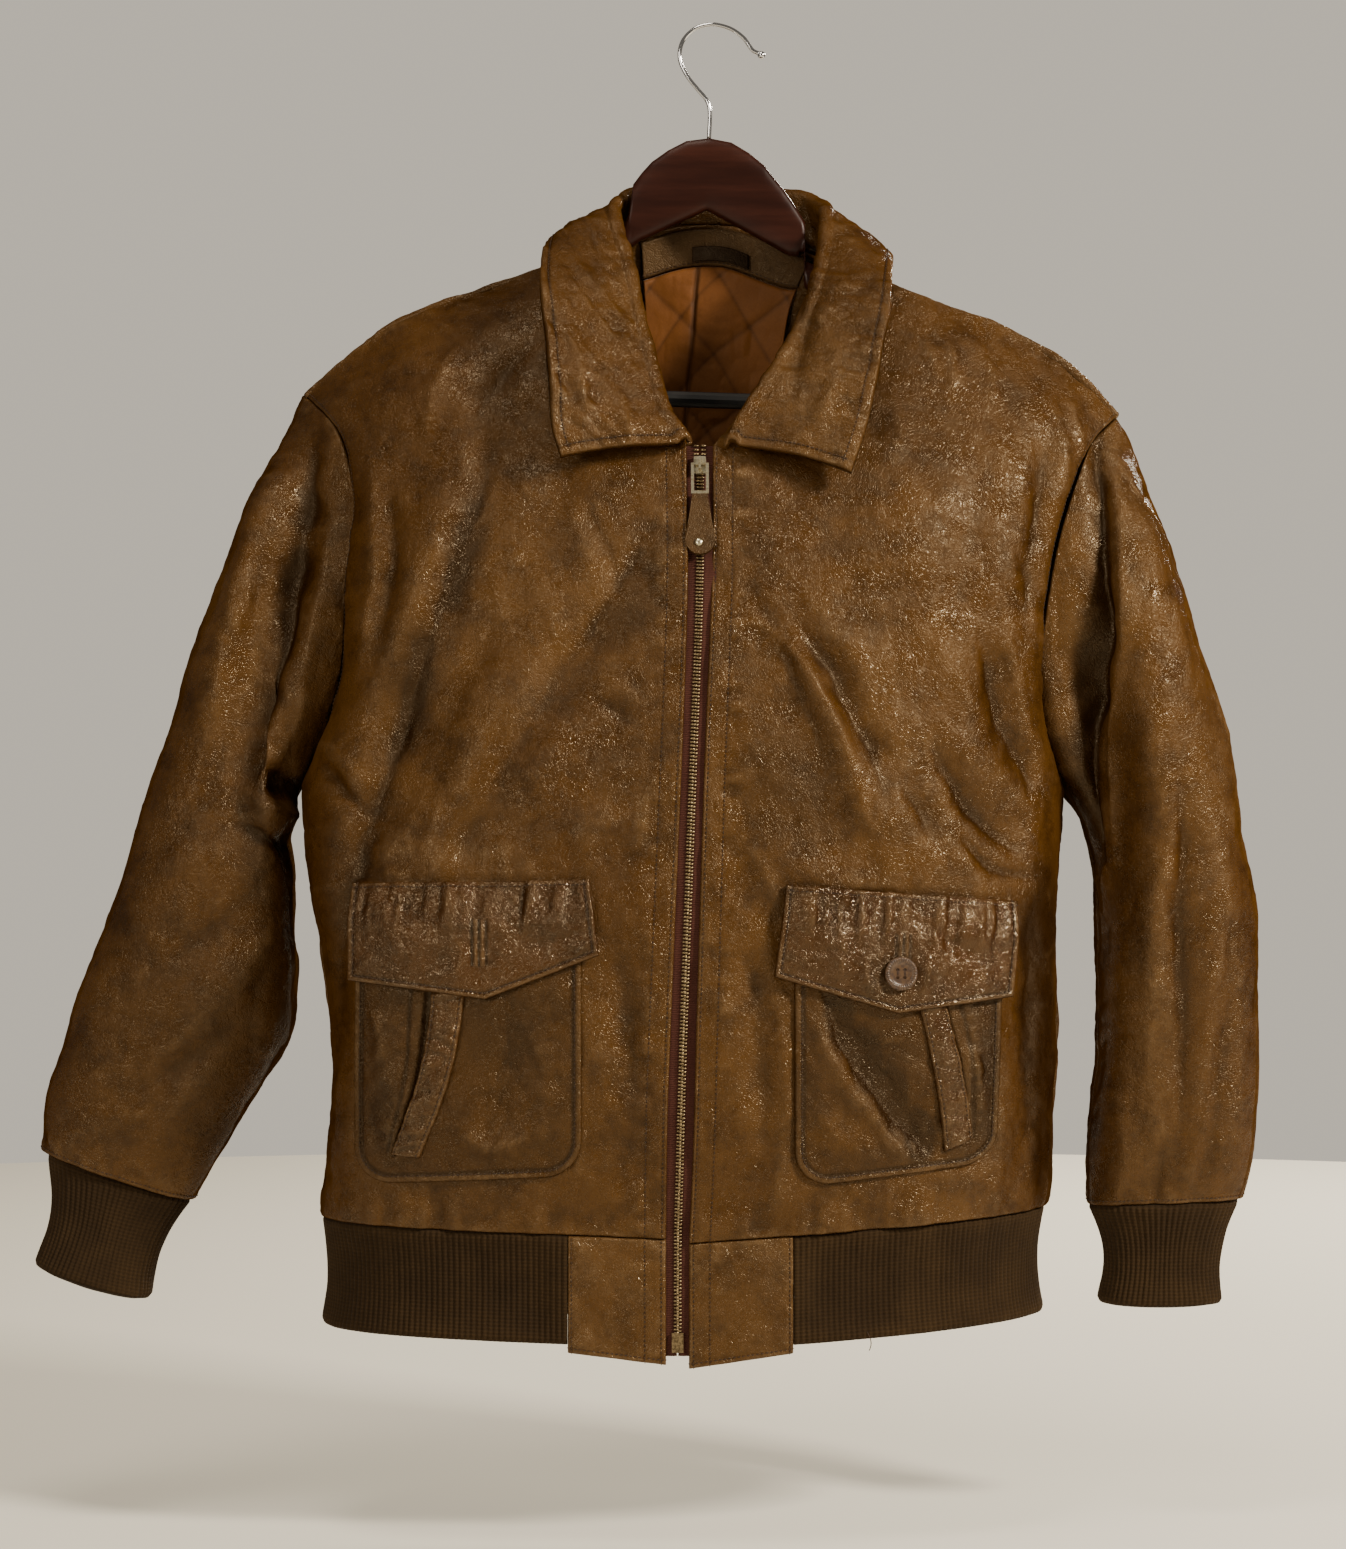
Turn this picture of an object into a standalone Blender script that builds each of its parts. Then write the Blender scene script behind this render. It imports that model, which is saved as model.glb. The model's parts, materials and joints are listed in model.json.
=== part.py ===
"""A worn leather flight jacket hanging on a wooden hanger.

Metres, +Z up. The origin is where the hanger's hook bears on a rail. +X is the jacket's own
left side, -Y is its front. Every cloth piece is a thin wall over one shared form, so pieces
meet edge to edge at the seams, and what lies on a panel is made from that panel's points.
"""

import math

import bmesh
import bpy
import numpy as np

# ---------------------------------------------------------------- driving sizes
LEATHER = 0.0016  # one layer
DOUBLED = 0.0024  # two layers with an interlining: collar, flaps, tabs
KNIT = 0.0030
SATIN = 0.0020  # quilted lining with its wadding pressed flat
SEAM = 0.0003  # gap between pieces sewn edge to edge
LAID = 0.0009  # gap under a piece that lies on a panel
FACING_GAP = 0.0031  # between the back and the facing inside its neck
LINING_GAP = 0.0042  # between the back and the lining

ROWS = 18  # of a front or back panel, hem to shoulder
ARM_ROW = 9  # the row that ends at the underarm
NECK_ROW = 14  # the row that ends at the top of the zip
FRONT_COLUMNS = 10
NECK_COLUMNS = 6
SLEEVE_ROWS = 13
CUFF_ROWS = 2

RIB_DROP = 0.064  # depth of the knitted waistband
TAB_DROP_OUTER, TAB_DROP_ZIP = 0.069, 0.074
SHOULDER_BOW = 0.014  # how far the shoulder line rises over a straight one

HANGER_THICKNESS = 0.012
HANGER_TILT = math.radians(1.9)
BAR_RADIUS = 0.0050
WIRE_RADIUS = 0.0013
BALL_RADIUS = 0.0024

BUTTON_RADIUS, BUTTON_THICKNESS = 0.0100, 0.0034
HOLE_OUT, HOLE_HALF = 0.0022, 0.0009  # each thread hole from the button's axes, and its half width
HOLE_BELOW, HOLE_ABOVE = 0.002, 0.006  # how far a hole's cutter reaches each side of the button's back
TAPE_WIDTH, TAPE_THICKNESS = 0.0140, 0.0008
TAPE_APART = 0.0008  # the chain, which the visual holds, closes this gap
SLIDER_LENGTH, SLIDER_WIDTH = 0.0110, 0.0086


class Table:
    """Rows of numbers under named columns. Any column can be read smoothly between rows."""

    def __init__(self, columns, *rows):
        self.names = columns.split()
        self.rows = np.array(rows, float)

    def column(self, name):
        return self.rows[:, self.names.index(name)]

    def at(self, key, *names):
        """The named columns at values of the first column."""
        read = [smooth(self.column(self.names[0]), self.column(n), key) for n in names]
        return read[0] if len(names) == 1 else np.stack(read, axis=-1)


def smooth(xs, ys, x):
    """A cubic through (xs, ys) with the slope of its neighbours at each point."""
    x = np.clip(x, xs[0], xs[-1])
    slopes = np.gradient(ys, xs)
    i = np.clip(np.searchsorted(xs, x, side="right") - 1, 0, len(xs) - 2)
    span = xs[i + 1] - xs[i]
    t = (x - xs[i]) / span
    rise = ys[i] * (1 + 2 * t) * (1 - t) ** 2 + ys[i + 1] * t * t * (3 - 2 * t)
    return rise + span * (slopes[i] * t * (1 - t) ** 2 - slopes[i + 1] * t * t * (1 - t))


# ---------------------------------------------------------------- the jacket's outline
# LEFT is the side seen on the left from the front (the wearer's right), RIGHT the other.
LEFT, RIGHT = -1, 1

ZIP_EDGE = {  # each front's edge beside the zip, from the hem to the collar
    LEFT: Table(
        "height x y",
        (-0.7364, -0.0321, -0.122),
        (-0.654, -0.0309, -0.130),
        (-0.595, -0.0286, -0.132),
        (-0.496, -0.0245, -0.128),
        (-0.423, -0.0215, -0.122),
        (-0.336, -0.0191, -0.105),
        (-0.2665, -0.0200, -0.085),
    ),
    RIGHT: Table(
        "height x y",
        (-0.7387, -0.0186, -0.122),
        (-0.700, -0.0168, -0.126),
        (-0.595, -0.0139, -0.132),
        (-0.447, -0.0092, -0.124),
        (-0.341, -0.0050, -0.105),
        (-0.2665, -0.0041, -0.085),
    ),
}

NECKLINE = {  # the seam under the collar, from the top of the zip to the shoulder
    LEFT: Table(
        "share x y z",
        (0.00, -0.0200, -0.085, -0.2665),
        (0.30, -0.0440, -0.060, -0.2197),
        (0.55, -0.0580, -0.040, -0.1800),
        (0.78, -0.0685, -0.020, -0.1500),
        (1.00, -0.0745, -0.002, -0.1330),
    ),
    RIGHT: Table(
        "share x y z",
        (0.00, -0.0041, -0.085, -0.2665),
        (0.30, 0.0330, -0.062, -0.2247),
        (0.55, 0.0530, -0.042, -0.1860),
        (0.78, 0.0680, -0.028, -0.1580),
        (1.00, 0.0800, -0.020, -0.1470),
    ),
}
BACK_NECK = (0.001, 0.030, -0.1180)  # centre of the back neck seam

SIDE = {  # the side seam, from the hem to the underarm
    LEFT: Table(
        "share x y z",
        (0.00, -0.2417, -0.030, -0.7290),
        (0.30, -0.2345, -0.034, -0.6500),
        (0.50, -0.2400, -0.034, -0.6000),
        (0.75, -0.2480, -0.028, -0.5350),
        (1.00, -0.2550, -0.012, -0.4700),
    ),
    RIGHT: Table(
        "share x y z",
        (0.00, 0.2001, -0.020, -0.7252),
        (0.30, 0.2060, -0.024, -0.6500),
        (0.50, 0.2070, -0.026, -0.6000),
        (0.75, 0.2080, -0.024, -0.5350),
        (1.00, 0.2120, -0.012, -0.4720),
    ),
}

ARMHOLE = {  # from the underarm up to the shoulder point, on the front and on the back
    LEFT: Table(
        "share front_x front_y front_z back_x back_y back_z",
        (0.00, -0.2550, -0.012, -0.4700, -0.2550, -0.012, -0.4700),
        (0.12, -0.2400, -0.036, -0.4400, -0.2500, 0.012, -0.4400),
        (0.26, -0.2295, -0.048, -0.4060, -0.2420, 0.026, -0.4060),
        (0.50, -0.2262, -0.054, -0.3450, -0.2380, 0.032, -0.3400),
        (0.75, -0.2235, -0.046, -0.2860, -0.2400, 0.029, -0.2660),
        (0.89, -0.2350, -0.030, -0.2500, -0.2490, 0.011, -0.2350),
        (1.00, -0.2574, 0.002, -0.2271, -0.2574, 0.002, -0.2271),
    ),
    RIGHT: Table(
        "share front_x front_y front_z back_x back_y back_z",
        (0.00, 0.2120, -0.012, -0.4720, 0.2120, -0.012, -0.4720),
        (0.12, 0.1990, -0.038, -0.4400, 0.2120, 0.012, -0.4400),
        (0.26, 0.1950, -0.050, -0.4060, 0.2150, 0.026, -0.4060),
        (0.50, 0.2010, -0.054, -0.3450, 0.2200, 0.032, -0.3400),
        (0.75, 0.2150, -0.046, -0.2900, 0.2310, 0.029, -0.2700),
        (0.89, 0.2290, -0.034, -0.2600, 0.2420, 0.010, -0.2400),
        (1.00, 0.2470, -0.014, -0.2420, 0.2470, -0.014, -0.2420),
    ),
}

SHOULDER_ROLL = Table(  # how the back comes over the shoulder to its seam, by row share
    "share y rise",
    (0.600, 0.0370, -0.145),
    (0.722, 0.0365, -0.106),
    (0.833, 0.0345, -0.056),
    (0.889, 0.0285, -0.026),
    (0.944, 0.0090, -0.001),
    (1.000, 0.0000, 0.000),
)

SECTION = {  # how each row of a front runs from the zip to its side
    LEFT: Table(
        "share squareness crown",
        (0.0, 3.6, 0.000),
        (0.4, 3.4, 0.000),
        (0.6, 2.6, 0.004),
        (0.8, 2.2, 0.012),
        (0.93, 2.0, 0.015),
        (1.0, 2.0, 0.000),
    ),
    RIGHT: Table(
        "share squareness crown",
        (0.0, 2.3, 0.000),
        (0.4, 2.3, 0.000),
        (0.6, 2.2, 0.004),
        (0.8, 2.1, 0.012),
        (0.93, 2.0, 0.012),
        (1.0, 2.0, 0.000),
    ),
}

FOLDS = Table(  # the fronts' and back's largest soft folds; a negative rise is a trough
    "face x0 z0 x1 z1 width rise",
    (-1, -0.095, -0.290, -0.195, -0.500, 0.020, -0.006),
    (-1, -0.150, -0.250, -0.185, -0.400, 0.018, 0.005),
    (-1, -0.045, -0.380, -0.110, -0.460, 0.017, 0.005),
    (-1, 0.015, -0.340, 0.095, -0.480, 0.018, 0.006),
    (-1, 0.020, -0.500, 0.060, -0.530, 0.015, 0.004),
    (-1, 0.170, -0.400, 0.175, -0.490, 0.016, -0.005),
    (1, -0.140, -0.300, -0.030, -0.560, 0.024, 0.005),
    (1, 0.120, -0.300, 0.050, -0.600, 0.024, -0.005),
    (1, -0.190, -0.420, -0.120, -0.660, 0.020, 0.005),
)

SLEEVE = {  # rings down each sleeve: its outer and inner edge, its depth and its troughs
    LEFT: Table(
        "share outer_x outer_z inner_x inner_z front_y back_y trough trough_at",
        (0.00, -0.2574, -0.2271, -0.2550, -0.4700, -0.054, 0.032, 0.000, 0.30),
        (0.07, -0.2690, -0.2540, -0.2610, -0.4830, -0.058, 0.034, 0.008, 0.30),
        (0.17, -0.2850, -0.2880, -0.2625, -0.5000, -0.064, 0.036, 0.018, 0.34),
        (0.30, -0.3050, -0.3400, -0.2625, -0.5250, -0.068, 0.036, 0.018, 0.42),
        (0.45, -0.3290, -0.4080, -0.2610, -0.5550, -0.064, 0.036, 0.008, 0.50),
        (0.60, -0.3540, -0.4820, -0.2585, -0.5850, -0.060, 0.036, 0.002, 0.50),
        (0.74, -0.3790, -0.5550, -0.2620, -0.6200, -0.056, 0.034, 0.000, 0.50),
        (0.88, -0.4040, -0.6280, -0.2850, -0.6620, -0.052, 0.030, 0.000, 0.50),
        (0.96, -0.4140, -0.6700, -0.3050, -0.6960, -0.046, 0.024, 0.000, 0.50),
        (1.00, -0.4150, -0.6945, -0.3235, -0.7252, -0.040, 0.016, 0.000, 0.50),
    ),
    RIGHT: Table(
        "share outer_x outer_z inner_x inner_z front_y back_y trough trough_at",
        (0.00, 0.2470, -0.2420, 0.2120, -0.4720, -0.054, 0.032, 0.000, 0.60),
        (0.07, 0.2560, -0.2640, 0.2190, -0.4850, -0.062, 0.034, 0.010, 0.66),
        (0.17, 0.2680, -0.2980, 0.2230, -0.4980, -0.072, 0.036, 0.020, 0.72),
        (0.30, 0.2840, -0.3480, 0.2270, -0.5150, -0.076, 0.036, 0.020, 0.78),
        (0.45, 0.3000, -0.4150, 0.2310, -0.5400, -0.074, 0.036, 0.012, 0.84),
        (0.60, 0.3180, -0.4850, 0.2335, -0.5750, -0.068, 0.036, 0.002, 0.84),
        (0.74, 0.3310, -0.5500, 0.2335, -0.6150, -0.062, 0.034, 0.000, 0.84),
        (0.88, 0.3325, -0.6300, 0.2290, -0.6640, -0.054, 0.030, 0.000, 0.84),
        (0.96, 0.3285, -0.6950, 0.2255, -0.7020, -0.048, 0.024, 0.000, 0.84),
        (1.00, 0.3225, -0.7235, 0.2265, -0.7275, -0.042, 0.016, 0.000, 0.84),
    ),
}
SLEEVE_SQUARENESS = 2.5
SLEEVE_BLEND = 0.20  # share of the sleeve over which its shape leaves the armhole's

CUFF_END = {  # the cuff's far ring: outer and inner edge, depth
    LEFT: {"outer": (-0.4190, -0.7615), "inner": (-0.3480, -0.7830), "y": (-0.054, 0.000)},
    RIGHT: {"outer": (0.3095, -0.7867), "inner": (0.2335, -0.7867), "y": (-0.042, 0.010)},
}
CUFF_DRAW_IN = 0.006  # the knit draws in this far just below its seam

COLLAR = {  # the fold and the outer edge; share 0 is the front end, 1 the shoulder, 2 mid back
    LEFT: Table(
        "share fold_x fold_y fold_z edge_x edge_y edge_z",
        (0.00, -0.0205, -0.094, -0.2625, -0.0941, -0.106, -0.2745),
        (0.12, -0.0285, -0.091, -0.2510, -0.0990, -0.104, -0.2600),
        (0.35, -0.0388, -0.074, -0.2225, -0.1016, -0.096, -0.2301),
        (0.60, -0.0474, -0.055, -0.1861, -0.1044, -0.082, -0.1957),
        (0.85, -0.0562, -0.032, -0.1455, -0.1085, -0.056, -0.1600),
        (1.05, -0.0645, -0.008, -0.1130, -0.1050, -0.014, -0.1350),
        (1.25, -0.0575, 0.014, -0.1000, -0.0880, 0.040, -0.1480),
        (1.60, -0.0350, 0.030, -0.0945, -0.0450, 0.052, -0.1600),
        (2.00, 0.0000, 0.036, -0.0935, 0.0000, 0.056, -0.1620),
    ),
    RIGHT: Table(
        "share fold_x fold_y fold_z edge_x edge_y edge_z",
        (0.00, 0.0065, -0.094, -0.2635, 0.0774, -0.106, -0.2841),
        (0.12, 0.0160, -0.089, -0.2450, 0.0850, -0.104, -0.2620),
        (0.35, 0.0339, -0.075, -0.2161, 0.0922, -0.097, -0.2301),
        (0.60, 0.0483, -0.058, -0.1889, 0.0977, -0.084, -0.2023),
        (0.85, 0.0606, -0.038, -0.1560, 0.1041, -0.062, -0.1695),
        (1.05, 0.0668, -0.008, -0.1170, 0.1060, -0.018, -0.1450),
        (1.25, 0.0620, 0.014, -0.1050, 0.0900, 0.040, -0.1560),
        (1.60, 0.0370, 0.030, -0.0970, 0.0460, 0.052, -0.1620),
        (2.00, 0.0000, 0.036, -0.0935, 0.0000, 0.056, -0.1620),
    ),
}
COLLAR_STATIONS = 11  # each side of mid back
COLLAR_ROLL = 0.0036  # radius of the fold
COLLAR_CROWN = 0.004  # how far the fall bows out between fold and edge

POCKET = {  # patch pockets in the front view: bottom and top corners, then the flap's
    LEFT: {
        "bottom": ((-0.2160, -0.7050), (-0.0815, -0.6985)),
        "top": ((-0.2150, -0.5460), (-0.0815, -0.5430)),
        "flap_top": ((-0.2167, -0.5274), (-0.0770, -0.5244)),
        "flap_bottom": ((-0.2161, -0.5844), (-0.1373, -0.5945), (-0.0712, -0.5690)),
        "welt": ((-0.1690, -0.5900), (-0.1935, -0.6870), (-0.1765, -0.6885), (-0.1495, -0.5900)),
    },
    RIGHT: {
        "bottom": ((0.0435, -0.7060), (0.1640, -0.6930)),
        "top": ((0.0430, -0.5470), (0.1680, -0.5560)),
        "flap_top": ((0.0384, -0.5275), (0.1759, -0.5385)),
        "flap_bottom": ((0.0308, -0.5814), (0.1025, -0.6032), (0.1700, -0.5949)),
        "welt": ((0.1160, -0.6000), (0.1316, -0.6860), (0.1480, -0.6780), (0.1316, -0.5980)),
    },
}
POCKET_CORNER = 0.022
POCKET_RIM = 0.0011  # the bound edge stands this much prouder
BUTTON_AT = (0.1031, -0.5797)  # in the front view, on the right flap

HOOK_ROUTE = (  # the wire's centre line, from the wood to the ball, and where the rail bears
    (-0.0057, -0.0689),
    (-0.0051, -0.0530),
    (-0.0069, -0.0454),
    (-0.0125, -0.0386),
    (-0.0193, -0.0299),
    (-0.0237, -0.0194),
    (-0.0222, -0.0090),
    (-0.0150, -0.0012),
    (-0.0060, 0.0017),
    (0.0010, 0.0013),
    (0.0090, -0.0015),
    (0.0160, -0.0068),
    (0.0210, -0.0138),
    (0.0247, -0.0160),
)

HANGER = Table(  # the wood before it tilts: each wing's top and bottom edge, out from the middle
    "out right_top right_bottom left_top left_bottom",
    (0.000, -0.0688, -0.1136, -0.0688, -0.1136),
    (0.014, -0.0710, -0.1207, -0.0710, -0.1207),
    (0.025, -0.0771, -0.1262, -0.0771, -0.1262),
    (0.035, -0.0847, -0.1313, -0.0847, -0.1313),
    (0.041, -0.0918, -0.1343, -0.0918, -0.1343),
    (0.046, -0.0990, -0.1380, -0.0975, -0.1370),
    (0.048, -0.1180, -0.1420, -0.1002, -0.1380),
    (0.052, -0.1268, -0.1460, -0.1053, -0.1399),
    (0.057, -0.1370, -0.1510, -0.1127, -0.1400),
    (0.061, -0.1405, -0.1560, -0.1190, -0.1370),
    (0.062, -0.1425, -0.1590, -0.1430, -0.1590),
    (0.066, -0.1445, -0.1620, -0.1445, -0.1620),
    (0.105, -0.1590, -0.1860, -0.1590, -0.1860),
    (0.150, -0.1770, -0.2050, -0.1770, -0.2050),
    (0.1955, -0.2025, -0.2190, -0.2025, -0.2190),
    (0.1965, -0.2030, -0.2430, -0.2030, -0.2430),
    (0.220, -0.2205, -0.2430, -0.2205, -0.2430),
    (0.227, -0.2265, -0.2410, -0.2265, -0.2410),
)
BAR_AT = (0.1951, -0.2310)  # where the bar's end meets the wood, out and up


# ---------------------------------------------------------------- working with grids
def unit(v):
    return v / np.maximum(np.linalg.norm(v, axis=-1, keepdims=True), 1e-12)


def evenly(curve, shares):
    """Points of a polyline at shares of its length."""
    steps = np.linalg.norm(np.diff(curve, axis=0), axis=1)
    run = np.concatenate([[0], np.cumsum(steps)])
    return np.stack([np.interp(shares * run[-1], run, curve[:, k]) for k in range(3)], axis=1)


def normals_of(grid, closed=False):
    """Unit normals of a grid of points, across x up."""
    if closed:
        across = np.roll(grid, -1, axis=1) - np.roll(grid, 1, axis=1)
    else:
        across = np.gradient(grid, axis=1)
    return unit(np.cross(across, np.gradient(grid, axis=0)))


def pull_in(grid, closed=False, top=True, bottom=True):
    """Moves a grid's edges half a seam's gap into the piece."""
    grid = grid.copy()
    ends = ((0, 1, bottom), (-1, -2, top))
    for edge, inner, wanted in ends:
        if wanted:
            grid[edge] += unit(grid[inner] - grid[edge]) * SEAM / 2
    if not closed:
        for edge, inner in ((0, 1), (-1, -2)):
            grid[:, edge] += unit(grid[:, inner] - grid[:, edge]) * SEAM / 2
    return grid


def add_piece(name, vertices, faces, finish):
    """One closed object from points and faces, its faces turned outwards."""
    mesh = bpy.data.meshes.new(name)
    mesh.from_pydata([tuple(map(float, v)) for v in vertices], [], faces)
    shape = bmesh.new()
    shape.from_mesh(mesh)
    if shape.calc_volume(signed=True) < 0:
        bmesh.ops.reverse_faces(shape, faces=shape.faces)
    shape.to_mesh(mesh)
    shape.free()
    mesh.shade_smooth()
    mesh.set_sharp_from_angle(angle=math.radians(40))
    mesh.materials.append(material(finish))
    piece = bpy.data.objects.new(name, mesh)
    bpy.context.scene.collection.objects.link(piece)
    return piece


def wall(name, inner, outer, finish, closed=False):
    """A wall between two grids of points, open all round its edge, or a tube if closed."""
    rows, columns = inner.shape[:2]
    count = rows * columns

    def index(layer, i, j):
        return layer * count + i * columns + j % columns

    across = columns if closed else columns - 1
    faces = []
    for i in range(rows - 1):
        for j in range(across):
            ring = ((i, j), (i, j + 1), (i + 1, j + 1), (i + 1, j))
            faces.append([index(1, *p) for p in ring])
            faces.append([index(0, *p) for p in reversed(ring)])
    for j in range(across):
        faces.append([index(0, 0, j), index(0, 0, j + 1), index(1, 0, j + 1), index(1, 0, j)])
        top = rows - 1
        faces.append([index(1, top, j), index(1, top, j + 1), index(0, top, j + 1), index(0, top, j)])
    if not closed:
        last = columns - 1
        for i in range(rows - 1):
            faces.append([index(1, i, 0), index(1, i + 1, 0), index(0, i + 1, 0), index(0, i, 0)])
            faces.append(
                [index(0, i, last), index(0, i + 1, last), index(1, i + 1, last), index(1, i, last)]
            )
    points = np.concatenate([inner.reshape(-1, 3), outer.reshape(-1, 3)])
    return add_piece(name, points, faces, finish)


# ---------------------------------------------------------------- the torso
def fold_rise(points, face):
    """How far the largest folds lift points of the front (-1) or the back (1)."""
    rise = np.zeros(points.shape[:-1])
    for which, x0, z0, x1, z1, width, height in FOLDS.rows:
        if which != face:
            continue
        start, run = np.array([x0, z0]), np.array([x1 - x0, z1 - z0])
        place = points[..., [0, 2]] - start
        share = np.clip(place @ run / (run @ run), 0, 1)
        away = np.linalg.norm(place - share[..., None] * run, axis=-1)
        rise += height * np.exp(-((away / width) ** 2))
    return rise


def side_edge(side, face, v):
    """The outer edge of a front (-1) or back (1) panel at row share v."""
    split = ARM_ROW / ROWS
    if v <= split:
        return SIDE[side].at(v / split, "x", "y", "z")
    which = "front" if face < 0 else "back"
    return ARMHOLE[side].at((v - split) / (1 - split), *(f"{which}_{axis}" for axis in "xyz"))


def inner_edge(side, v):
    """The inner edge of a front panel at row share v: the zip's edge, then the neckline."""
    split = NECK_ROW / ROWS
    if v > split:
        return NECKLINE[side].at((v - split) / (1 - split), "x", "y", "z")
    edge = ZIP_EDGE[side]
    low, high = edge.rows[0, 0], edge.rows[-1, 0]
    height = low + (high - low) * v / split
    return np.array([*edge.at(height, "x", "y"), height])


def front_row(side, v, shares):
    """Points across one row of a front panel, from the zip's edge to the side."""
    start, end = inner_edge(side, v), side_edge(side, -1, v)
    power = 2 / SECTION[side].at(v, "squareness")
    crown = SECTION[side].at(v, "crown")
    turn = np.linspace(0, math.pi / 2, 160)
    out, depth = np.sin(turn) ** power, np.cos(turn) ** power
    curve = start + (end - start) * out[:, None]
    curve[:, 1] = end[1] + (start[1] - end[1]) * depth - crown * np.sin(2 * turn)
    near_top = max(0.0, (v - 0.6) / 0.4)
    curve[:, 2] += SHOULDER_BOW * near_top**2 * np.sin(math.pi * out**1.8)
    return evenly(curve, shares)


def front_grid(side, rows=ROWS, columns=FRONT_COLUMNS):
    """A front panel's points, rows from the hem up, columns from left to right."""
    shares = np.linspace(0, 1, columns + 1)
    grid = np.array([front_row(side, v, shares) for v in np.linspace(0, 1, rows + 1)])
    if side == LEFT:
        grid = grid[:, ::-1]
    inward = np.minimum(1, 4 * np.minimum(shares, 1 - shares))
    grid[..., 1] -= fold_rise(grid, -1) * inward * (1 - np.linspace(0, 1, rows + 1)[:, None] ** 8)
    return grid


def shoulder_and_neck():
    """The back's top edge from right to left: shoulder, back neck, shoulder."""
    right, left = front_grid(RIGHT)[-1], front_grid(LEFT)[-1]
    neck = Table("share x y z", (0, *right[0]), (0.5, *BACK_NECK), (1, *left[-1]))
    curve = neck.at(np.linspace(0, 1, 40), "x", "y", "z")
    # The neck seam runs round the back of the neck, so it is fullest behind its ends.
    round_it = np.sin(np.linspace(0, math.pi, 40)) ** 0.6
    straight = right[0][1] + (left[-1][1] - right[0][1]) * np.linspace(0, 1, 40)
    curve[:, 1] = straight + (BACK_NECK[1] - straight) * round_it
    neck_points = evenly(curve, np.linspace(0, 1, NECK_COLUMNS + 1))
    return np.concatenate([right[::-1], neck_points[1:-1], left[::-1]])


BACK_MIDDLE = Table(  # the middle of the back, from the hem to the neck
    "share y z",
    (0.0, 0.030, -0.738),
    (0.3, 0.036, -0.610),
    (0.6, 0.038, -0.400),
    (0.85, 0.036, -0.215),
    (1.0, 0.030, -0.118),
)
BACK_SQUARENESS = 3.2


def back_row(v, columns):
    """Points across the back at row share v, before the shoulders shape them."""
    right, left = side_edge(RIGHT, 1, v), side_edge(LEFT, 1, v)
    y, z = BACK_MIDDLE.at(v, "y", "z")
    turn = np.linspace(-math.pi / 2, math.pi / 2, 241)
    out = np.sign(turn) * np.abs(np.sin(turn)) ** (2 / BACK_SQUARENESS)
    depth = np.cos(turn) ** (2 / BACK_SQUARENESS)
    ends = np.where(turn[:, None] < 0, right, left)
    curve = (right + left) / 2 + (left - right) / 2 * out[:, None]
    curve[:, 1] = ends[:, 1] + (y - ends[:, 1]) * depth
    curve[:, 2] = ends[:, 2] + (z - ends[:, 2]) * (1 - np.abs(out) ** 1.6)
    return evenly(curve, np.linspace(0, 1, columns + 1))


def ease(t):
    t = np.clip(t, 0, 1)
    return t * t * (3 - 2 * t)


def back_grid(rows=ROWS):
    """The back panel's points, rows from the hem up, columns from right to left."""
    top = shoulder_and_neck()
    columns = len(top) - 1
    levels = np.linspace(0, 1, rows + 1)
    grid = np.array([back_row(v, columns) for v in levels])
    miss = top - grid[-1]
    place = np.arange(columns + 1)
    from_neck = np.abs(place - columns / 2) - NECK_COLUMNS / 2
    on_shoulder = ease((from_neck + 1.5) / 2) * ease(np.minimum(place, columns - place) / 2)
    for i, v in enumerate(levels):
        near = np.clip((v - 0.62) / 0.38, 0, 1)
        grid[i] += miss * np.array([near**3, near**10, near**1.6])
        last = ease((v - 0.944) / 0.056)
        rolled = grid[i].copy()
        rolled[:, 1] = SHOULDER_ROLL.at(v, "y") * (1 - last) + top[:, 1] * last
        rise = SHOULDER_ROLL.at(v, "rise") - 0.2 * top[:, 1] * ease((v - 0.83) / 0.11) * (1 - last)
        rolled[:, 2] = top[:, 2] + rise
        share = on_shoulder * ease((v - 0.64) / 0.2) * (v < 1)
        grid[i] += (rolled - grid[i]) * share[:, None]
    spread = np.minimum(1, 6 * np.minimum(place, columns - place) / columns)
    grid[..., 1] += fold_rise(grid, 1) * spread * (1 - levels[:, None] ** 6)
    return grid


# ---------------------------------------------------------------- sleeves and cuffs
def ring(outer, inner, front_y, back_y, trough, trough_at, steps):
    """A closed ring of 2 * steps points: outer edge, down the front, inner edge, up the back."""
    turn = np.linspace(0, math.pi, 120)
    across = (1 - np.cos(turn)) / 2
    deep = np.sin(turn) ** (2 / SLEEVE_SQUARENESS)
    halves = []
    for face, reach, share in ((-1, front_y, 1.0), (1, back_y, 0.35)):
        line = np.zeros((120, 3))
        line[:, 0] = outer[0] + (inner[0] - outer[0]) * across
        line[:, 2] = outer[1] + (inner[1] - outer[1]) * across
        middle = (front_y + back_y) / 2
        dip = share * trough * np.exp(-(((across - trough_at) / 0.20) ** 2))
        line[:, 1] = middle + (reach - middle) * deep - face * dip * deep
        halves.append(evenly(line, np.linspace(0, 1, steps + 1)))
    return np.concatenate([halves[0][:-1], halves[1][:0:-1]])


def sleeve_ring(side, share, steps):
    row = SLEEVE[side]
    return ring(
        row.at(share, "outer_x", "outer_z"),
        row.at(share, "inner_x", "inner_z"),
        row.at(share, "front_y"),
        row.at(share, "back_y"),
        row.at(share, "trough"),
        row.at(share, "trough_at"),
        steps,
    )


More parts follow.
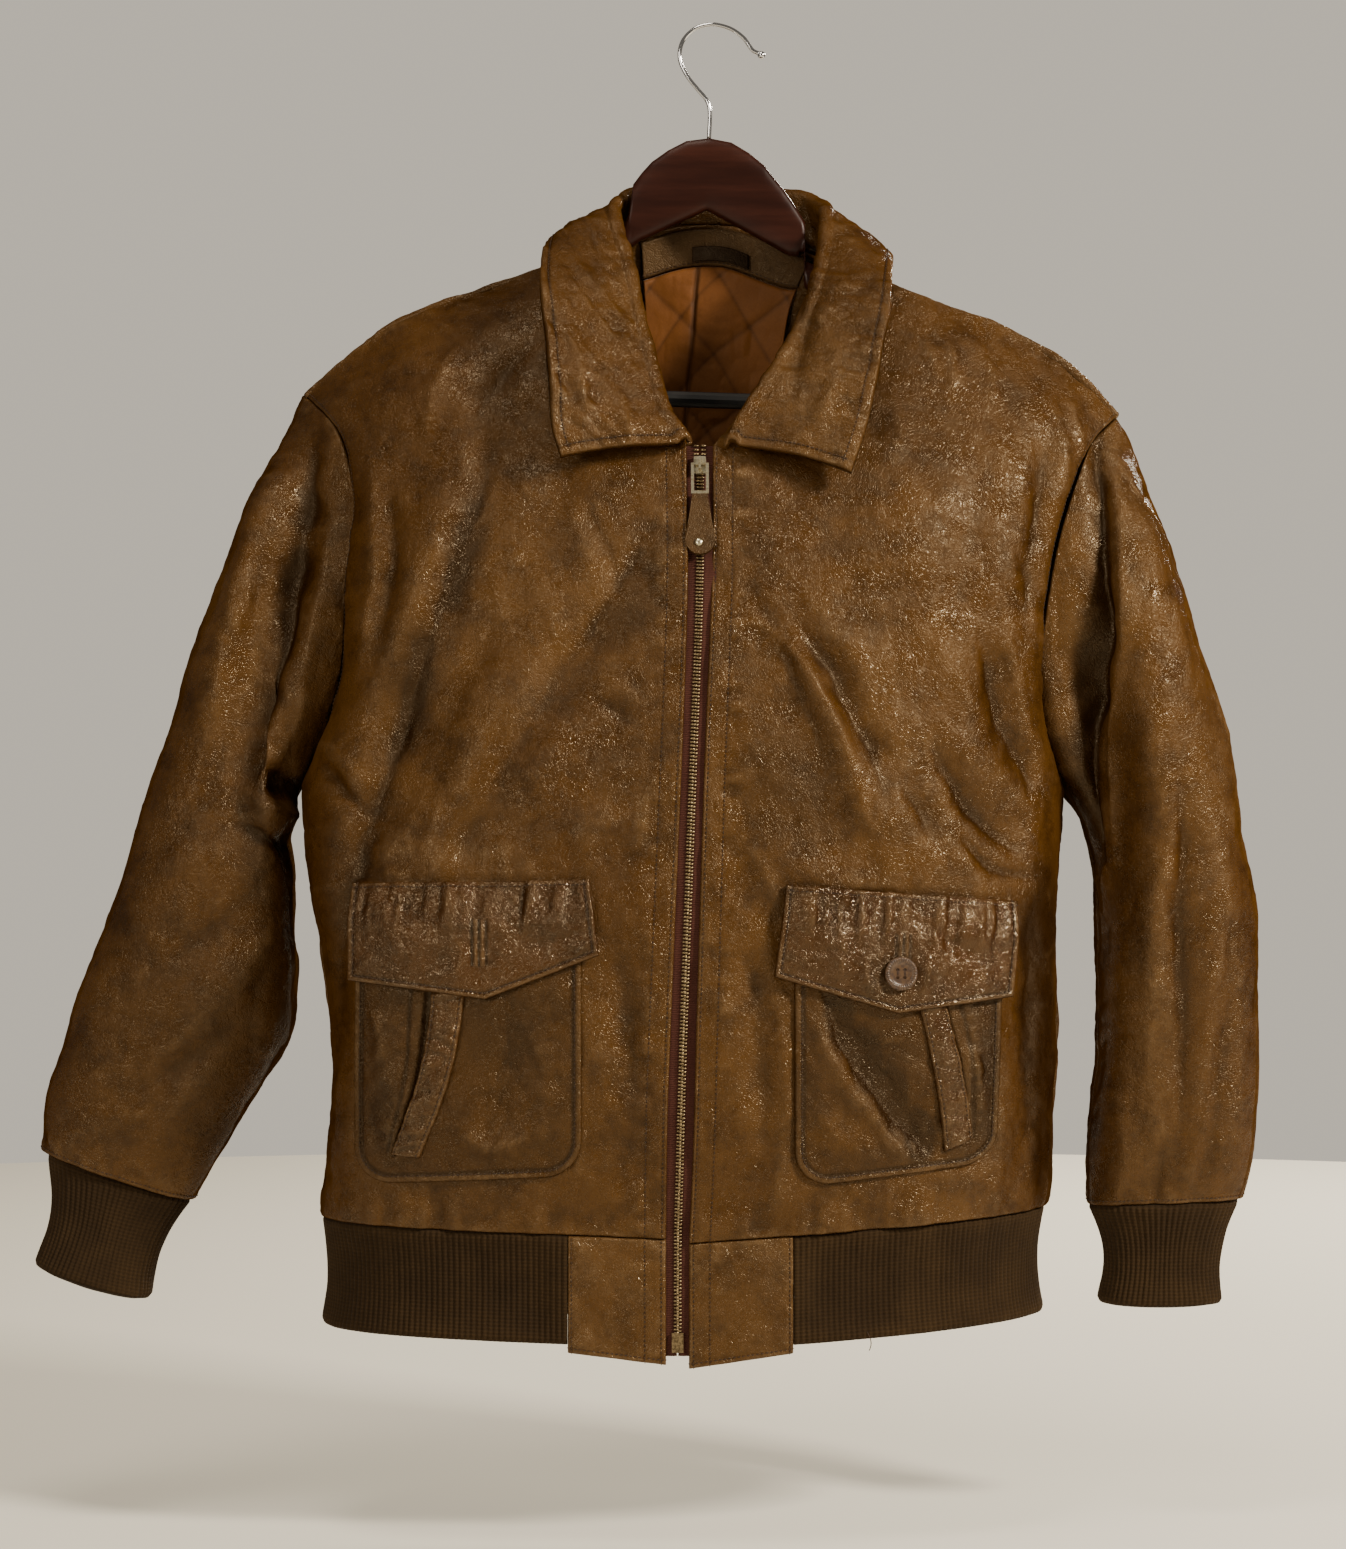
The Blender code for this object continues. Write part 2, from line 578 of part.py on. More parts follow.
def armhole_ring(side, front, back):
    """The armhole's seam points, ordered as a sleeve ring is."""
    front_column = front[ARM_ROW:, 0 if side == LEFT else -1]
    back_column = back[ARM_ROW:, -1 if side == LEFT else 0]
    return np.concatenate([front_column[:0:-1], back_column[:-1]])


def sleeve_grid(side, front, back):
    steps = ROWS - ARM_ROW
    seam = armhole_ring(side, front, back)
    change = seam - sleeve_ring(side, 0, steps)
    rows = []
    for t in np.linspace(0, 1, SLEEVE_ROWS + 1):
        left = np.clip(1 - t / SLEEVE_BLEND, 0, 1)
        rows.append(sleeve_ring(side, t, steps) + change * left**2 * (3 - 2 * left))
    grid = np.array(rows)
    return grid if side == LEFT else grid[:, ::-1]


def cuff_grid(side, sleeve):
    """The knitted cuff from the sleeve's last ring down, drawn in just below the seam."""
    end = CUFF_END[side]
    steps = ROWS - ARM_ROW
    far = ring(end["outer"], end["inner"], *end["y"], 0, 0.5, steps)
    if side == RIGHT:
        far = far[::-1]
    near = sleeve[-1]
    middle = near.mean(axis=0)
    near = near + unit(middle - near) * 0.0012
    rows = []
    for t in np.linspace(0, 1, CUFF_ROWS + 1):
        line = near + (far - near) * t
        rows.append(line + unit(line.mean(axis=0) - line) * CUFF_DRAW_IN * math.sin(math.pi * t))
    rows = np.array(rows)
    rows[0] += unit(far - near) * SEAM
    return rows


# ---------------------------------------------------------------- shared seams
def share_normals(grids, normals, within=0.0004):
    """Gives points that two pieces share at a seam one normal, so their edges stay parallel."""
    keys = list(grids)
    places, owners = [], []
    for key in keys:
        rows, columns = grids[key].shape[:2]
        for i in range(rows):
            for j in range(columns):
                if i in (0, rows - 1) or j in (0, columns - 1):
                    places.append(grids[key][i, j])
                    owners.append((key, i, j))
    places, shared = np.array(places), {}
    for place in places:
        near = np.flatnonzero(np.linalg.norm(places - place, axis=1) < within)
        if len({owners[k][0] for k in near}) > 1:
            total = sum(unit(normals[owners[k][0]][owners[k][1:]]) for k in near)
            for k in near:
                shared.setdefault(owners[k], unit(total))
    for (key, i, j), value in shared.items():
        normals[key][i, j] = value


# ---------------------------------------------------------------- pieces on a front panel
class Surface:
    """A finely sampled front panel that finds its own point at a place in the front view."""

    def __init__(self, side):
        self.points = front_grid(side, rows=4 * ROWS, columns=5 * FRONT_COLUMNS)
        self.normals = normals_of(self.points)

    def read(self, grid, place):
        i = int(np.clip(place[0], 0, grid.shape[0] - 1.001))
        j = int(np.clip(place[1], 0, grid.shape[1] - 1.001))
        a, b = place[0] - i, place[1] - j
        low = grid[i, j] * (1 - b) + grid[i, j + 1] * b
        high = grid[i + 1, j] * (1 - b) + grid[i + 1, j + 1] * b
        return low * (1 - a) + high * a

    def at(self, x, z, lift):
        """The point of the panel at (x, z), moved out by lift."""
        target = np.array([x, z])
        away = np.linalg.norm(self.points[..., [0, 2]] - target, axis=-1)
        place = np.array(np.unravel_index(np.argmin(away), away.shape), float)
        for _ in range(4):
            here = self.read(self.points, place)[[0, 2]]
            up = self.read(self.points, place + (0.5, 0))[[0, 2]] - here
            across = self.read(self.points, place + (0, 0.5))[[0, 2]] - here
            step = np.linalg.lstsq(np.stack([up, across], 1), target - here, rcond=None)[0]
            place = place + 0.5 * step
        normal = unit(self.read(self.normals, place))
        return self.read(self.points, place) + normal * lift


def blend_corners(bottom_left, bottom_right, top_left, top_right, a, b):
    low = np.array(bottom_left) * (1 - a) + np.array(bottom_right) * a
    high = np.array(top_left) * (1 - a) + np.array(top_right) * a
    return low * (1 - b) + high * b


def pocket_grid(surface, side, lift, rim=0.0, rows=6, columns=8):
    """The patch pocket's points, its lower corners round, its edge raised by rim."""
    plan = POCKET[side]
    width = abs(plan["bottom"][1][0] - plan["bottom"][0][0])
    height = plan["top"][0][1] - plan["bottom"][0][1]
    grid = np.zeros((rows + 1, columns + 1, 3))
    places = (1 - np.cos(np.linspace(0, math.pi, columns + 1))) / 2
    for j, a in enumerate(places):
        edge = min(a, 1 - a) * width
        short = max(POCKET_CORNER - edge, 0)
        start = (POCKET_CORNER - math.sqrt(POCKET_CORNER**2 - short**2)) / height
        for i, b in enumerate(np.linspace(0, 1, rows + 1)):
            x, z = blend_corners(*plan["bottom"], *plan["top"], a, start + (1 - start) * b)
            raised = rim if i == 0 or j in (0, columns) else 0
            grid[i, j] = surface.at(x, z, lift + raised)
    return grid


def flap_grid(surface, side, lift_top, lift_low, rows=4, columns=8):
    """The pointed flap, sewn at its top edge and lying over the pocket below."""
    plan = POCKET[side]
    low = np.array(plan["flap_bottom"])
    point = (low[1][0] - low[0][0]) / (low[2][0] - low[0][0])
    grid = np.zeros((rows + 1, columns + 1, 3))
    for j, a in enumerate(np.linspace(0, 1, columns + 1)):
        if abs(a - point) < 0.5 / columns:
            a = point
        bottom = np.array([np.interp(a, (0, point, 1), low[:, k]) for k in (0, 1)])
        top = np.array(plan["flap_top"][0]) * (1 - a) + np.array(plan["flap_top"][1]) * a
        for i, b in enumerate(np.linspace(0, 1, rows + 1)):
            x, z = bottom * (1 - b) + top * b
            lift = lift_low + (lift_top - lift_low) * max(0.0, (b - 0.62) / 0.38)
            grid[i, j] = surface.at(x, z, lift)
    return grid


def welt_grid(surface, side, lift):
    top_a, low_a, low_b, top_b = (np.array(p) for p in POCKET[side]["welt"])
    grid = np.zeros((5, 3, 3))
    for i, b in enumerate(np.linspace(0, 1, 5)):
        for j, a in enumerate(np.linspace(0, 1, 3)):
            x, z = (low_a * (1 - a) + low_b * a) * (1 - b) + (top_a * (1 - a) + top_b * a) * b
            grid[i, j] = surface.at(x, z, lift)
    return grid


# ---------------------------------------------------------------- the hem
def front_hem(side, x_from, x_to, count):
    """Points of a front's hem between two places across the front view."""
    line = front_row(side, 0.0, np.linspace(0, 1, 300))
    order = np.argsort(line[:, 0])
    xs = np.linspace(x_from, x_to, count)
    return np.stack([np.interp(xs, line[order, 0], line[order, k]) for k in range(3)], axis=1)


def hang_below(points, drops, rows):
    """A grid that hangs below a line of points, top row last."""
    levels = np.linspace(1, 0, rows + 1)
    return np.array([points - np.array([0, 0, 1]) * (SEAM + drops * t)[:, None] for t in levels])


# ---------------------------------------------------------------- finishes
FINISHES = {  # colour, roughness, metallic
    "leather": ((0.130, 0.060, 0.024), 0.42, 0.0),
    "dark leather": ((0.060, 0.030, 0.016), 0.50, 0.0),
    "rib knit": ((0.045, 0.024, 0.014), 0.90, 0.0),
    "lining": ((0.250, 0.085, 0.020), 0.45, 0.0),
    "zip tape": ((0.110, 0.030, 0.022), 0.85, 0.0),
    "brass": ((0.300, 0.250, 0.170), 0.38, 1.0),
    "nickel": ((0.340, 0.320, 0.280), 0.32, 1.0),
    "button": ((0.060, 0.030, 0.020), 0.35, 0.0),
    "wood": ((0.060, 0.012, 0.008), 0.25, 0.0),
    "rubber": ((0.008, 0.008, 0.009), 0.60, 0.0),
    "chrome": ((0.620, 0.620, 0.640), 0.12, 1.0),
}


def material(finish):
    found = bpy.data.materials.get(finish)
    if found:
        return found
    colour, roughness, metallic = FINISHES[finish]
    made = bpy.data.materials.new(finish)
    made.use_nodes = True
    shader = made.node_tree.nodes["Principled BSDF"]
    shader.inputs["Base Color"].default_value = (*colour, 1)
    shader.inputs["Roughness"].default_value = roughness
    shader.inputs["Metallic"].default_value = metallic
    return made


SIDE_NAME = {LEFT: "right", RIGHT: "left"}  # the wearer's sides


# ---------------------------------------------------------------- making the pieces
def make_body():
    """The fronts, the back and the sleeves, with their cuffs and the waistband."""
    grids = {side: front_grid(side) for side in (LEFT, RIGHT)}
    grids["back"] = back_grid()
    for side in (LEFT, RIGHT):
        grids["sleeve", side] = sleeve_grid(side, grids[side], grids["back"])
    normals = {}
    for key, grid in grids.items():
        closed = isinstance(key, tuple)
        normals[key] = normals_of(grid, closed)
        if closed:
            outward = np.sum(normals[key] * (grid - grid.mean(axis=1, keepdims=True)))
            normals[key] *= math.copysign(1, outward)
    share_normals(grids, normals)
    names = {LEFT: "front_right", RIGHT: "front_left", "back": "back"}
    for key, name in names.items():
        grid = pull_in(grids[key])
        wall(name, grid - normals[key] * LEATHER, grid, "leather")
    for side in (LEFT, RIGHT):
        key = ("sleeve", side)
        grid = pull_in(grids[key], closed=True)
        wall("sleeve_" + SIDE_NAME[side], grid - normals[key] * LEATHER, grid, "leather", True)
        make_cuff(side, grids[key])
    make_waistband(grids["back"])
    return grids


def make_cuff(side, sleeve):
    grid = cuff_grid(side, sleeve)
    normal = normals_of(grid, True)
    normal *= math.copysign(1, np.sum(normal * (grid - grid.mean(axis=1, keepdims=True))))
    wall("cuff_" + SIDE_NAME[side], grid - normal * KNIT, grid, "rib knit", True)


TAB_EDGE = {LEFT: -0.0900, RIGHT: 0.0430}  # where each leather tab meets the knit
FRONT_RIB_POINTS, BACK_RIB_POINTS = 9, 15


def make_waistband(back):
    """The knitted band from tab to tab round the back, and the leather tabs at the zip."""
    row = {side: front_hem_to_side(side) for side in (LEFT, RIGHT)}
    behind = evenly(back[0], np.linspace(0, 1, BACK_RIB_POINTS))
    line = np.concatenate([row[RIGHT][:-1], behind, row[LEFT][::-1][1:]])
    grid = hang_below(line, np.full(len(line), RIB_DROP), 2)
    normal = normals_of(grid)
    grid = pull_in(grid, top=False, bottom=False)
    wall("waistband", grid - normal * KNIT, grid, "rib knit")
    for side in (LEFT, RIGHT):
        zip_x = ZIP_EDGE[side].rows[0, 1]
        ends = sorted((TAB_EDGE[side], zip_x))
        points = front_hem(side, *ends, 4)
        outer, inner = TAB_DROP_OUTER, TAB_DROP_ZIP
        drops = np.linspace(*((outer, inner) if side == LEFT else (inner, outer)), 4)
        grid = hang_below(points, drops, 2)
        normal = normals_of(grid)
        grid = pull_in(grid, top=False, bottom=False)
        wall("tab_" + SIDE_NAME[side], grid - normal * DOUBLED, grid, "leather")


def front_hem_to_side(side):
    """A front's hem from its tab to the side seam."""
    line = front_row(side, 0.0, np.linspace(0, 1, 300))
    past = line[:, 0] * side > TAB_EDGE[side] * side
    first = int(np.argmax(past))
    start = front_hem(side, TAB_EDGE[side], TAB_EDGE[side], 1)
    return evenly(np.concatenate([start, line[first:]]), np.linspace(0, 1, FRONT_RIB_POINTS))


def make_pockets(surfaces):
    for side in (LEFT, RIGHT):
        name = SIDE_NAME[side]
        surface = surfaces[side]
        bag = pocket_grid(surface, side, LAID)
        top = pocket_grid(surface, side, LAID + LEATHER, rim=POCKET_RIM)
        wall("pocket_" + name, bag, top, "leather")
        welt_lift = LAID * 2 + LEATHER
        wall(
            "pocket_welt_" + name,
            welt_grid(surface, side, welt_lift),
            welt_grid(surface, side, welt_lift + LEATHER),
            "leather",
        )
        over = welt_lift + LEATHER + LAID
        low = flap_grid(surface, side, LAID, over)
        high = flap_grid(surface, side, LAID + DOUBLED, over + DOUBLED)
        wall("pocket_flap_" + name, low, high, "leather")
    make_button(surfaces[RIGHT], over + DOUBLED + SEAM)


def local_frame(centre, normal, up=(0, 0, 1)):
    """Three unit axes at a surface point: across, up along the surface, and out."""
    across = unit(np.cross(np.array(up, float), normal))
    if across[0] < 0:
        across = -across
    return across, unit(np.cross(normal, across)) * (1 if normal[1] < 0 else -1)


def block(name, centre, axes, low, high, finish):
    """A block between low and high along three axes at centre."""
    corners = [(x, y, z) for x in (low[0], high[0]) for y in (low[1], high[1]) for z in (low[2], high[2])]
    points = [centre + sum(axes[k] * c[k] for k in range(3)) for c in corners]
    faces = [(0, 1, 3, 2), (4, 6, 7, 5), (0, 4, 5, 1), (2, 3, 7, 6), (0, 2, 6, 4), (1, 5, 7, 3)]
    return add_piece(name, points, faces, finish)


def make_button(surface, lift):
    """A four-hole button lying on the fastened flap."""
    centre = surface.at(*BUTTON_AT, lift)
    out = unit(surface.at(*BUTTON_AT, lift + 0.01) - centre)
    centre = centre + out * 0.0006
    across, up = local_frame(centre, out)
    rings = Table(
        "share radius height",
        (0.0, 0.0, 0.0),
        (0.3, BUTTON_RADIUS * 0.96, 0.0),
        (0.5, BUTTON_RADIUS, BUTTON_THICKNESS * 0.5),
        (0.7, BUTTON_RADIUS * 0.90, BUTTON_THICKNESS),
        (0.85, BUTTON_RADIUS * 0.62, BUTTON_THICKNESS * 0.62),
        (1.0, 0.0, BUTTON_THICKNESS * 0.62),
    )
    sides = 20
    points, faces = [centre], []
    for radius, height in rings.rows[1:-1, 1:]:
        for k in range(sides):
            angle = math.tau * k / sides
            place = across * math.cos(angle) + up * math.sin(angle)
            points.append(centre + place * radius + out * height)
    points.append(centre + out * rings.rows[-1, 2])
    layers = len(rings.rows) - 2
    for k in range(sides):
        n = (k + 1) % sides
        faces.append([0, 1 + n, 1 + k])
        for layer in range(layers - 1):
            a, b = 1 + layer * sides, 1 + (layer + 1) * sides
            faces.append([a + k, a + n, b + n, b + k])
        faces.append([1 + (layers - 1) * sides + k, 1 + (layers - 1) * sides + n, len(points) - 1])
    piece = add_piece("button", points, faces, "button")
    drill_holes(piece, centre, across, up, out)


def drill_holes(piece, centre, across, up, out):
    """Four thread holes through the button."""
    for k, (a, b) in enumerate(((-1, -1), (-1, 1), (1, -1), (1, 1))):
        place = centre + (across * a + up * b) * HOLE_OUT
        axes = (across, up, out)
        low, high = (-HOLE_HALF, -HOLE_HALF, -HOLE_BELOW), (HOLE_HALF, HOLE_HALF, HOLE_ABOVE)
        cutter = block(f"thread_hole_{k}", place, axes, low, high, "button")
        cutter.hide_render = True
        cutter.display_type = "WIRE"
        cut = piece.modifiers.new(f"hole {k}", "BOOLEAN")
        cut.operation = "DIFFERENCE"
        cut.object = cutter


# ---------------------------------------------------------------- collar and neck
def neck_seam(side, share, neck_curve):
    """A point of the neck seam: 0 at the zip, 1 at the shoulder, 2 mid back."""
    if share <= 1:
        return NECKLINE[side].at(share, "x", "y", "z")
    along = (share - 1) / 2
    return evenly(neck_curve, np.array([along if side == RIGHT else 1 - along]))[0]


def collar_section(seam, fold, edge):
    """Stand, rolled fold and fall of the collar at one station, from the seam to the edge."""
    out = edge - fold
    out[2] = 0
    out = unit(out)
    up = np.array([0, 0, 1.0])
    hub = fold - up * COLLAR_ROLL
    stand_top = hub - out * COLLAR_ROLL
    fall_top = hub + out * COLLAR_ROLL
    start = seam + unit(stand_top - seam) * 0.0015
    points = [start, (start + stand_top) / 2, stand_top]
    for angle in (45, 90, 135):
        turn = math.radians(angle)
        points.append(hub - out * COLLAR_ROLL * math.cos(turn) + up * COLLAR_ROLL * math.sin(turn))
    points.append(fall_top)
    bow = unit(out + up * 0.6) * COLLAR_CROWN
    for share in (0.33, 0.67, 1.0):
        points.append(fall_top + (edge - fall_top) * share + bow * math.sin(math.pi * share))
    return points


def make_collar():
    top = shoulder_and_neck()
    neck_curve = top[FRONT_COLUMNS : FRONT_COLUMNS + NECK_COLUMNS + 1]
    stations = [(LEFT, s) for s in np.linspace(0, 2, COLLAR_STATIONS + 1)]
    stations += [(RIGHT, s) for s in np.linspace(2, 0, COLLAR_STATIONS + 1)[1:]]
    rows = []
    for side, share in stations:
        seam = neck_seam(side, share, neck_curve)
        fold = COLLAR[side].at(share, "fold_x", "fold_y", "fold_z")
        edge = COLLAR[side].at(share, "edge_x", "edge_y", "edge_z")
        rows.append(collar_section(seam, fold, edge))
    grid = np.array(rows)
    normal = normals_of(grid)
    wall("collar", grid - normal * DOUBLED / 2, grid + normal * DOUBLED / 2, "leather")


def down_the_back(back, columns, distances):
    """Points down some columns of the back at distances below its top edge, lowest first."""
    lines = []
    for j in columns:
        column = back[::-1, j]
        length = np.sum(np.linalg.norm(np.diff(column, axis=0), axis=1))
        lines.append(evenly(column, np.array(distances) / length))
    return np.array(lines).transpose(1, 0, 2)[::-1]


FACING_TOP, FACING_DEPTH = 0.003, 0.026  # below the neck seam
LINING_DEPTH = 0.180


def make_inside_neck(back):
    """The leather facing inside the back neck, its hanging loop, and the lining below it."""
    inward = -normals_of(back)
    neck = range(FRONT_COLUMNS + 1, FRONT_COLUMNS + NECK_COLUMNS)
    grid = down_the_back(
        back + inward * (LEATHER + FACING_GAP), neck, np.linspace(FACING_TOP, FACING_DEPTH, 3)
    )
    face = grid - normals_of(grid) * LEATHER
    wall("neck_facing", face, grid, "dark leather")
    depths = np.linspace(FACING_DEPTH + 2 * SEAM, LINING_DEPTH, 6)
    lining = down_the_back(back + inward * (LEATHER + LINING_GAP), neck, depths)
    wall("lining", lining - normals_of(lining) * SATIN, lining, "lining")
    make_loop(face)


LOOP_WIDTH, LOOP_HEIGHT, LOOP_THICKNESS = 0.036, 0.009, 0.0014
LOOP_BOW = 0.003  # how far its middle stands off the facing


def make_loop(facing):
    """A flat hanging loop sewn to the facing at its ends, standing off it in the middle."""
    shares = np.linspace(-1, 1, 7)
    edge = facing[0]
    length = np.sum(np.linalg.norm(np.diff(edge, axis=0), axis=1))
    line = evenly(edge, 0.5 + shares * LOOP_WIDTH / 2 / length)
    line[:, 1] -= 2 * LAID + LOOP_BOW * np.cos(shares * math.pi / 2)
    up = np.array([0, 0, LOOP_HEIGHT])
    outer = np.array([line + up * 0.3, line + up * 0.8, line + up * 1.3])
    wall("hang_loop", outer + np.array([0, -LOOP_THICKNESS, 0]), outer, "dark leather")


# ---------------------------------------------------------------- the zip
def zip_line(share):
    """The middle of the zip between the fronts' faces, by share from the hem to the collar."""
    points = []
    for side in (LEFT, RIGHT):
        edge = ZIP_EDGE[side]
        low, high = edge.rows[0, 0], edge.rows[-1, 0]
        height = low + (high - low) * share
        points.append(np.array([*edge.at(height, "x", "y"), height]))
    return (points[0] + points[1]) / 2


TAPE_BEHIND = DOUBLED + 2 * SEAM  # the tapes' outer face lies this far behind the leather's
TAPE_SHORT = 0.006  # the tapes end this far above the bottom of the tabs
TAB_LEAN = 0.0008  # the zip's shift to the left for each metre down the tabs


def zip_path():
    """The zip's line on the tapes, from near the bottom of the tabs to the collar."""
    hem = zip_line(0)
    drops = np.linspace(TAB_DROP_ZIP - TAPE_SHORT, TAB_DROP_ZIP / 3, 3)
    tabs = [hem + np.array([TAB_LEAN, 0, -1]) * drop for drop in drops]
    line = np.array(tabs + [zip_line(share) for share in np.linspace(0.01, 1, 14)])
    line[:, 1] += TAPE_BEHIND
    return line


def make_zip():
    line = zip_path()
    for side in (LEFT, RIGHT):
        near = line + np.array([side * TAPE_APART / 2, 0, 0])
        far = line + np.array([side * TAPE_WIDTH, 0, 0])
        pair = (far, near) if side == LEFT else (near, far)
        inner = np.stack(pair, axis=1)
        normal = normals_of(inner)
        wall("zip_tape_" + SIDE_NAME[side], inner - normal * TAPE_THICKNESS, inner, "zip tape")
    make_stop(line)
    make_slider(line)


def axes_on_zip(line, height):
    """The point on the zip at a height, with axes across, up the zip and out."""
    point = np.array([np.interp(height, line[:, 2], line[:, k]) for k in range(3)])
    ahead = np.array([np.interp(height + 0.01, line[:, 2], line[:, k]) for k in range(3)])
    up = unit(ahead - point)
    across = np.array([1.0, 0, 0])
    across = unit(across - up * (across @ up))
    out = unit(np.cross(across, up))
    return point, (across, up, out if out[1] < 0 else -out)


STOP_HEIGHT = -0.7975
SLIDER_HEIGHT = -0.2790


def make_stop(line):
    """The box and pin that close the zip's bottom end."""
    point, axes = axes_on_zip(line, STOP_HEIGHT)
    block("zip_box", point, axes, (-0.0034, -0.0058, SEAM), (0.0034, 0.0058, 0.0028), "brass")


def make_slider(line):
    """The slider with its bridge, and the pull that hangs from it on its own hinge."""
    point, axes = axes_on_zip(line, SLIDER_HEIGHT)
    width, length = SLIDER_WIDTH / 2, SLIDER_LENGTH / 2
    outline = [(-width, -length), (-width * 0.8, length), (width * 0.8, length), (width, -length)]
    body = slab("slider", point, axes, outline, SEAM, SLIDER_TOP, "nickel")
    arch = bridge_arch("bridge", point, axes)
    join = body.modifiers.new("bridge", "BOOLEAN")
    join.operation = "UNION"
    join.object = arch
    make_pull(point + axes[2] * PULL_OUT, axes)


SLIDER_TOP = 0.0032  # the slider's face, out from the tapes
BRIDGE_THICKNESS = 0.0015
PULL_OUT = 0.0046  # the hinge from the tapes' face, above the slider's middle
PULL_WIDTH, PULL_LENGTH, PULL_THICKNESS = 0.0106, 0.0195, 0.0012
PULL_SIDE = 0.0018  # width of the metal round the pull's window
STRAP_LENGTH, STRAP_THICKNESS = 0.0380, 0.0028
STRAP_NECK, STRAP_WIDTH = 0.0090, 0.0177


def slab(name, centre, axes, outline, low, high, finish):
    """An outline across and up the zip, from low to high out of it."""
    count = len(outline)
    points = [centre + axes[0] * a + axes[1] * b + axes[2] * low for a, b in outline]
    points += [centre + axes[0] * a + axes[1] * b + axes[2] * high for a, b in outline]
    faces = [list(range(count)), list(range(2 * count - 1, count - 1, -1))]
    for k in range(count):
        n = (k + 1) % count
        faces.append([k, k + count, n + count, n])
    return add_piece(name, points, faces, finish)


def bridge_arch(name, centre, axes):
    """The thin arch in the slider's middle plane that holds the pull's bar."""
    ends, sunk, top = 0.0041, SLIDER_TOP - 0.0004, 0.0074
    outer = [(-ends, sunk), (-ends, top), (ends, top), (ends, sunk)]
    inner_ends, inner_top = ends - BRIDGE_THICKNESS, top - BRIDGE_THICKNESS
    inner = [(inner_ends, sunk), (inner_ends, inner_top), (-inner_ends, inner_top), (-inner_ends, sunk)]
    turned = (axes[1], axes[2], axes[0])
    arch = slab(name, centre, turned, outer + inner, -BRIDGE_THICKNESS / 2, BRIDGE_THICKNESS / 2, "brass")
    arch.hide_render = True
    arch.display_type = "WIRE"
    return arch


def make_pull(hinge, axes):
    """The pull: a metal frame on the slider's bridge, and the leather strap below it.
    Both pieces hang from an empty on the hinge's axis, and have their origin there."""
    swing = bpy.data.objects.new("zip_pull_hinge", None)
    swing.location = hinge
    bpy.context.scene.collection.objects.link(swing)
    on_axis = np.zeros(3)
    half, window = PULL_WIDTH / 2, PULL_WIDTH / 2 - PULL_SIDE
    bar = PULL_THICKNESS / 2
    outer = [(-half, bar), (half, bar), (half, bar - PULL_LENGTH), (-half, bar - PULL_LENGTH)]
    low = bar - PULL_LENGTH + PULL_SIDE
    inner = [(-window, -bar), (window, -bar), (window, low), (-window, low)]
    points, faces = [], []
    for height in (-bar, bar):
        for a, b in outer + inner:
            points.append(axes[0] * a + axes[1] * b + axes[2] * height)
    for k in range(4):
        n = (k + 1) % 4
        faces.append([k, n, n + 4, k + 4])
        faces.append([8 + k + 4, 8 + n + 4, 8 + n, 8 + k])
        faces.append([k, 8 + k, 8 + n, n])
        faces.append([n + 4, 8 + n + 4, 8 + k + 4, k + 4])
    frame = add_piece("zip_pull", points, faces, "nickel")
    start = bar - PULL_LENGTH - SEAM
    outline = [(-STRAP_NECK / 2, start), (STRAP_NECK / 2, start)]
    centre = start - STRAP_LENGTH + STRAP_WIDTH / 2
    turns = np.linspace(0, math.pi, 9)
    outline += [
        (STRAP_WIDTH / 2 * math.cos(t), centre - STRAP_WIDTH / 2 * math.sin(t)) for t in turns
    ]
    lift = STRAP_THICKNESS / 2
    strap = slab("pull_strap", on_axis, axes, outline, -lift, lift, "leather")
    for piece in (frame, strap):
        piece.parent = swing


# ---------------------------------------------------------------- the hanger
def tilted(x, z):
    """A point of the level hanger, turned about the rail and set under the hook."""
    c, s = math.cos(HANGER_TILT), math.sin(HANGER_TILT)
    return x * c + z * s - 0.0034, -x * s + z * c


def make_hanger():
    """The wood: rounded sections from tip to tip."""
    outs = HANGER.column("out")
    places = np.concatenate([-outs[:0:-1], outs])
    sides = 12
    points, faces = [], []
    for place in places:
        wing = "right" if place < 0 else "left"
        top, bottom = HANGER.at(abs(place), wing + "_top", wing + "_bottom")
        for k in range(sides):
            turn = math.tau * (k + 0.5) / sides
            y = math.copysign(abs(math.sin(turn)) ** 0.45, math.sin(turn)) * HANGER_THICKNESS / 2
            up = math.copysign(abs(math.cos(turn)) ** 0.60, math.cos(turn))
            x, z = tilted(place, (top + bottom) / 2 + up * (top - bottom) / 2)
            points.append((x, y, z))
    for i in range(len(places) - 1):
        for k in range(sides):
            n = (k + 1) % sides
            faces.append([i * sides + k, i * sides + n, (i + 1) * sides + n, (i + 1) * sides + k])
    faces.append(list(range(sides))[::-1])
    faces.append(list(range(len(points) - sides, len(points))))
    add_piece("hanger", points, faces, "wood")
    make_bar()


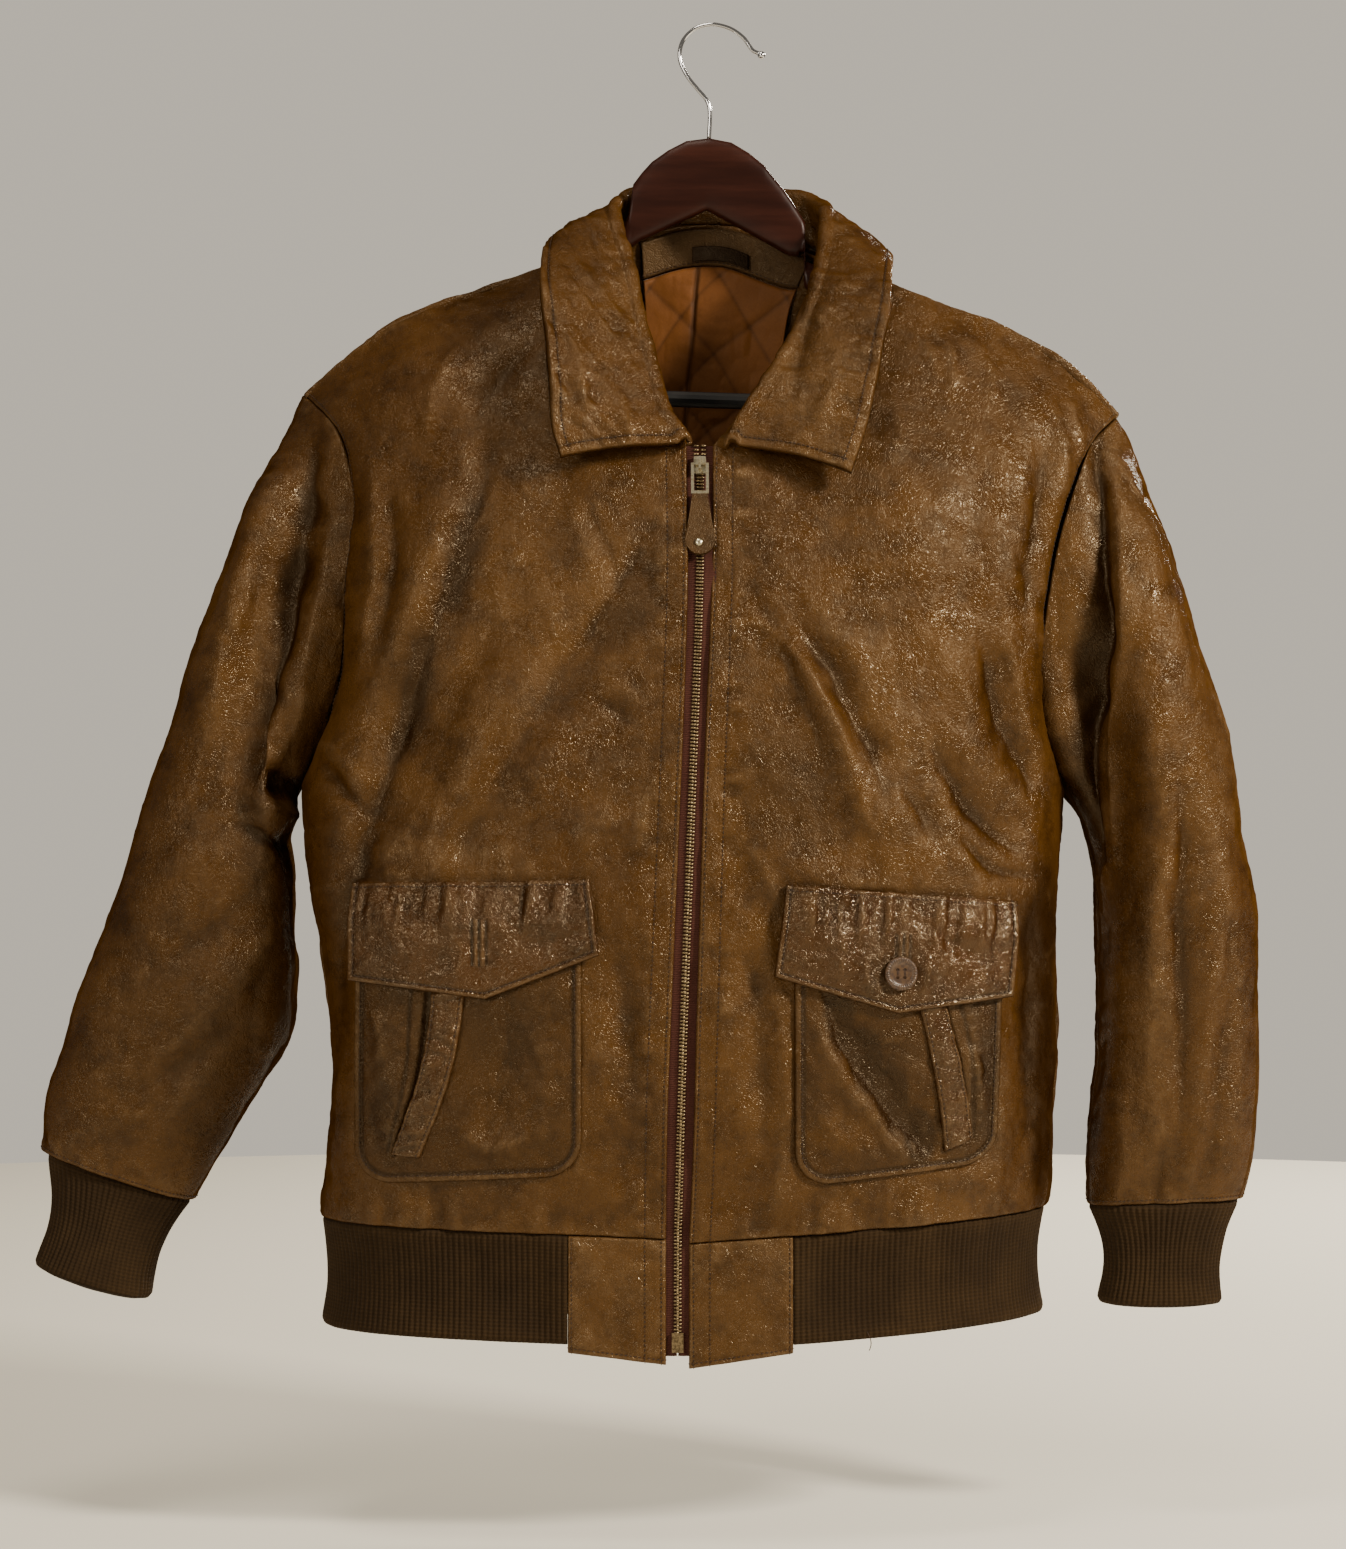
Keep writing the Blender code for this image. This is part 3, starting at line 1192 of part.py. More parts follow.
def make_bar():
    """The trouser bar between the hanger's two ends."""
    (x0, z0), (x1, z1) = tilted(-BAR_AT[0], BAR_AT[1]), tilted(BAR_AT[0], BAR_AT[1])
    ends = np.array([[x0, 0, z0], [x1, 0, z1]])
    along = unit(ends[1] - ends[0])
    side = np.array([0, 1.0, 0])
    up = np.cross(along, side)
    sides = 12
    points = [
        end + (side * math.cos(math.tau * k / sides) + up * math.sin(math.tau * k / sides)) * BAR_RADIUS
        for end in ends
        for k in range(sides)
    ]
    faces = [[k, (k + 1) % sides, sides + (k + 1) % sides, sides + k] for k in range(sides)]
    faces += [list(range(sides))[::-1], list(range(sides, 2 * sides))]
    add_piece("trouser_bar", points, faces, "rubber")


def make_hook():
    """The wire hook, thickening to a ball at its end."""
    route = np.array([(x, 0, z) for x, z in HOOK_ROUTE])
    keys = np.arange(len(route))
    fine = np.linspace(0, len(route) - 1, 44)
    places = np.stack([smooth(keys, route[:, k], fine) for k in range(3)], axis=1)
    curve = bpy.data.curves.new("hook", "CURVE")
    curve.dimensions = "3D"
    curve.bevel_depth = WIRE_RADIUS
    curve.bevel_resolution = 2
    curve.use_fill_caps = True
    spline = curve.splines.new("POLY")
    spline.points.add(len(places) + 3 - 1)
    along = unit(places[-1] - places[-2])
    ball = [places[-1] + along * BALL_RADIUS * s for s in (0.5, 1.2, 1.7)]
    radii = [1.0] * (len(places) - 1) + [1.1, 1.75, 1.6, 0.6]
    for point, place, radius in zip(spline.points, [*places, *ball], radii):
        point.co = (*place, 1)
        point.radius = radius
    curve.materials.append(material("chrome"))
    hook = bpy.data.objects.new("hook", curve)
    bpy.context.scene.collection.objects.link(hook)


def main():
    for old in list(bpy.data.objects):
        bpy.data.objects.remove(old, do_unlink=True)
    grids = make_body()
    make_collar()
    make_inside_neck(grids["back"])
    make_pockets({side: Surface(side) for side in (LEFT, RIGHT)})
    make_zip()
    make_hanger()
    make_hook()


main()
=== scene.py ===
"""The looks of a worn brown leather flight jacket hanging on its wooden hanger.

Sides are the wearer's: Side.RIGHT lies at -X and Side.LEFT at +X. Lengths are in metres.
"""

import json
import logging
import math
import re
from dataclasses import dataclass, field
from enum import Enum
from typing import Iterable, Sequence

import bmesh
import bpy
import numpy as np
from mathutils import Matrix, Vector

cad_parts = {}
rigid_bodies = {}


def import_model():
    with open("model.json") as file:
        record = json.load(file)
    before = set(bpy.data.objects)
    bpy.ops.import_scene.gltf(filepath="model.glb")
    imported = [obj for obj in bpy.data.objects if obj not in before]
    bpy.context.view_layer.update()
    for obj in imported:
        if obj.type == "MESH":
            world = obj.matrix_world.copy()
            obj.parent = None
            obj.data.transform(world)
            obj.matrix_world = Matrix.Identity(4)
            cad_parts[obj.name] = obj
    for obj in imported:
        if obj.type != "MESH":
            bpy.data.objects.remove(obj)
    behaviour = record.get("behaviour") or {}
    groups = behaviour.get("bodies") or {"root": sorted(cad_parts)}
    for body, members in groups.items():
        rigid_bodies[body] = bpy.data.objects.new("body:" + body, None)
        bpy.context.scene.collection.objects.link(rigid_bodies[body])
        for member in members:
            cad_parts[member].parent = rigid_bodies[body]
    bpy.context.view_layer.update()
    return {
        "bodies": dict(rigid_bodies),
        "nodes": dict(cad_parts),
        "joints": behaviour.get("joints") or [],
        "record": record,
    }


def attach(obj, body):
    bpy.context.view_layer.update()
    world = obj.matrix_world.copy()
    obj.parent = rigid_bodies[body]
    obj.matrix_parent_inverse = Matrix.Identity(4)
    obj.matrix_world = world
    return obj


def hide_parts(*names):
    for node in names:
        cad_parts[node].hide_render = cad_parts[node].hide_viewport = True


log = logging.getLogger("jacket")
Grid = np.ndarray
Pairs = Sequence[tuple[float, float]]
Tone = tuple[float, float, float]
Material, Thing = bpy.types.Material, bpy.types.Object
Node, Tree = bpy.types.Node, bpy.types.NodeTree

LEATHER = 0.0016
DOUBLED = 0.0024  # collar, flaps and tabs are two layers
KNIT = 0.003
SATIN = 0.002
SEAM = 0.0003
LAID = 0.0009  # gap under a piece that lies on a panel
ARM = 0.5  # share of a panel's rows at which the armhole starts
NECK = 14 / 18  # share of a front's rows at the top of the zip


class Side(Enum):
    """The wearer's sides, with the sign of X on which each lies."""

    RIGHT = -1
    LEFT = 1

    @property
    def word(self) -> str:
        """The side's name as it ends a node's name."""
        return self.name.lower()


# --- numbers
def smooth(xs: np.ndarray, ys: np.ndarray, x: np.ndarray | float) -> np.ndarray:
    """Reads a cubic through (xs, ys) whose slope at each point is its neighbours'.

    Args:
        xs: Rising places of the points.
        ys: Values at those places.
        x: Where to read.

    Returns:
        The values at x.
    """
    x = np.clip(x, xs[0], xs[-1])
    slopes = np.gradient(ys, xs)
    i = np.clip(np.searchsorted(xs, x, side="right") - 1, 0, len(xs) - 2)
    span = xs[i + 1] - xs[i]
    t = (x - xs[i]) / span
    rise = ys[i] * (1 + 2 * t) * (1 - t) ** 2 + ys[i + 1] * t * t * (3 - 2 * t)
    return rise + span * (slopes[i] * t * (1 - t) ** 2 - slopes[i + 1] * t * t * (1 - t))


def smoothly(keys: np.ndarray, points: np.ndarray, at: np.ndarray) -> np.ndarray:
    """Points read smoothly between those at rising keys."""
    return np.stack([smooth(keys, points[:, k], at) for k in range(3)], axis=-1)


def linearly(keys: np.ndarray, points: np.ndarray, at: np.ndarray | float) -> np.ndarray:
    """Points read on straight lines between those at rising keys."""
    return np.stack([np.interp(at, keys, column) for column in points.T], axis=-1)


def unit(v: np.ndarray) -> np.ndarray:
    """Vectors scaled to length 1."""
    return v / np.maximum(np.linalg.norm(v, axis=-1, keepdims=True), 1e-12)


def ease(t: np.ndarray | float) -> np.ndarray:
    """A smooth step from 0 to 1."""
    t = np.clip(t, 0, 1)
    return t * t * (3 - 2 * t)


def ramp(count: int) -> np.ndarray:
    """Even shares from 0 to 1."""
    return np.linspace(0, 1, count)


def circle(count: int) -> np.ndarray:
    """Even angles once round."""
    return np.linspace(0, math.tau, count, endpoint=False)


def bell(distance: np.ndarray, width: float) -> np.ndarray:
    """1 at no distance, falling smoothly to nothing past a width or two."""
    return np.exp(-((distance / width) ** 2))


def evenly(curve: np.ndarray, shares: np.ndarray) -> np.ndarray:
    """Points of a polyline at shares of its length.

    Args:
        curve: The polyline's points.
        shares: Where to read it, from 0 to 1.

    Returns:
        The points.
    """
    steps = np.linalg.norm(np.diff(curve, axis=0), axis=1)
    run = np.concatenate([[0], np.cumsum(steps)])
    return linearly(run, curve, shares * run[-1])


def lattice(cells: np.ndarray, seed: int) -> np.ndarray:
    """A value from -1 to 1 for each whole-numbered cell, the same in every run.

    Args:
        cells: The cells, a column for each direction.
        seed: Picks the values.

    Returns:
        A value for each cell.
    """
    mixed = np.zeros(cells.shape[:-1], np.uint32) + np.uint32(seed * 2654435 + 97)
    for k, prime in enumerate((374761393, 668265263, 2147483647)[: cells.shape[-1]]):
        mixed ^= (cells[..., k].astype(np.int64) * prime % 4294967296).astype(np.uint32)
        mixed = (mixed ^ (mixed >> np.uint32(13))) * np.uint32(1274126177)
    mixed ^= mixed >> np.uint32(16)
    return mixed.astype(float) / 2147483647.5 - 1


def noise(places: np.ndarray, seed: int) -> np.ndarray:
    """Smooth noise from about -1 to 1 over places with any number of columns up to three.

    Args:
        places: Where to read it; swellings lie about 1 apart.
        seed: Picks its noise.

    Returns:
        A value for each place.
    """
    low = np.floor(places)
    part = places - low
    part = part**3 * (part * (part * 6 - 15) + 10)
    total = np.zeros(places.shape[:-1])
    axes = places.shape[-1]
    for corner in range(2**axes):
        step = np.array([(corner >> k) & 1 for k in range(axes)])
        weight = np.prod(np.where(step, part, 1 - part), axis=-1)
        total += weight * lattice(low + step, seed)
    return total


def folded(a: np.ndarray, b: np.ndarray, seed: int, floor: float = -9.0) -> np.ndarray:
    """Noise over two directions, its troughs cut off at a floor."""
    return np.maximum(noise(np.stack([a, b], axis=-1), seed), floor)


def rounded(away: np.ndarray, radius: float) -> np.ndarray:
    """How far a rounded edge falls at places that lie some way inside it."""
    turned = np.clip(1 - away / radius, 0, 1)
    return radius * (1 - np.sqrt(np.maximum(0, 1 - turned**2)))


def beside(places: Grid, start: np.ndarray, run: np.ndarray) -> tuple[np.ndarray, np.ndarray]:
    """Each place's share along a line, and how far it lies to the line's side.

    Args:
        places: Places in a plane.
        start: Where the line starts.
        run: From its start to its end.

    Returns:
        The shares, and the distances to its side.
    """
    away = places - start
    off = (away[..., 0] * run[1] - away[..., 1] * run[0]) / np.linalg.norm(run)
    return away @ run / (run @ run), off


def between(low: Pairs, high: Pairs, a: np.ndarray, b: np.ndarray) -> Grid:
    """Places at shares a along two lines, and at shares b from the low one to the high one.

    Args:
        low: The low line's two ends.
        high: The high line's two ends.
        a: Shares along both lines.
        b: Shares from the low line to the high one.

    Returns:
        The places.
    """
    (p, q), (r, t) = np.array(low), np.array(high)
    a, b = a[..., None], b[..., None]
    return (p * (1 - a) + q * a) * (1 - b) + (r * (1 - a) + t * a) * b


def octaves(places: np.ndarray, seed: int, count: int = 3, fall: float = 0.5) -> np.ndarray:
    """Layers of noise, each twice as fine and fall times as strong as the last."""
    layers = [fall**k * noise(places * 2.03**k, seed + 17 * k) for k in range(count)]
    return np.sum(layers, axis=0) / sum(fall**k for k in range(count))


def wrinkled(places: np.ndarray, seed: int, count: int = 3) -> np.ndarray:
    """Noise with sharp bent creases between soft swellings, from about -1 to 1.

    Args:
        places: Where to read it.
        seed: Picks its noise.
        count: How many layers.

    Returns:
        A value for each place.
    """
    bent = places + 0.55 * np.stack([noise(places * 0.7, seed + k) for k in (5, 6)], axis=-1)
    total, strength = np.zeros(places.shape[:-1]), 1.0
    for k in range(count):
        total += strength * (np.abs(noise(bent * 1.9**k, seed + 31 * k)) * 2.2 - 0.75)
        strength *= 0.55
    return total / 1.6


def blurred(field_: np.ndarray, reach: int) -> np.ndarray:
    """The field averaged over a square of neighbours each way.

    Args:
        field_: A value for each point of a grid.
        reach: Neighbours taken each way.

    Returns:
        The averages.
    """
    for axis in (0, 1):
        padded = np.concatenate(
            [np.repeat(np.take(field_, [0], axis), reach, axis), field_,
             np.repeat(np.take(field_, [-1], axis), reach, axis)], axis,
        )
        run = np.cumsum(np.insert(padded, 0, 0, axis), axis)
        size = field_.shape[axis]
        high = np.take(run, range(2 * reach + 1, 2 * reach + 1 + size), axis)
        field_ = (high - np.take(run, range(size), axis)) / (2 * reach + 1)
    return field_


NOT_LENGTHS = {"face", "share", "squareness", "trough_at", "strength"}


class Table:
    """Rows of numbers under named columns, written in millimetres and read in metres."""

    def __init__(self, columns: str, rows: str) -> None:
        """Takes the columns' names, then the rows, one to a line.

        Args:
            columns: The names, with spaces between.
            rows: The rows' text.
        """
        self.names = columns.split()
        numbers = np.array([row.split() for row in rows.strip().split("\n")], float)
        self.rows = numbers / [1 if name in NOT_LENGTHS else 1000 for name in self.names]

    def column(self, name: str) -> np.ndarray:
        """One column's values."""
        return self.rows[:, self.names.index(name)]

    def at(self, key: np.ndarray | float, *names: str) -> np.ndarray:
        """The named columns at values of the first column."""
        read = [smooth(self.column(self.names[0]), self.column(n), key) for n in names]
        return read[0] if len(names) == 1 else np.stack(read, axis=-1)


def sides(columns: str, rows: str) -> dict[Side, Table]:
    """A table for each side: the wearer's right, then the left after a line that says so."""
    return {side: Table(columns, part) for side, part in zip(Side, rows.split("left"))}


def tables(columns: str, rows: str) -> dict[str, Table]:
    """Tables that share their columns, each after a line that names its piece."""
    parts = re.split(r"\n?([a-z]\w+)\n", rows)
    return {name: Table(columns, part) for name, part in zip(parts[1::2], parts[2::2])}


def normals_of(grid: Grid, closed: bool = False) -> Grid:
    """Unit normals of a grid of points, across x up.

    Args:
        grid: Rows of points.
        closed: Whether each row closes into a ring.

    Returns:
        A normal for each point.
    """
    if closed:
        across = np.roll(grid, -1, axis=1) - np.roll(grid, 1, axis=1)
    else:
        across = np.gradient(grid, axis=1)
    return unit(np.cross(across, np.gradient(grid, axis=0)))


def runs(grid: Grid, axis: int) -> np.ndarray:
    """How far along an axis of the grid each point lies, in metres."""
    steps = np.linalg.norm(np.diff(grid, axis=axis), axis=-1)
    return np.insert(np.cumsum(steps, axis=axis), 0, 0, axis=axis)


# --- the cut, as it hangs
# Each front's edge beside the zip, from the hem to the collar.
ZIP_EDGE = sides("height x y", """
-736.4 -32.1 -122
-654 -30.9 -130
-595 -28.6 -132
-496 -24.5 -128
-423 -21.5 -122
-336 -19.1 -105
-266.5 -20 -85
left
-738.7 -18.6 -122
-700 -16.8 -126
-595 -13.9 -132
-447 -9.2 -124
-341 -5 -105
-266.5 -4.1 -85
""")

# The seam under the collar, from the top of the zip to the shoulder.
NECKLINE = sides("share x y z", """
0 -20 -85 -266.5
.3 -44 -60 -219.7
.55 -58 -40 -180
.78 -68.5 -20 -150
1 -74.5 -2 -133
left
0 -4.1 -85 -266.5
.3 33 -62 -224.7
.55 53 -42 -186
.78 68 -28 -158
1 80 -20 -147
""")
BACK_NECK = (0.001, 0.03, -0.118)  # centre of the back neck seam

# The side seam, from the hem to the underarm.
SIDE = sides("share x y z", """
0 -241.7 -30 -729
.3 -234.5 -34 -650
.5 -240 -34 -600
.75 -248 -28 -535
1 -255 -12 -470
left
0 200.1 -20 -725.2
.3 206 -24 -650
.5 207 -26 -600
.75 208 -24 -535
1 212 -12 -472
""")

# From the underarm up to the shoulder point, on the front and on the back.
ARMHOLE = sides("share front_x front_y front_z back_x back_y back_z", """
0 -255 -12 -470 -255 -12 -470
.12 -240 -36 -440 -250 12 -440
.26 -229.5 -48 -406 -242 26 -406
.5 -226.2 -54 -345 -238 32 -340
.75 -223.5 -46 -286 -240 29 -266
.89 -235 -30 -250 -249 11 -235
1 -257.4 2 -227.1 -257.4 2 -227.1
left
0 212 -12 -472 212 -12 -472
.12 199 -38 -440 212 12 -440
.26 195 -50 -406 215 26 -406
.5 201 -54 -345 220 32 -340
.75 215 -46 -290 231 29 -270
.89 229 -34 -260 242 10 -240
1 247 -14 -242 247 -14 -242
""")

SHOULDER_ROLL = Table("share y rise", """
.6 37 -145
.722 36.5 -106
.833 34.5 -56
.889 28.5 -26
.944 9 -1
1 0 0
""")

# How each row of a front runs from the zip to its side.
SECTION = sides("share squareness crown", """
0 3.6 0
.4 3.4 0
.6 2.6 4
.8 2.2 12
.93 2 15
1 2 0
left
0 2.3 0
.4 2.3 0
.6 2.2 4
.8 2.1 12
.93 2 12
1 2 0
""")

FOLDS = Table("face x0 z0 x1 z1 width rise", """
-1 -95 -290 -195 -500 20 -6
-1 -150 -250 -185 -400 18 5
-1 -45 -380 -110 -460 17 5
-1 15 -340 95 -480 18 6
-1 20 -500 60 -530 15 4
-1 170 -400 175 -490 16 -5
1 -140 -300 -30 -560 24 5
1 120 -300 50 -600 24 -5
1 -190 -420 -120 -660 20 5
""")

# Rings down each sleeve: its outer and inner edge, its depth and its troughs.
SLEEVE = sides("share outer_x outer_z inner_x inner_z front_y back_y trough trough_at", """
0 -257.4 -227.1 -255 -470 -54 32 0 .3
.07 -269 -254 -261 -483 -58 34 8 .3
.17 -285 -288 -262.5 -500 -64 36 18 .34
.3 -305 -340 -262.5 -525 -68 36 18 .42
.45 -329 -408 -261 -555 -64 36 8 .5
.6 -354 -482 -258.5 -585 -60 36 2 .5
.74 -379 -555 -262 -620 -56 34 0 .5
.88 -404 -628 -285 -662 -52 30 0 .5
.96 -414 -670 -305 -696 -46 24 0 .5
1 -415 -694.5 -323.5 -725.2 -40 16 0 .5
left
0 247 -242 212 -472 -54 32 0 .6
.07 256 -264 219 -485 -62 34 10 .66
.17 268 -298 223 -498 -72 36 20 .72
.3 284 -348 227 -515 -76 36 20 .78
.45 300 -415 231 -540 -74 36 12 .84
.6 318 -485 233.5 -575 -68 36 2 .84
.74 331 -550 233.5 -615 -62 34 0 .84
.88 332.5 -630 229 -664 -54 30 0 .84
.96 328.5 -695 225.5 -702 -48 24 0 .84
1 322.5 -723.5 226.5 -727.5 -42 16 0 .84
""")
SLEEVE_SQUARENESS = 2.5
SLEEVE_BLEND = 0.2  # share of the sleeve over which its shape leaves the armhole's

CUFF_END = {  # the cuff's far ring: outer and inner edge, depth
    Side.RIGHT: {"outer": (-0.419, -0.7615), "inner": (-0.348, -0.783), "y": (-0.054, 0.0)},
    Side.LEFT: {"outer": (0.3095, -0.7867), "inner": (0.2335, -0.7867), "y": (-0.042, 0.01)},
}
CUFF_DRAW_IN = 0.006  # the knit draws in this far just below its seam

# The fold and the outer edge; share 0 is the front end, 1 the shoulder, 2 mid back.
COLLAR = sides("share fold_x fold_y fold_z edge_x edge_y edge_z", """
0 -20.5 -94 -262.5 -94.1 -106 -274.5
.12 -28.5 -91 -251 -99 -104 -260
.35 -38.8 -74 -222.5 -101.6 -96 -230.1
.6 -47.4 -55 -186.1 -104.4 -82 -195.7
.85 -56.2 -32 -145.5 -108.5 -56 -160
1.05 -64.5 -8 -113 -105 -14 -135
1.25 -57.5 14 -100 -88 40 -148
1.6 -35 30 -94.5 -45 52 -160
2 0 36 -93.5 0 56 -162
left
0 6.5 -94 -263.5 77.4 -106 -284.1
.12 16 -89 -245 85 -104 -262
.35 33.9 -75 -216.1 92.2 -97 -230.1
.6 48.3 -58 -188.9 97.7 -84 -202.3
.85 60.6 -38 -156 104.1 -62 -169.5
1.05 66.8 -8 -117 106 -18 -145
1.25 62 14 -105 90 40 -156
1.6 37 30 -97 46 52 -162
2 0 36 -93.5 0 56 -162
""")
COLLAR_ROLL = 0.0036  # radius of the fold
COLLAR_CROWN = 0.004  # how far the fall bows out between fold and edge

POCKET = {  # patch pockets in the front view: bottom and top corners, then the flap's
    Side.RIGHT: {
        "bottom": ((-0.216, -0.705), (-0.0815, -0.6985)),
        "top": ((-0.215, -0.546), (-0.0815, -0.543)),
        "flap_top": ((-0.2167, -0.5274), (-0.077, -0.5244)),
        "flap_bottom": ((-0.2161, -0.5844), (-0.1373, -0.5945), (-0.0712, -0.569)),
        "welt": ((-0.169, -0.59), (-0.1935, -0.687), (-0.1765, -0.6885), (-0.1495, -0.59)),
    },
    Side.LEFT: {
        "bottom": ((0.0435, -0.706), (0.164, -0.693)),
        "top": ((0.043, -0.547), (0.168, -0.556)),
        "flap_top": ((0.0384, -0.5275), (0.1759, -0.5385)),
        "flap_bottom": ((0.0308, -0.5814), (0.1025, -0.6032), (0.17, -0.5949)),
        "welt": ((0.116, -0.6), (0.1316, -0.686), (0.148, -0.678), (0.1316, -0.598)),
    },
}
POCKET_CORNER = 0.022
BUTTON_AT = (0.1031, -0.5797)  # in the front view, on the right flap

HOOK_ROUTE = (  # the wire's centre line, from the wood to the ball, and where the rail bears
    (-0.0057, -0.0689),
    (-0.0051, -0.053),
    (-0.0069, -0.0454),
    (-0.0125, -0.0386),
    (-0.0193, -0.0299),
    (-0.0237, -0.0194),
    (-0.0222, -0.009),
    (-0.015, -0.0012),
    (-0.006, 0.0017),
    (0.001, 0.0013),
    (0.009, -0.0015),
    (0.016, -0.0068),
    (0.021, -0.0138),
    (0.0247, -0.016),
)

HANGER = Table("out right_top right_bottom left_top left_bottom", """
0 -68.8 -113.6 -68.8 -113.6
14 -71 -120.7 -71 -120.7
25 -77.1 -126.2 -77.1 -126.2
35 -84.7 -131.3 -84.7 -131.3
41 -91.8 -134.3 -91.8 -134.3
46 -99 -138 -97.5 -137
48 -118 -142 -100.2 -138
52 -126.8 -146 -105.3 -139.9
57 -137 -151 -112.7 -140
61 -140.5 -156 -119 -137
62 -142.5 -159 -143 -159
66 -144.5 -162 -144.5 -162
105 -159 -186 -159 -186
150 -177 -205 -177 -205
195.5 -202.5 -219 -202.5 -219
196.5 -203 -243 -203 -243
220 -220.5 -243 -220.5 -243
227 -226.5 -241 -226.5 -241
""")

BACK_MIDDLE = Table("share y z", """
0 30 -738
.3 36 -610
.6 38 -400
.85 36 -215
1 30 -118
""")
BACK_SQUARENESS = 3.2
SHOULDER_BOW = 0.014  # how far the shoulder line rises over a straight one
HANGER_TILT = math.radians(1.9)
BACK_COLUMNS = 26  # at which the back's form is worked out
BACK_NECK_COLUMNS = 6  # of these, the ones under the collar


def fold_rise(points: Grid, face: int) -> np.ndarray:
    """How far the largest folds lift points of the front (-1) or the back (1).

    Args:
        points: Points on a panel.
        face: -1 for the front, 1 for the back.

    Returns:
        A rise for each point.
    """
    rise = np.zeros(points.shape[:-1])
    for which, x0, z0, x1, z1, width, height in FOLDS.rows:
        if which == face:
            start, run = np.array([x0, z0]), np.array([x1 - x0, z1 - z0])
            place = points[..., [0, 2]] - start
            share = np.clip(place @ run / (run @ run), 0, 1)
            rise += height * bell(np.linalg.norm(place - share[..., None] * run, axis=-1), width)
    return rise


def side_edge(side: Side, v: float, face: int = -1) -> np.ndarray:
    """The side seam or armhole at row share v, on the front (-1) or the back (1).

    Args:
        side: The wearer's side.
        v: Row share from the hem up.
        face: -1 for the front, 1 for the back.

    Returns:
        The point.
    """
    if v <= ARM:
        return SIDE[side].at(v / ARM, "x", "y", "z")
    which = "front" if face < 0 else "back"
    return ARMHOLE[side].at((v - ARM) / (1 - ARM), *(f"{which}_{axis}" for axis in "xyz"))


def inner_edge(side: Side, v: float) -> np.ndarray:
    """The zip's edge, then the neckline, at row share v.

    Args:
        side: The wearer's side.
        v: Row share from the hem up.

    Returns:
        The point.
    """
    if v > NECK:
        return NECKLINE[side].at((v - NECK) / (1 - NECK), "x", "y", "z")
    edge = ZIP_EDGE[side]
    height = edge.rows[0, 0] + (edge.rows[-1, 0] - edge.rows[0, 0]) * v / NECK
    return np.array([*edge.at(height, "x", "y"), height])


def front_row(side: Side, v: float, shares: np.ndarray) -> np.ndarray:
    """Points across one row of a front, from the zip's edge to the side.

    Args:
        side: The wearer's side.
        v: Row share from the hem up.
        shares: Shares across it, from 0 to 1.

    Returns:
        The row's points.
    """
    start, end = inner_edge(side, v), side_edge(side, v)
    power = 2 / SECTION[side].at(v, "squareness")
    turn = np.linspace(0, math.pi / 2, 160)
    out, depth = np.sin(turn) ** power, np.cos(turn) ** power
    curve = start + (end - start) * out[:, None]
    crown = SECTION[side].at(v, "crown") * np.sin(2 * turn)
    curve[:, 1] = end[1] + (start[1] - end[1]) * depth - crown
    near_top = max(0.0, (v - 0.6) / 0.4)
    curve[:, 2] += SHOULDER_BOW * near_top**2 * np.sin(math.pi * out**1.8)
    return evenly(curve, shares)


def front_grid(side: Side, levels: np.ndarray, shares: np.ndarray) -> Grid:
    """A front's points.

    Args:
        side: Which front.
        levels: Row shares, from the hem to the shoulder.
        shares: Shares along each row, from the zip's edge to the side.

    Returns:
        Rows from the hem up, columns from left to right as seen from the front.
    """
    grid = np.array([front_row(side, v, shares) for v in levels])
    inward = np.minimum(1, 4 * np.minimum(shares, 1 - shares))
    grid[..., 1] -= fold_rise(grid, -1) * inward * (1 - levels[:, None] ** 8)
    return grid[:, ::-1] if side is Side.RIGHT else grid


def back_top() -> Grid:
    """The back's top edge from the wearer's left to right: shoulder, neck, shoulder.

    Returns:
        The edge's points.
    """
    shares = ramp((BACK_COLUMNS - BACK_NECK_COLUMNS) // 2 + 1)
    left, right = (front_row(side, 1.0, shares) for side in (Side.LEFT, Side.RIGHT))
    along = ramp(40)
    curve = smoothly(np.array([0, 0.5, 1]), np.array([left[0], BACK_NECK, right[0]]), along)
    straight = left[0][1] + (right[0][1] - left[0][1]) * along
    curve[:, 1] = straight + (BACK_NECK[1] - straight) * np.sin(math.pi * along) ** 0.6
    points = evenly(curve, ramp(BACK_NECK_COLUMNS + 1))
    return np.concatenate([left[::-1], points[1:-1], right])


def back_row(v: float) -> np.ndarray:
    """Points across the back at row share v, before the shoulders shape them.

    Args:
        v: Row share from the hem up.

    Returns:
        The row's points.
    """
    left, right = side_edge(Side.LEFT, v, 1), side_edge(Side.RIGHT, v, 1)
    y, z = BACK_MIDDLE.at(v, "y", "z")
    turn = np.linspace(-math.pi / 2, math.pi / 2, 241)
    out = np.sign(turn) * np.abs(np.sin(turn)) ** (2 / BACK_SQUARENESS)
    depth = np.maximum(np.cos(turn), 0) ** (2 / BACK_SQUARENESS)
    ends = np.where(turn[:, None] < 0, left, right)
    curve = (left + right) / 2 + (right - left) / 2 * out[:, None]
    curve[:, 1] = ends[:, 1] + (y - ends[:, 1]) * depth
    curve[:, 2] = ends[:, 2] + (z - ends[:, 2]) * (1 - np.abs(out) ** 1.6)
    return evenly(curve, ramp(BACK_COLUMNS + 1))


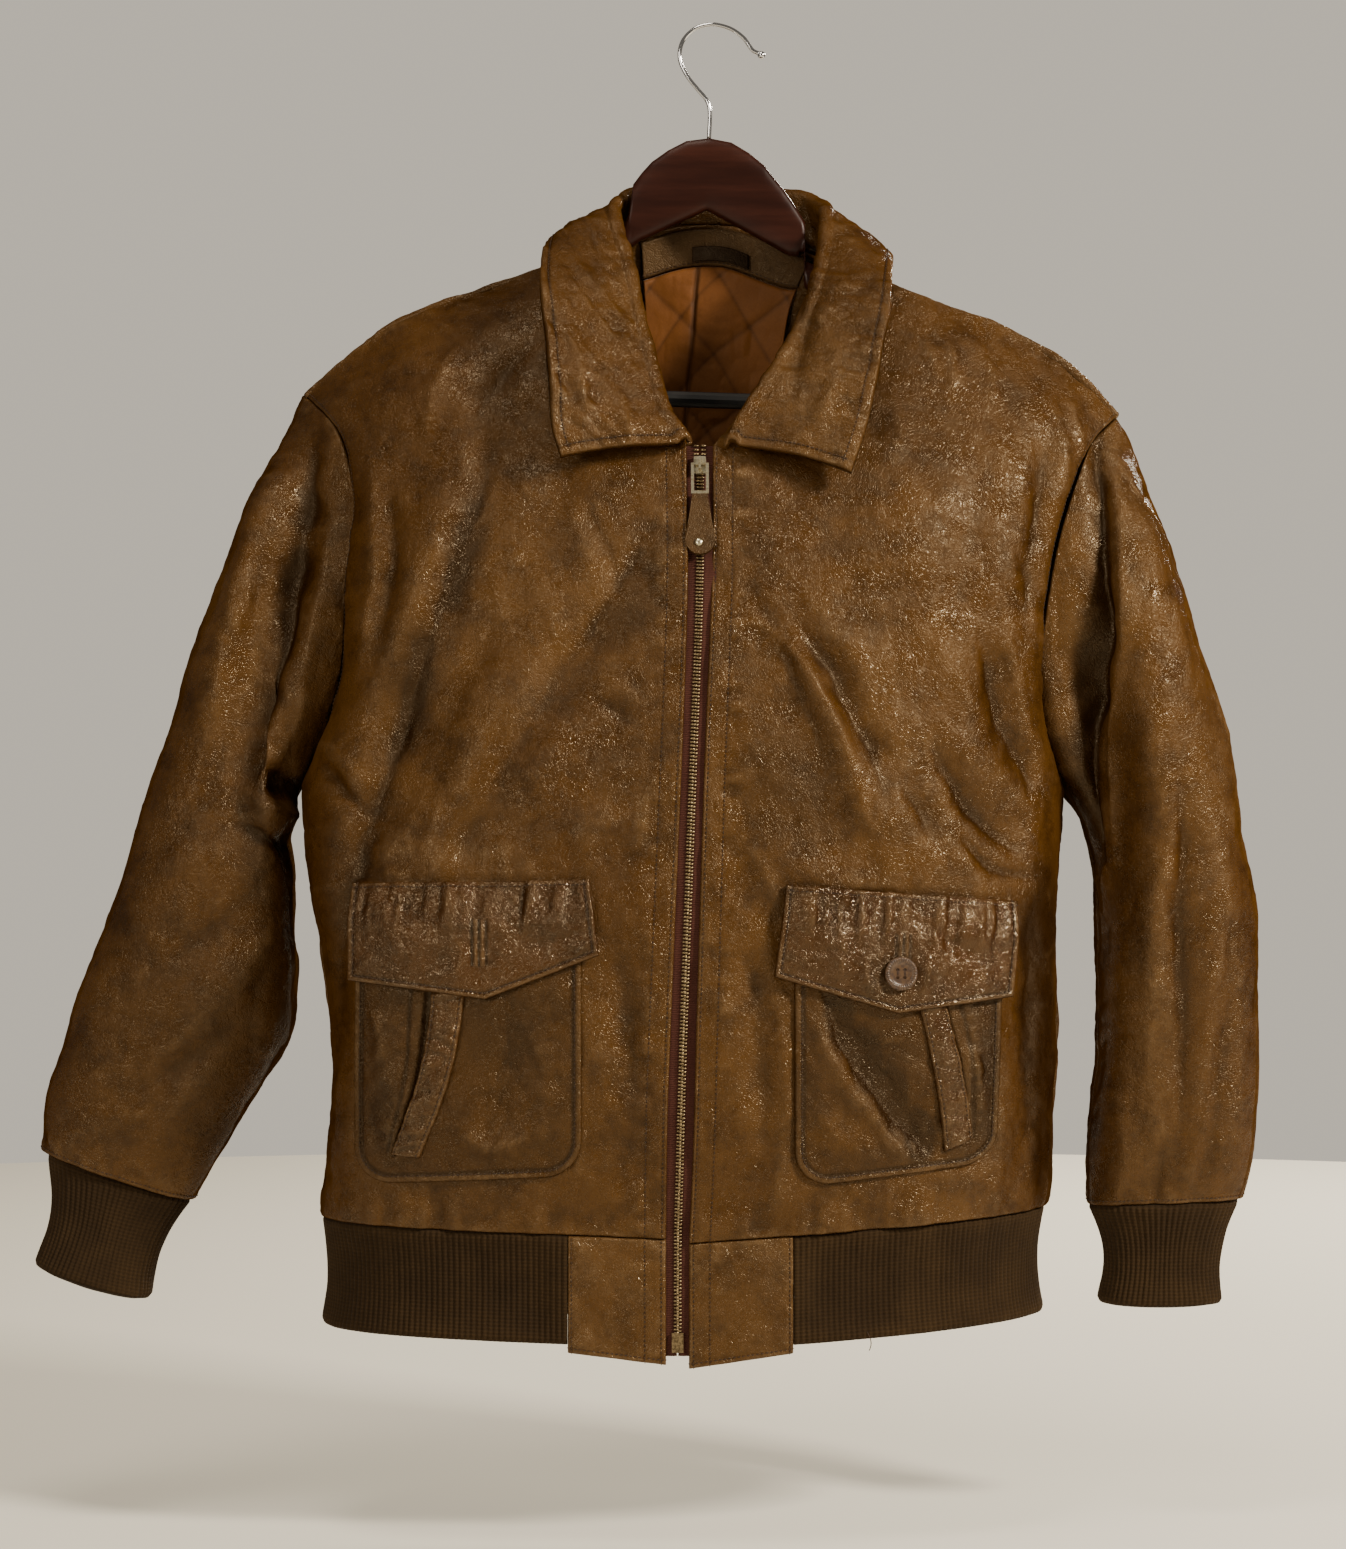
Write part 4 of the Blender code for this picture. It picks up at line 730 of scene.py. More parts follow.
def back_grid(levels: np.ndarray, shares: np.ndarray) -> Grid:
    """The back's points: rows from the hem up, columns from the wearer's left to right.

    Args:
        levels: Row shares, from 0 to 1.
        shares: Shares across it, from 0 to 1.

    Returns:
        The points.
    """
    top = back_top()
    grid = np.array([back_row(v) for v in levels])
    miss = top - grid[-1]
    place = np.arange(BACK_COLUMNS + 1)
    inward = np.minimum(place, BACK_COLUMNS - place)
    from_neck = np.abs(place - BACK_COLUMNS / 2) - BACK_NECK_COLUMNS / 2
    on_shoulder = ease((from_neck + 1.5) / 2) * ease(inward / 2)
    for i, v in enumerate(levels):
        near = np.clip((v - 0.62) / 0.38, 0, 1)
        grid[i] += miss * np.array([near**3, near**10, near**1.6])
        last = ease((v - 0.944) / 0.056)
        rolled = grid[i].copy()
        rolled[:, 1] = SHOULDER_ROLL.at(v, "y") * (1 - last) + top[:, 1] * last
        dip = 0.2 * top[:, 1] * ease((v - 0.83) / 0.11) * (1 - last)
        rolled[:, 2] = top[:, 2] + SHOULDER_ROLL.at(v, "rise") - dip
        share = on_shoulder * ease((v - 0.64) / 0.2) * (1 - ease((v - 0.985) / 0.015))
        grid[i] += (rolled - grid[i]) * share[:, None]
    fading = np.minimum(1, 6 * inward / BACK_COLUMNS) * (1 - levels[:, None] ** 6)
    grid[..., 1] += fold_rise(grid, 1) * fading
    own = ramp(BACK_COLUMNS + 1)
    return np.array([smoothly(own, row, shares) for row in grid])


def sleeve_ring(outer: Pairs, inner: Pairs, depths: Pairs, trough: Pairs, steps: int) -> Grid:
    """A closed ring of 2 * steps points: outer edge, down the front, inner edge, up the back.

    Args:
        outer: x and z of the outer edge.
        inner: x and z of the inner edge.
        depths: y of the front and of the back.
        trough: Depth of the trough along the sleeve, and its share across.
        steps: Points on each half.

    Returns:
        The points.
    """
    turn = np.linspace(0, math.pi, 160)
    across = (1 - np.cos(turn)) / 2
    deep = np.sin(turn) ** (2 / SLEEVE_SQUARENESS)
    halves = []
    for face, reach, share in ((-1, depths[0], 1.0), (1, depths[1], 0.35)):
        line = np.zeros((160, 3))
        line[:, 0] = outer[0] + (inner[0] - outer[0]) * across
        line[:, 2] = outer[1] + (inner[1] - outer[1]) * across
        middle = (depths[0] + depths[1]) / 2
        dip = share * trough[0] * bell(across - trough[1], 0.2)
        line[:, 1] = middle + (reach - middle) * deep - face * dip * deep
        halves.append(evenly(line, ramp(steps + 1)))
    return np.concatenate([halves[0][:-1], halves[1][:0:-1]])


def sleeve_grid(side: Side, levels: np.ndarray, steps: int) -> Grid:
    """The sleeve's rings from the armhole down, going round so that faces look outward.

    Args:
        side: The wearer's side.
        levels: Row shares, from 0 to 1.
        steps: Points on each half.

    Returns:
        A ring of points for each level.
    """

    def down(share: float) -> Grid:
        """The sleeve's own ring at a share of its length.

        Args:
            share: From 0 at the armhole to 1 at the cuff.

        Returns:
            The ring's points.
        """
        row = SLEEVE[side]
        names = ("outer_x outer_z", "inner_x inner_z", "front_y back_y", "trough trough_at")
        return sleeve_ring(*(row.at(share, *pair.split()) for pair in names), steps)

    around = ramp(steps + 1)
    front, back = (
        ARMHOLE[side].at(around, *(f"{which}_{axis}" for axis in "xyz"))
        for which in ("front", "back")
    )
    change = np.concatenate([front[:0:-1], back[:-1]]) - down(0)
    left = np.clip(1 - levels / SLEEVE_BLEND, 0, 1)
    grid = np.array([down(t) + change * a**2 * (3 - 2 * a) for t, a in zip(levels, left)])
    return grid if side is Side.RIGHT else grid[:, ::-1]


def cuff_grid(side: Side, levels: np.ndarray, steps: int) -> Grid:
    """The knitted cuff from the sleeve's last ring down, drawn in below the seam.

    Args:
        side: The wearer's side.
        levels: Row shares, from 0 to 1.
        steps: Points on each half.

    Returns:
        A ring of points for each level.
    """
    end = CUFF_END[side]
    far = sleeve_ring(end["outer"], end["inner"], end["y"], (0, 0.5), steps)
    near = sleeve_grid(side, np.array([1.0]), steps)[0]
    if side is Side.LEFT:
        far = far[::-1]
    near = near + unit(near.mean(axis=0) - near) * 0.0012 + unit(far - near) * SEAM
    rows = []
    for t in levels:
        line = near + (far - near) * t
        rows.append(line + unit(line.mean(axis=0) - line) * CUFF_DRAW_IN * math.sin(math.pi * t))
    return np.array(rows)


def collar_grid(stations: np.ndarray, falls: np.ndarray, stand: int = 6, roll: int = 8) -> Grid:
    """The collar's middle layer: a stand, a rolled fold and a fall.

    Args:
        stations: Shares from 0 at the front end to 1 at mid back.
        falls: Shares from the fold to the outer edge.
        stand: Steps up the stand.
        roll: Steps round the fold.

    Returns:
        Rows from the wearer's right front end round to the left one, columns from the
        neck seam over the fold to the outer edge.
    """
    top = back_top()
    start = (BACK_COLUMNS - BACK_NECK_COLUMNS) // 2
    neck = top[start : start + BACK_NECK_COLUMNS + 1]
    up, rows = np.array([0, 0, 1.0]), []
    right, left = ([(side, s) for s in stations] for side in (Side.RIGHT, Side.LEFT))
    for side, share in right + left[-2::-1]:
        share *= 2
        if share <= 1:
            seam = NECKLINE[side].at(share, "x", "y", "z")
        else:
            along = (share - 1) / 2
            seam = evenly(neck, np.array([along if side is Side.LEFT else 1 - along]))[0]
        fold = COLLAR[side].at(share, "fold_x", "fold_y", "fold_z")
        edge = COLLAR[side].at(share, "edge_x", "edge_y", "edge_z")
        out = unit((edge - fold) * (1, 1, 0))
        hub = fold - up * COLLAR_ROLL
        stand_top, fall_top = hub - out * COLLAR_ROLL, hub + out * COLLAR_ROLL
        low = seam + unit(stand_top - seam) * 0.0015
        rise = low + (stand_top - low) * ramp(stand + 1)[:, None]
        turn = np.linspace(0, math.pi, roll + 1)[1:-1, None]
        over = hub + COLLAR_ROLL * (up * np.sin(turn) - out * np.cos(turn))
        bow = unit(out + up * 0.6) * COLLAR_CROWN
        fall = fall_top + (edge - fall_top) * falls[:, None]
        fall = fall + bow * np.sin(math.pi * falls[:, None])
        rows.append(np.concatenate([rise, over, fall]))
    return np.array(rows)


class Surface:
    """A finely read front panel that finds its own point at a place in the front view."""

    def __init__(self, side: Side) -> None:
        """Takes the side, and reads that front up past its pocket."""
        self.points = front_grid(side, np.linspace(0, 0.8, 161), ramp(101))
        self.normals = normals_of(self.points)

    def read(self, grid: Grid, place: Grid) -> Grid:
        """The grid read between its points, at rows and columns given as numbers.

        Args:
            grid: A value for each point.
            place: Rows and columns, not whole.

        Returns:
            The values.
        """
        size = np.array(grid.shape[:2])
        low = np.clip(place, 0, size - 1.001).astype(int)
        a, b = np.moveaxis(place - low, -1, 0)[..., None]
        i, j = low[..., 0], low[..., 1]
        bottom = grid[i, j] * (1 - b) + grid[i, j + 1] * b
        return bottom * (1 - a) + (grid[i + 1, j] * (1 - b) + grid[i + 1, j + 1] * b) * a

    def at(self, places: Grid) -> tuple[Grid, Grid]:
        """The panel's points and normals at (x, z) places of the front view.

        Args:
            places: x and z of each place.

        Returns:
            The points and their normals.
        """
        flat = self.points[::4, ::4, [0, 2]].reshape(-1, 2)
        wanted = places.reshape(-1, 2)
        columns = self.points[::4, ::4].shape[1]
        near = np.array([np.argmin(((flat - w) ** 2).sum(axis=1)) for w in wanted])
        spot = 4.0 * np.stack([near // columns, near % columns], axis=-1)
        for _ in range(6):
            here = self.read(self.points, spot)[:, [0, 2]]
            up = (self.read(self.points, spot + (0.5, 0))[:, [0, 2]] - here) / 0.5
            across = (self.read(self.points, spot + (0, 0.5))[:, [0, 2]] - here) / 0.5
            miss = wanted - here
            area = up[:, 0] * across[:, 1] - up[:, 1] * across[:, 0]
            spot[:, 0] += (miss[:, 0] * across[:, 1] - miss[:, 1] * across[:, 0]) / area
            spot[:, 1] += (up[:, 0] * miss[:, 1] - up[:, 1] * miss[:, 0]) / area
            spot = np.clip(spot, 0, np.array(self.points.shape[:2]) - 1.501)
        points, normals = (self.read(g, spot) for g in (self.points, self.normals))
        return points.reshape(*places.shape[:-1], 3), unit(normals).reshape(*places.shape[:-1], 3)


# --- meshes
def quads(
    rows: int, columns: int, wrap: bool = False, flip: bool = False, first: int = 0
) -> np.ndarray:
    """The faces of a grid of points, numbered row by row from first.

    Args:
        rows: Rows of points.
        columns: Points in a row.
        wrap: Whether each row closes into a ring.
        flip: Whether the faces look the other way.
        first: The first point's number.

    Returns:
        Four point numbers for each face.
    """
    index = first + np.arange(rows * columns).reshape(rows, columns)
    right = np.roll(index, -1, axis=1)
    a, b, c, d = index[:-1], right[:-1], right[1:], index[1:]
    faces = np.stack([a, b, c, d], axis=-1)
    if not wrap:
        faces = faces[:, :-1]
    faces = faces.reshape(-1, 4)
    return faces[:, ::-1] if flip else faces


def put(name: str, data: bpy.types.ID) -> Thing:
    """A new object in the scene for a mesh, a lamp or a camera.

    Args:
        name: The new object's name.
        data: What it shows.

    Returns:
        The object.
    """
    made = bpy.data.objects.new(name, data)
    bpy.context.scene.collection.objects.link(made)
    return made


def baked(obj: Thing) -> bpy.types.Mesh:
    """A plain mesh of an object with its modifiers applied."""
    graph = bpy.context.evaluated_depsgraph_get()
    return bpy.data.meshes.new_from_object(obj.evaluated_get(graph), depsgraph=graph)


def new_object(name: str, points: np.ndarray, faces: Iterable, *slots: Material) -> Thing:
    """A mesh object at the origin with smooth faces.

    Args:
        name: The object's name.
        points: Its vertices.
        faces: Its faces, as vertex numbers.
        slots: Its materials; every face takes the first.

    Returns:
        The object, linked to the scene.
    """
    mesh = bpy.data.meshes.new(name)
    mesh.from_pydata([tuple(p) for p in np.asarray(points, float)], [], [tuple(f) for f in faces])
    mesh.polygons.foreach_set("use_smooth", [True] * len(mesh.polygons))
    for slot in slots:
        mesh.materials.append(slot)
    return put(name, mesh)


def paint(obj: Thing, name: str, values: np.ndarray) -> None:
    """Stores one number for each vertex under a name that materials can read."""
    layer = obj.data.attributes.new(name, "FLOAT", "POINT")
    layer.data.foreach_set("value", np.asarray(values, np.float32).ravel())


def unwrap(obj: Thing, corners: np.ndarray) -> None:
    """Gives each face corner its place on the flat piece, in metres."""
    layer = obj.data.uv_layers.new(name="flat")
    layer.data.foreach_set("uv", np.asarray(corners, np.float32).ravel())


# --- cloth
def crease_lift(points: Grid, normals: Grid, rows: Table) -> np.ndarray:
    """How far the listed creases lift points.

    Args:
        points: Where to read.
        normals: Which way the cloth faces there: a crease shows on one face only.
        rows: Each crease's face (-1 front, 1 back), three points in x and z that it bends
            through, the half width on its left and on its right, and its height.

    Returns:
        Heights, one for each point.
    """
    flat = points[..., [0, 2]]
    bend = [0.0036 * octaves(flat / 0.034, 301 + k, 3) for k in (0, 1)]
    uneven = 1.25 + 0.6 * octaves(flat / 0.036, 307, 2)
    flat = flat + np.stack(bend, axis=-1)
    total = np.zeros(flat.shape[:-1])
    for face, x0, z0, x1, z1, x2, z2, left, right, height in rows.rows:
        start, middle, end = np.array([x0, z0]), np.array([x1, z1]), np.array([x2, z2])
        t = ramp(13)[:, None]
        control = 2 * middle - (start + end) / 2
        line = start * (1 - t) ** 2 + control * 2 * t * (1 - t) + end * t * t
        reach = 3.2 * max(left, right)
        low, high = line.min(axis=0) - reach, line.max(axis=0) + reach
        near = ((flat > low) & (flat < high)).all(axis=-1)
        if not near.any():
            continue
        here = flat[near][:, None]
        run = np.diff(line, axis=0)
        share = np.clip(((here - line[:-1]) * run).sum(-1) / (run * run).sum(-1), 0, 1)
        away = here - line[:-1] - share[..., None] * run
        distance = np.linalg.norm(away, axis=-1)
        best = distance.argmin(axis=1)
        pick = np.arange(len(best))
        side = run[best, 0] * away[pick, best, 1] - run[best, 1] * away[pick, best, 0]
        along = (best + share[pick, best]) / (len(line) - 1)
        width = np.where(side > 0, left, right) * (0.9 + 0.5 * np.sin(math.pi * along))
        strength = np.sin(math.pi * (0.06 + 0.88 * along)) ** 0.8
        facing = ease(0.5 + 1.6 * face * normals[near][:, 1])
        total[near] += height * facing * strength * np.exp(-((distance[pick, best] / width) ** 1.5))
    return total * uneven


def edged(
    length: float, step: float, near: bool = True, far: bool = True, turn: float = 0.0016
) -> np.ndarray:
    """Shares along a piece's length, with a few close together where its edge turns.

    Args:
        length: The length, in metres.
        step: The usual distance between shares, in metres.
        near: Whether the first end turns.
        far: Whether the last end turns.
        turn: How wide the turn is.

    Returns:
        Rising shares, four times some number of steps in all.
    """
    close = np.array([0, 0.15, 0.45, 0.8, 1.25]) * turn / length
    start = close if near else np.zeros(1)
    end = 1 - close[::-1] if far else np.ones(1)
    fixed = len(start) + len(end) - 2
    count = max(4, round((length / step + fixed) / 4) * 4) - fixed
    middle = np.linspace(start[-1], end[0], count + 1)
    return np.concatenate([start[:-1], middle, end[1:]])


class Cloth:
    """A sewn piece: a finely formed outer face, a plain inner face, and the edge between."""

    def __init__(self, name: str, grid: Grid, thickness: float, wrap: bool = False) -> None:
        """Takes the outer face's points, rows up and columns across as seen from outside.

        Args:
            name: The piece's name.
            grid: The points.
            thickness: The cloth's thickness.
            wrap: Whether each row closes into a ring.
        """
        self.name, self.grid, self.thickness, self.wrap = name, grid, thickness, wrap
        self.normals = normals_of(grid, wrap)
        self.height = np.zeros(grid.shape[:2])
        self.edge = np.zeros(grid.shape[:2])
        # Over 0 a paler worn tone; under 0 darker tone, dark seams and painted shade of creases,
        # folds and recesses.
        self.stain = np.zeros(grid.shape[:2])
        self.across, self.up = runs(grid, 1), runs(grid, 0)
        self.placed: Grid | None = None

    def size(self) -> tuple[float, float]:
        """The piece's width and length when laid flat.

        Returns:
            The width and the length, in metres.
        """
        width = self.across[:, -1].mean()
        if self.wrap:
            width += np.linalg.norm(self.grid[:, 0] - self.grid[:, -1], axis=1).mean()
        return float(width), float(self.up[-1].mean())

    def inward(self, edge: str) -> np.ndarray:
        """How far each point lies from an edge: left, right, low or high.

        Args:
            edge: left, right, low or high.

        Returns:
            A distance for each point.
        """
        along = self.across if edge in ("left", "right") else self.up
        if edge in ("left", "low"):
            return along
        return along[:, -1:] - along if edge == "right" else along[-1:] - along

    def turn_edges(
        self, edges: str, radius: float, wear: float = 1.0, reach: float = 0.004
    ) -> None:
        """Rounds edges off, and marks them as worn.

        Args:
            edges: left, right, low or high, with spaces between.
            radius: The turned edge's radius.
            wear: How worn the edge is, from 0 to 1.
            reach: How far in the wear goes.
        """
        for edge in edges.split():
            away = self.inward(edge)
            self.height -= rounded(away, radius)
            self.edge = np.maximum(self.edge, wear * bell(away, reach))

    def groove(
        self, edge: str, offset: float, depth: float, pucker: float = 0.0, seed: int = 1
    ) -> None:
        """Sinks a line of stitching that runs beside an edge, and gathers the cloth along it.

        Args:
            edge: left, right, low or high.
            offset: From the edge to the line.
            depth: How far it sinks.
            pucker: How high the cloth gathers.
            seed: Picks its noise.
        """
        away = self.inward(edge)
        along = self.up if edge in ("left", "right") else self.across
        wander = 0.25 + 0.75 * ease(0.5 + folded(along / 0.03, away * 0, seed + 9))
        self.height -= depth * wander * bell(away - offset, 0.0009)
        if np.any(pucker):
            swell = folded(along / 0.0062, away / 0.016, seed, -0.35)
            uneven = 0.35 + 0.65 * ease(0.5 + folded(along / 0.05, away * 0, seed + 3))
            band = bell(away - offset - 0.0035, 0.0055)
            self.height += pucker * swell * uneven * band
            self.edge = np.maximum(self.edge, 0.55 * np.clip(swell, 0, 1) * uneven * band)

    def crumple(self, scale: float, strength: float, seed: int, stretch: float = 1.0) -> None:
        """Lays fine uneven creases all over, longer up the piece where stretch is over 1.

        Args:
            scale: The creases' size.
            strength: How far it lifts, in metres.
            seed: Picks its noise.
            stretch: How much longer they are up the piece.
        """
        flat = self.grid[..., [0, 2]] + 0.6 * self.grid[..., [1, 1]] * (1, 0.4)
        places = flat / scale / (1, stretch)
        self.height += strength * wrinkled(places + seed, seed)

    def swell(self, scale: float, strength: float, seed: int) -> None:
        """Adds broad soft unevenness."""
        self.height += strength * octaves(self.grid / scale, seed, 3)

    def crease(self, rows: Table) -> None:
        """Lays the listed creases; the deepest are darkened with painted shade.

        Args:
            rows: The creases.
        """
        lift = crease_lift(self.grid, self.normals, rows)
        self.height += lift
        # Painted shade: the deepest troughs are darkened.
        self.stain -= 80 * np.clip(-lift - 0.0022, 0, 0.009)

    def gather(self, edge: str, height: float, seed: int) -> None:
        """Draws the cloth up in short folds that run in from an edge sewn to a tighter piece, with
        painted shade in their troughs.

        Args:
            edge: left, right, low or high.
            height: How far the folds lift.
            seed: Picks its noise.
        """
        away = self.inward(edge)
        folds = folded(self.across / 0.01, self.up / 0.06, seed)
        self.height += height * np.maximum(folds, -0.45) * bell(away - 0.009, 0.012)
        # Painted shade: the folds' troughs are darkened near the edge.
        self.stain -= 0.3 * np.clip(-folds - 0.1, 0, 1) * bell(away - 0.006, 0.008)

    def mark(self, rows: Table) -> None:
        """Lays soft patches, worn where their strength is over 0 and darkened with painted shade
        where it is under.

        Args:
            rows: The patches.
        """
        for face, x, z, wide, high, strength in rows.rows:
            away = np.hypot((self.grid[..., 0] - x) / wide, (self.grid[..., 2] - z) / high)
            away *= 1 + 0.2 * octaves(self.grid / 0.02, 5)
            facing = ease(0.5 + 1.6 * face * self.normals[..., 1])
            # Under 0 this is painted shade of folds, recesses and shadowed sides; over 0 a paler
            # worn tone.
            self.stain += strength * facing * ease(1.35 - away)

    def place(self) -> Grid:
        """The outer face with every crease in it.

        Returns:
            The points.
        """
        if self.placed is None:
            self.placed = self.grid + self.normals * self.height[..., None]
        return self.placed

    def line(
        self, edge: str, offset: float, lift: float = 0.0003, start: float = 0, end: float = 0
    ) -> Grid:
        """A line on the finished face beside an edge.

        Args:
            edge: left, right, low or high.
            offset: How far in from the edge it runs.
            lift: How far off the face it lies.
            start: How much of its first end is left out, in metres.
            end: How much of its last end is left out, in metres.

        Returns:
            The line's points.
        """
        face, away = self.place() + self.normals * lift, self.inward(edge)
        if edge in ("low", "high"):
            face, away = face.transpose(1, 0, 2), away.T
        if edge in ("right", "high"):
            face, away = face[:, ::-1], away[:, ::-1]
        line = np.array([linearly(a, f, offset) for a, f in zip(away, face)])
        total = np.linalg.norm(np.diff(line, axis=0), axis=1).sum()
        return evenly(line, np.linspace(start / total, 1 - end / total, max(8, int(total / 0.002))))

    def build(self, *slots: Material, step: int = 4) -> Thing:
        """Makes the piece's mesh: the face, the backing step times coarser, and the edge.

        Args:
            slots: Its materials.
            step: How many times coarser the backing is.

        Returns:
            The object.
        """
        outer = self.place()
        rows, columns = self.height.shape
        low = self.height
        for axis in (0, 1):
            low = np.min([np.roll(low, shift, axis) for shift in range(-step, step + 1)], axis=0)
        back = self.grid - self.normals * (self.thickness - np.minimum(low, 0.004)[..., None])
        inner = back[::step, ::step]
        inner_rows, inner_columns = inner.shape[:2]
        first = rows * columns
        faces = [tuple(f) for f in quads(rows, columns, self.wrap)]
        faces += [tuple(f) for f in quads(inner_rows, inner_columns, self.wrap, True, first)]
        fine = np.arange(first).reshape(rows, columns)
        coarse = first + np.arange(inner_rows * inner_columns).reshape(inner_rows, inner_columns)

        def close(fine_edge: np.ndarray, coarse_edge: np.ndarray, flip: bool) -> None:
            """Joins an edge of the face to the same edge of the backing.

            Args:
                fine_edge: The face's points, by number.
                coarse_edge: The backing's points, by number.
                flip: Whether the faces look the other way.
            """
            for k in range(len(coarse_edge) - 1):
                finer = fine_edge[k * step : k * step + step + 1]
                face = [*finer, coarse_edge[k + 1], coarse_edge[k]]
                faces.append(tuple(face if flip else face[::-1]))

        if self.wrap:
            fine, coarse = (np.concatenate([e, e[:, :1]], axis=1) for e in (fine, coarse))
        close(fine[0], coarse[0], False)
        close(fine[-1], coarse[-1], True)
        if not self.wrap:
            close(fine[:, 0], coarse[:, 0], True)
            close(fine[:, -1], coarse[:, -1], False)
        points = np.concatenate([outer.reshape(-1, 3), inner.reshape(-1, 3)])
        made = new_object(self.name, points, faces, *slots)
        self.dress(made, step)
        return made

    def dress(self, made: Thing, step: int) -> None:
        """Stores the flat places, the relief, the edges, and the patches of tone and painted shade
        on the mesh.

        Args:
            made: The piece's object.
            step: How many times coarser the backing is.
        """
        places = np.stack([self.across, self.up], axis=-1)
        flat = np.concatenate([places.reshape(-1, 2), places[::step, ::step].reshape(-1, 2)])
        corners = np.empty(len(made.data.loops), np.int32)
        made.data.loops.foreach_get("vertex_index", corners)
        uv = flat[corners]
        if self.wrap:
            round_it = self.size()[0]
            counts = [p.loop_total for p in made.data.polygons]
            face = np.repeat(np.arange(len(counts)), counts)
            most = np.full(face[-1] + 1, -1.0)
            np.maximum.at(most, face, uv[:, 0])
            uv[:, 0] += round_it * (most[face] - uv[:, 0] > round_it / 2)
        unwrap(made, uv)
        fine = self.height - blurred(self.height, 3)
        broad = self.height - blurred(self.height, 12)
        stored = {"relief": fine, "drape": broad, "edge": self.edge, "stain": self.stain}
        for name, values in stored.items():
            backing = values[::step, ::step].ravel() * 0.3
            paint(made, name, np.concatenate([values.ravel(), backing]))


# --- finishes
class Nodes:
    """Adds nodes to a node tree and wires them."""

    def __init__(self, tree: Tree) -> None:
        """Takes the tree to add to."""
        self.tree = tree

    def wire(self, node: Node, ins: dict) -> None:
        """Gives a node's inputs, by name or number, their values, sockets or nodes.

        Args:
            node: The node.
            ins: What goes into each input.
        """
        for key, value in ins.items():
            socket = node.inputs[key]
            if isinstance(value, Node):
                value = value.outputs[0]
            if isinstance(value, bpy.types.NodeSocket):
                self.tree.links.new(value, socket)
            elif socket.type == "RGBA":
                socket.default_value = (*value, 1)
            else:
                socket.default_value = value

    def add(self, kind: str, ins: dict | None = None, **settings: object) -> Node:
        """Adds a node.

        Args:
            kind: The node's type.
            ins: Values, sockets or nodes for its inputs, by name or number.
            **settings: The node's own properties.

        Returns:
            The node.
        """
        node = self.tree.nodes.new(kind)
        for key, value in settings.items():
            setattr(node, key, value)
        self.wire(node, ins or {})
        return node

    def calc(self, how: str, a: object, b: object = 0.0, clamp: bool = False) -> Node:
        """A sum on two values."""
        return self.add("ShaderNodeMath", {0: a, 1: b}, operation=how, use_clamp=clamp)

    def plus(self, total: object, *more: object) -> Node:
        """Values added up.

        Args:
            total: The first value.
            more: The rest.

        Returns:
            The last sum's node.
        """
        for value in more:
            total = self.calc("ADD", total, value)
        return total

    def times(self, a: object, b: object) -> Node:
        """The product of two values."""
        return self.calc("MULTIPLY", a, b)

    def mix(self, share: object, a: object, b: object) -> bpy.types.NodeSocket:
        """A colour between two colours."""
        return self.add("ShaderNodeMix", {0: share, 6: a, 7: b}, data_type="RGBA").outputs[2]

    def spread(self, value: object, low: float, high: float, to: Pairs = (0.0, 1.0)) -> Node:
        """A value read from low to high as a range, held at its ends."""
        ins = {0: value, 1: low, 2: high, 3: to[0], 4: to[1]}
        return self.add("ShaderNodeMapRange", ins, interpolation_type="SMOOTHSTEP")

    def cloud(self, at: object, scale: float, detail: float = 3, rough: float = 0.55) -> Node:
        """Soft noise read at a place."""
        ins = {"Vector": at, "Scale": scale, "Detail": detail, "Roughness": rough}
        return self.add("ShaderNodeTexNoise", ins)

    def cells(self, at: object, scale: object, reach: float) -> Node:
        """0 at the borders of random cells, 1 from reach inside them.

        Args:
            at: The place to read it.
            scale: How many cells there are to a metre.
            reach: Where the borders end.

        Returns:
            The node.
        """
        ins = {"Vector": at, "Scale": scale}
        cell = self.add("ShaderNodeTexVoronoi", ins, feature="DISTANCE_TO_EDGE")
        return self.spread(cell.outputs["Distance"], 0.0, reach)

    def bent(self, at: object, scale: float, detail: float, strength: float) -> Node:
        """A place pushed about by soft noise.

        Args:
            at: The place to read it.
            scale: How many swellings there are to a metre.
            detail: Layers of noise.
            strength: How far places are pushed.

        Returns:
            The node.
        """
        push = {0: self.cloud(at, scale, detail).outputs["Color"], "Scale": strength}
        shift = self.add("ShaderNodeVectorMath", push, operation="SCALE")
        return self.add("ShaderNodeVectorMath", {0: at, 1: shift}, operation="ADD")

    def bump(self, height: object, strength: float, distance: float) -> Node:
        """A normal from a height."""
        ins = {"Height": height, "Strength": strength, "Distance": distance}
        return self.add("ShaderNodeBump", ins)

    def here(self) -> bpy.types.NodeSocket:
        """The place on the jacket, in metres."""
        return self.add("ShaderNodeTexCoord").outputs["Object"]

    def stored(self, name: str) -> bpy.types.NodeSocket:
        """A number stored on the mesh."""
        return self.add("ShaderNodeAttribute", attribute_name=name).outputs["Fac"]

    def finish(self, **outs: object) -> Tree:
        """Wires a group's outputs and returns its tree."""
        self.add("NodeGroupOutput", outs)
        return self.tree


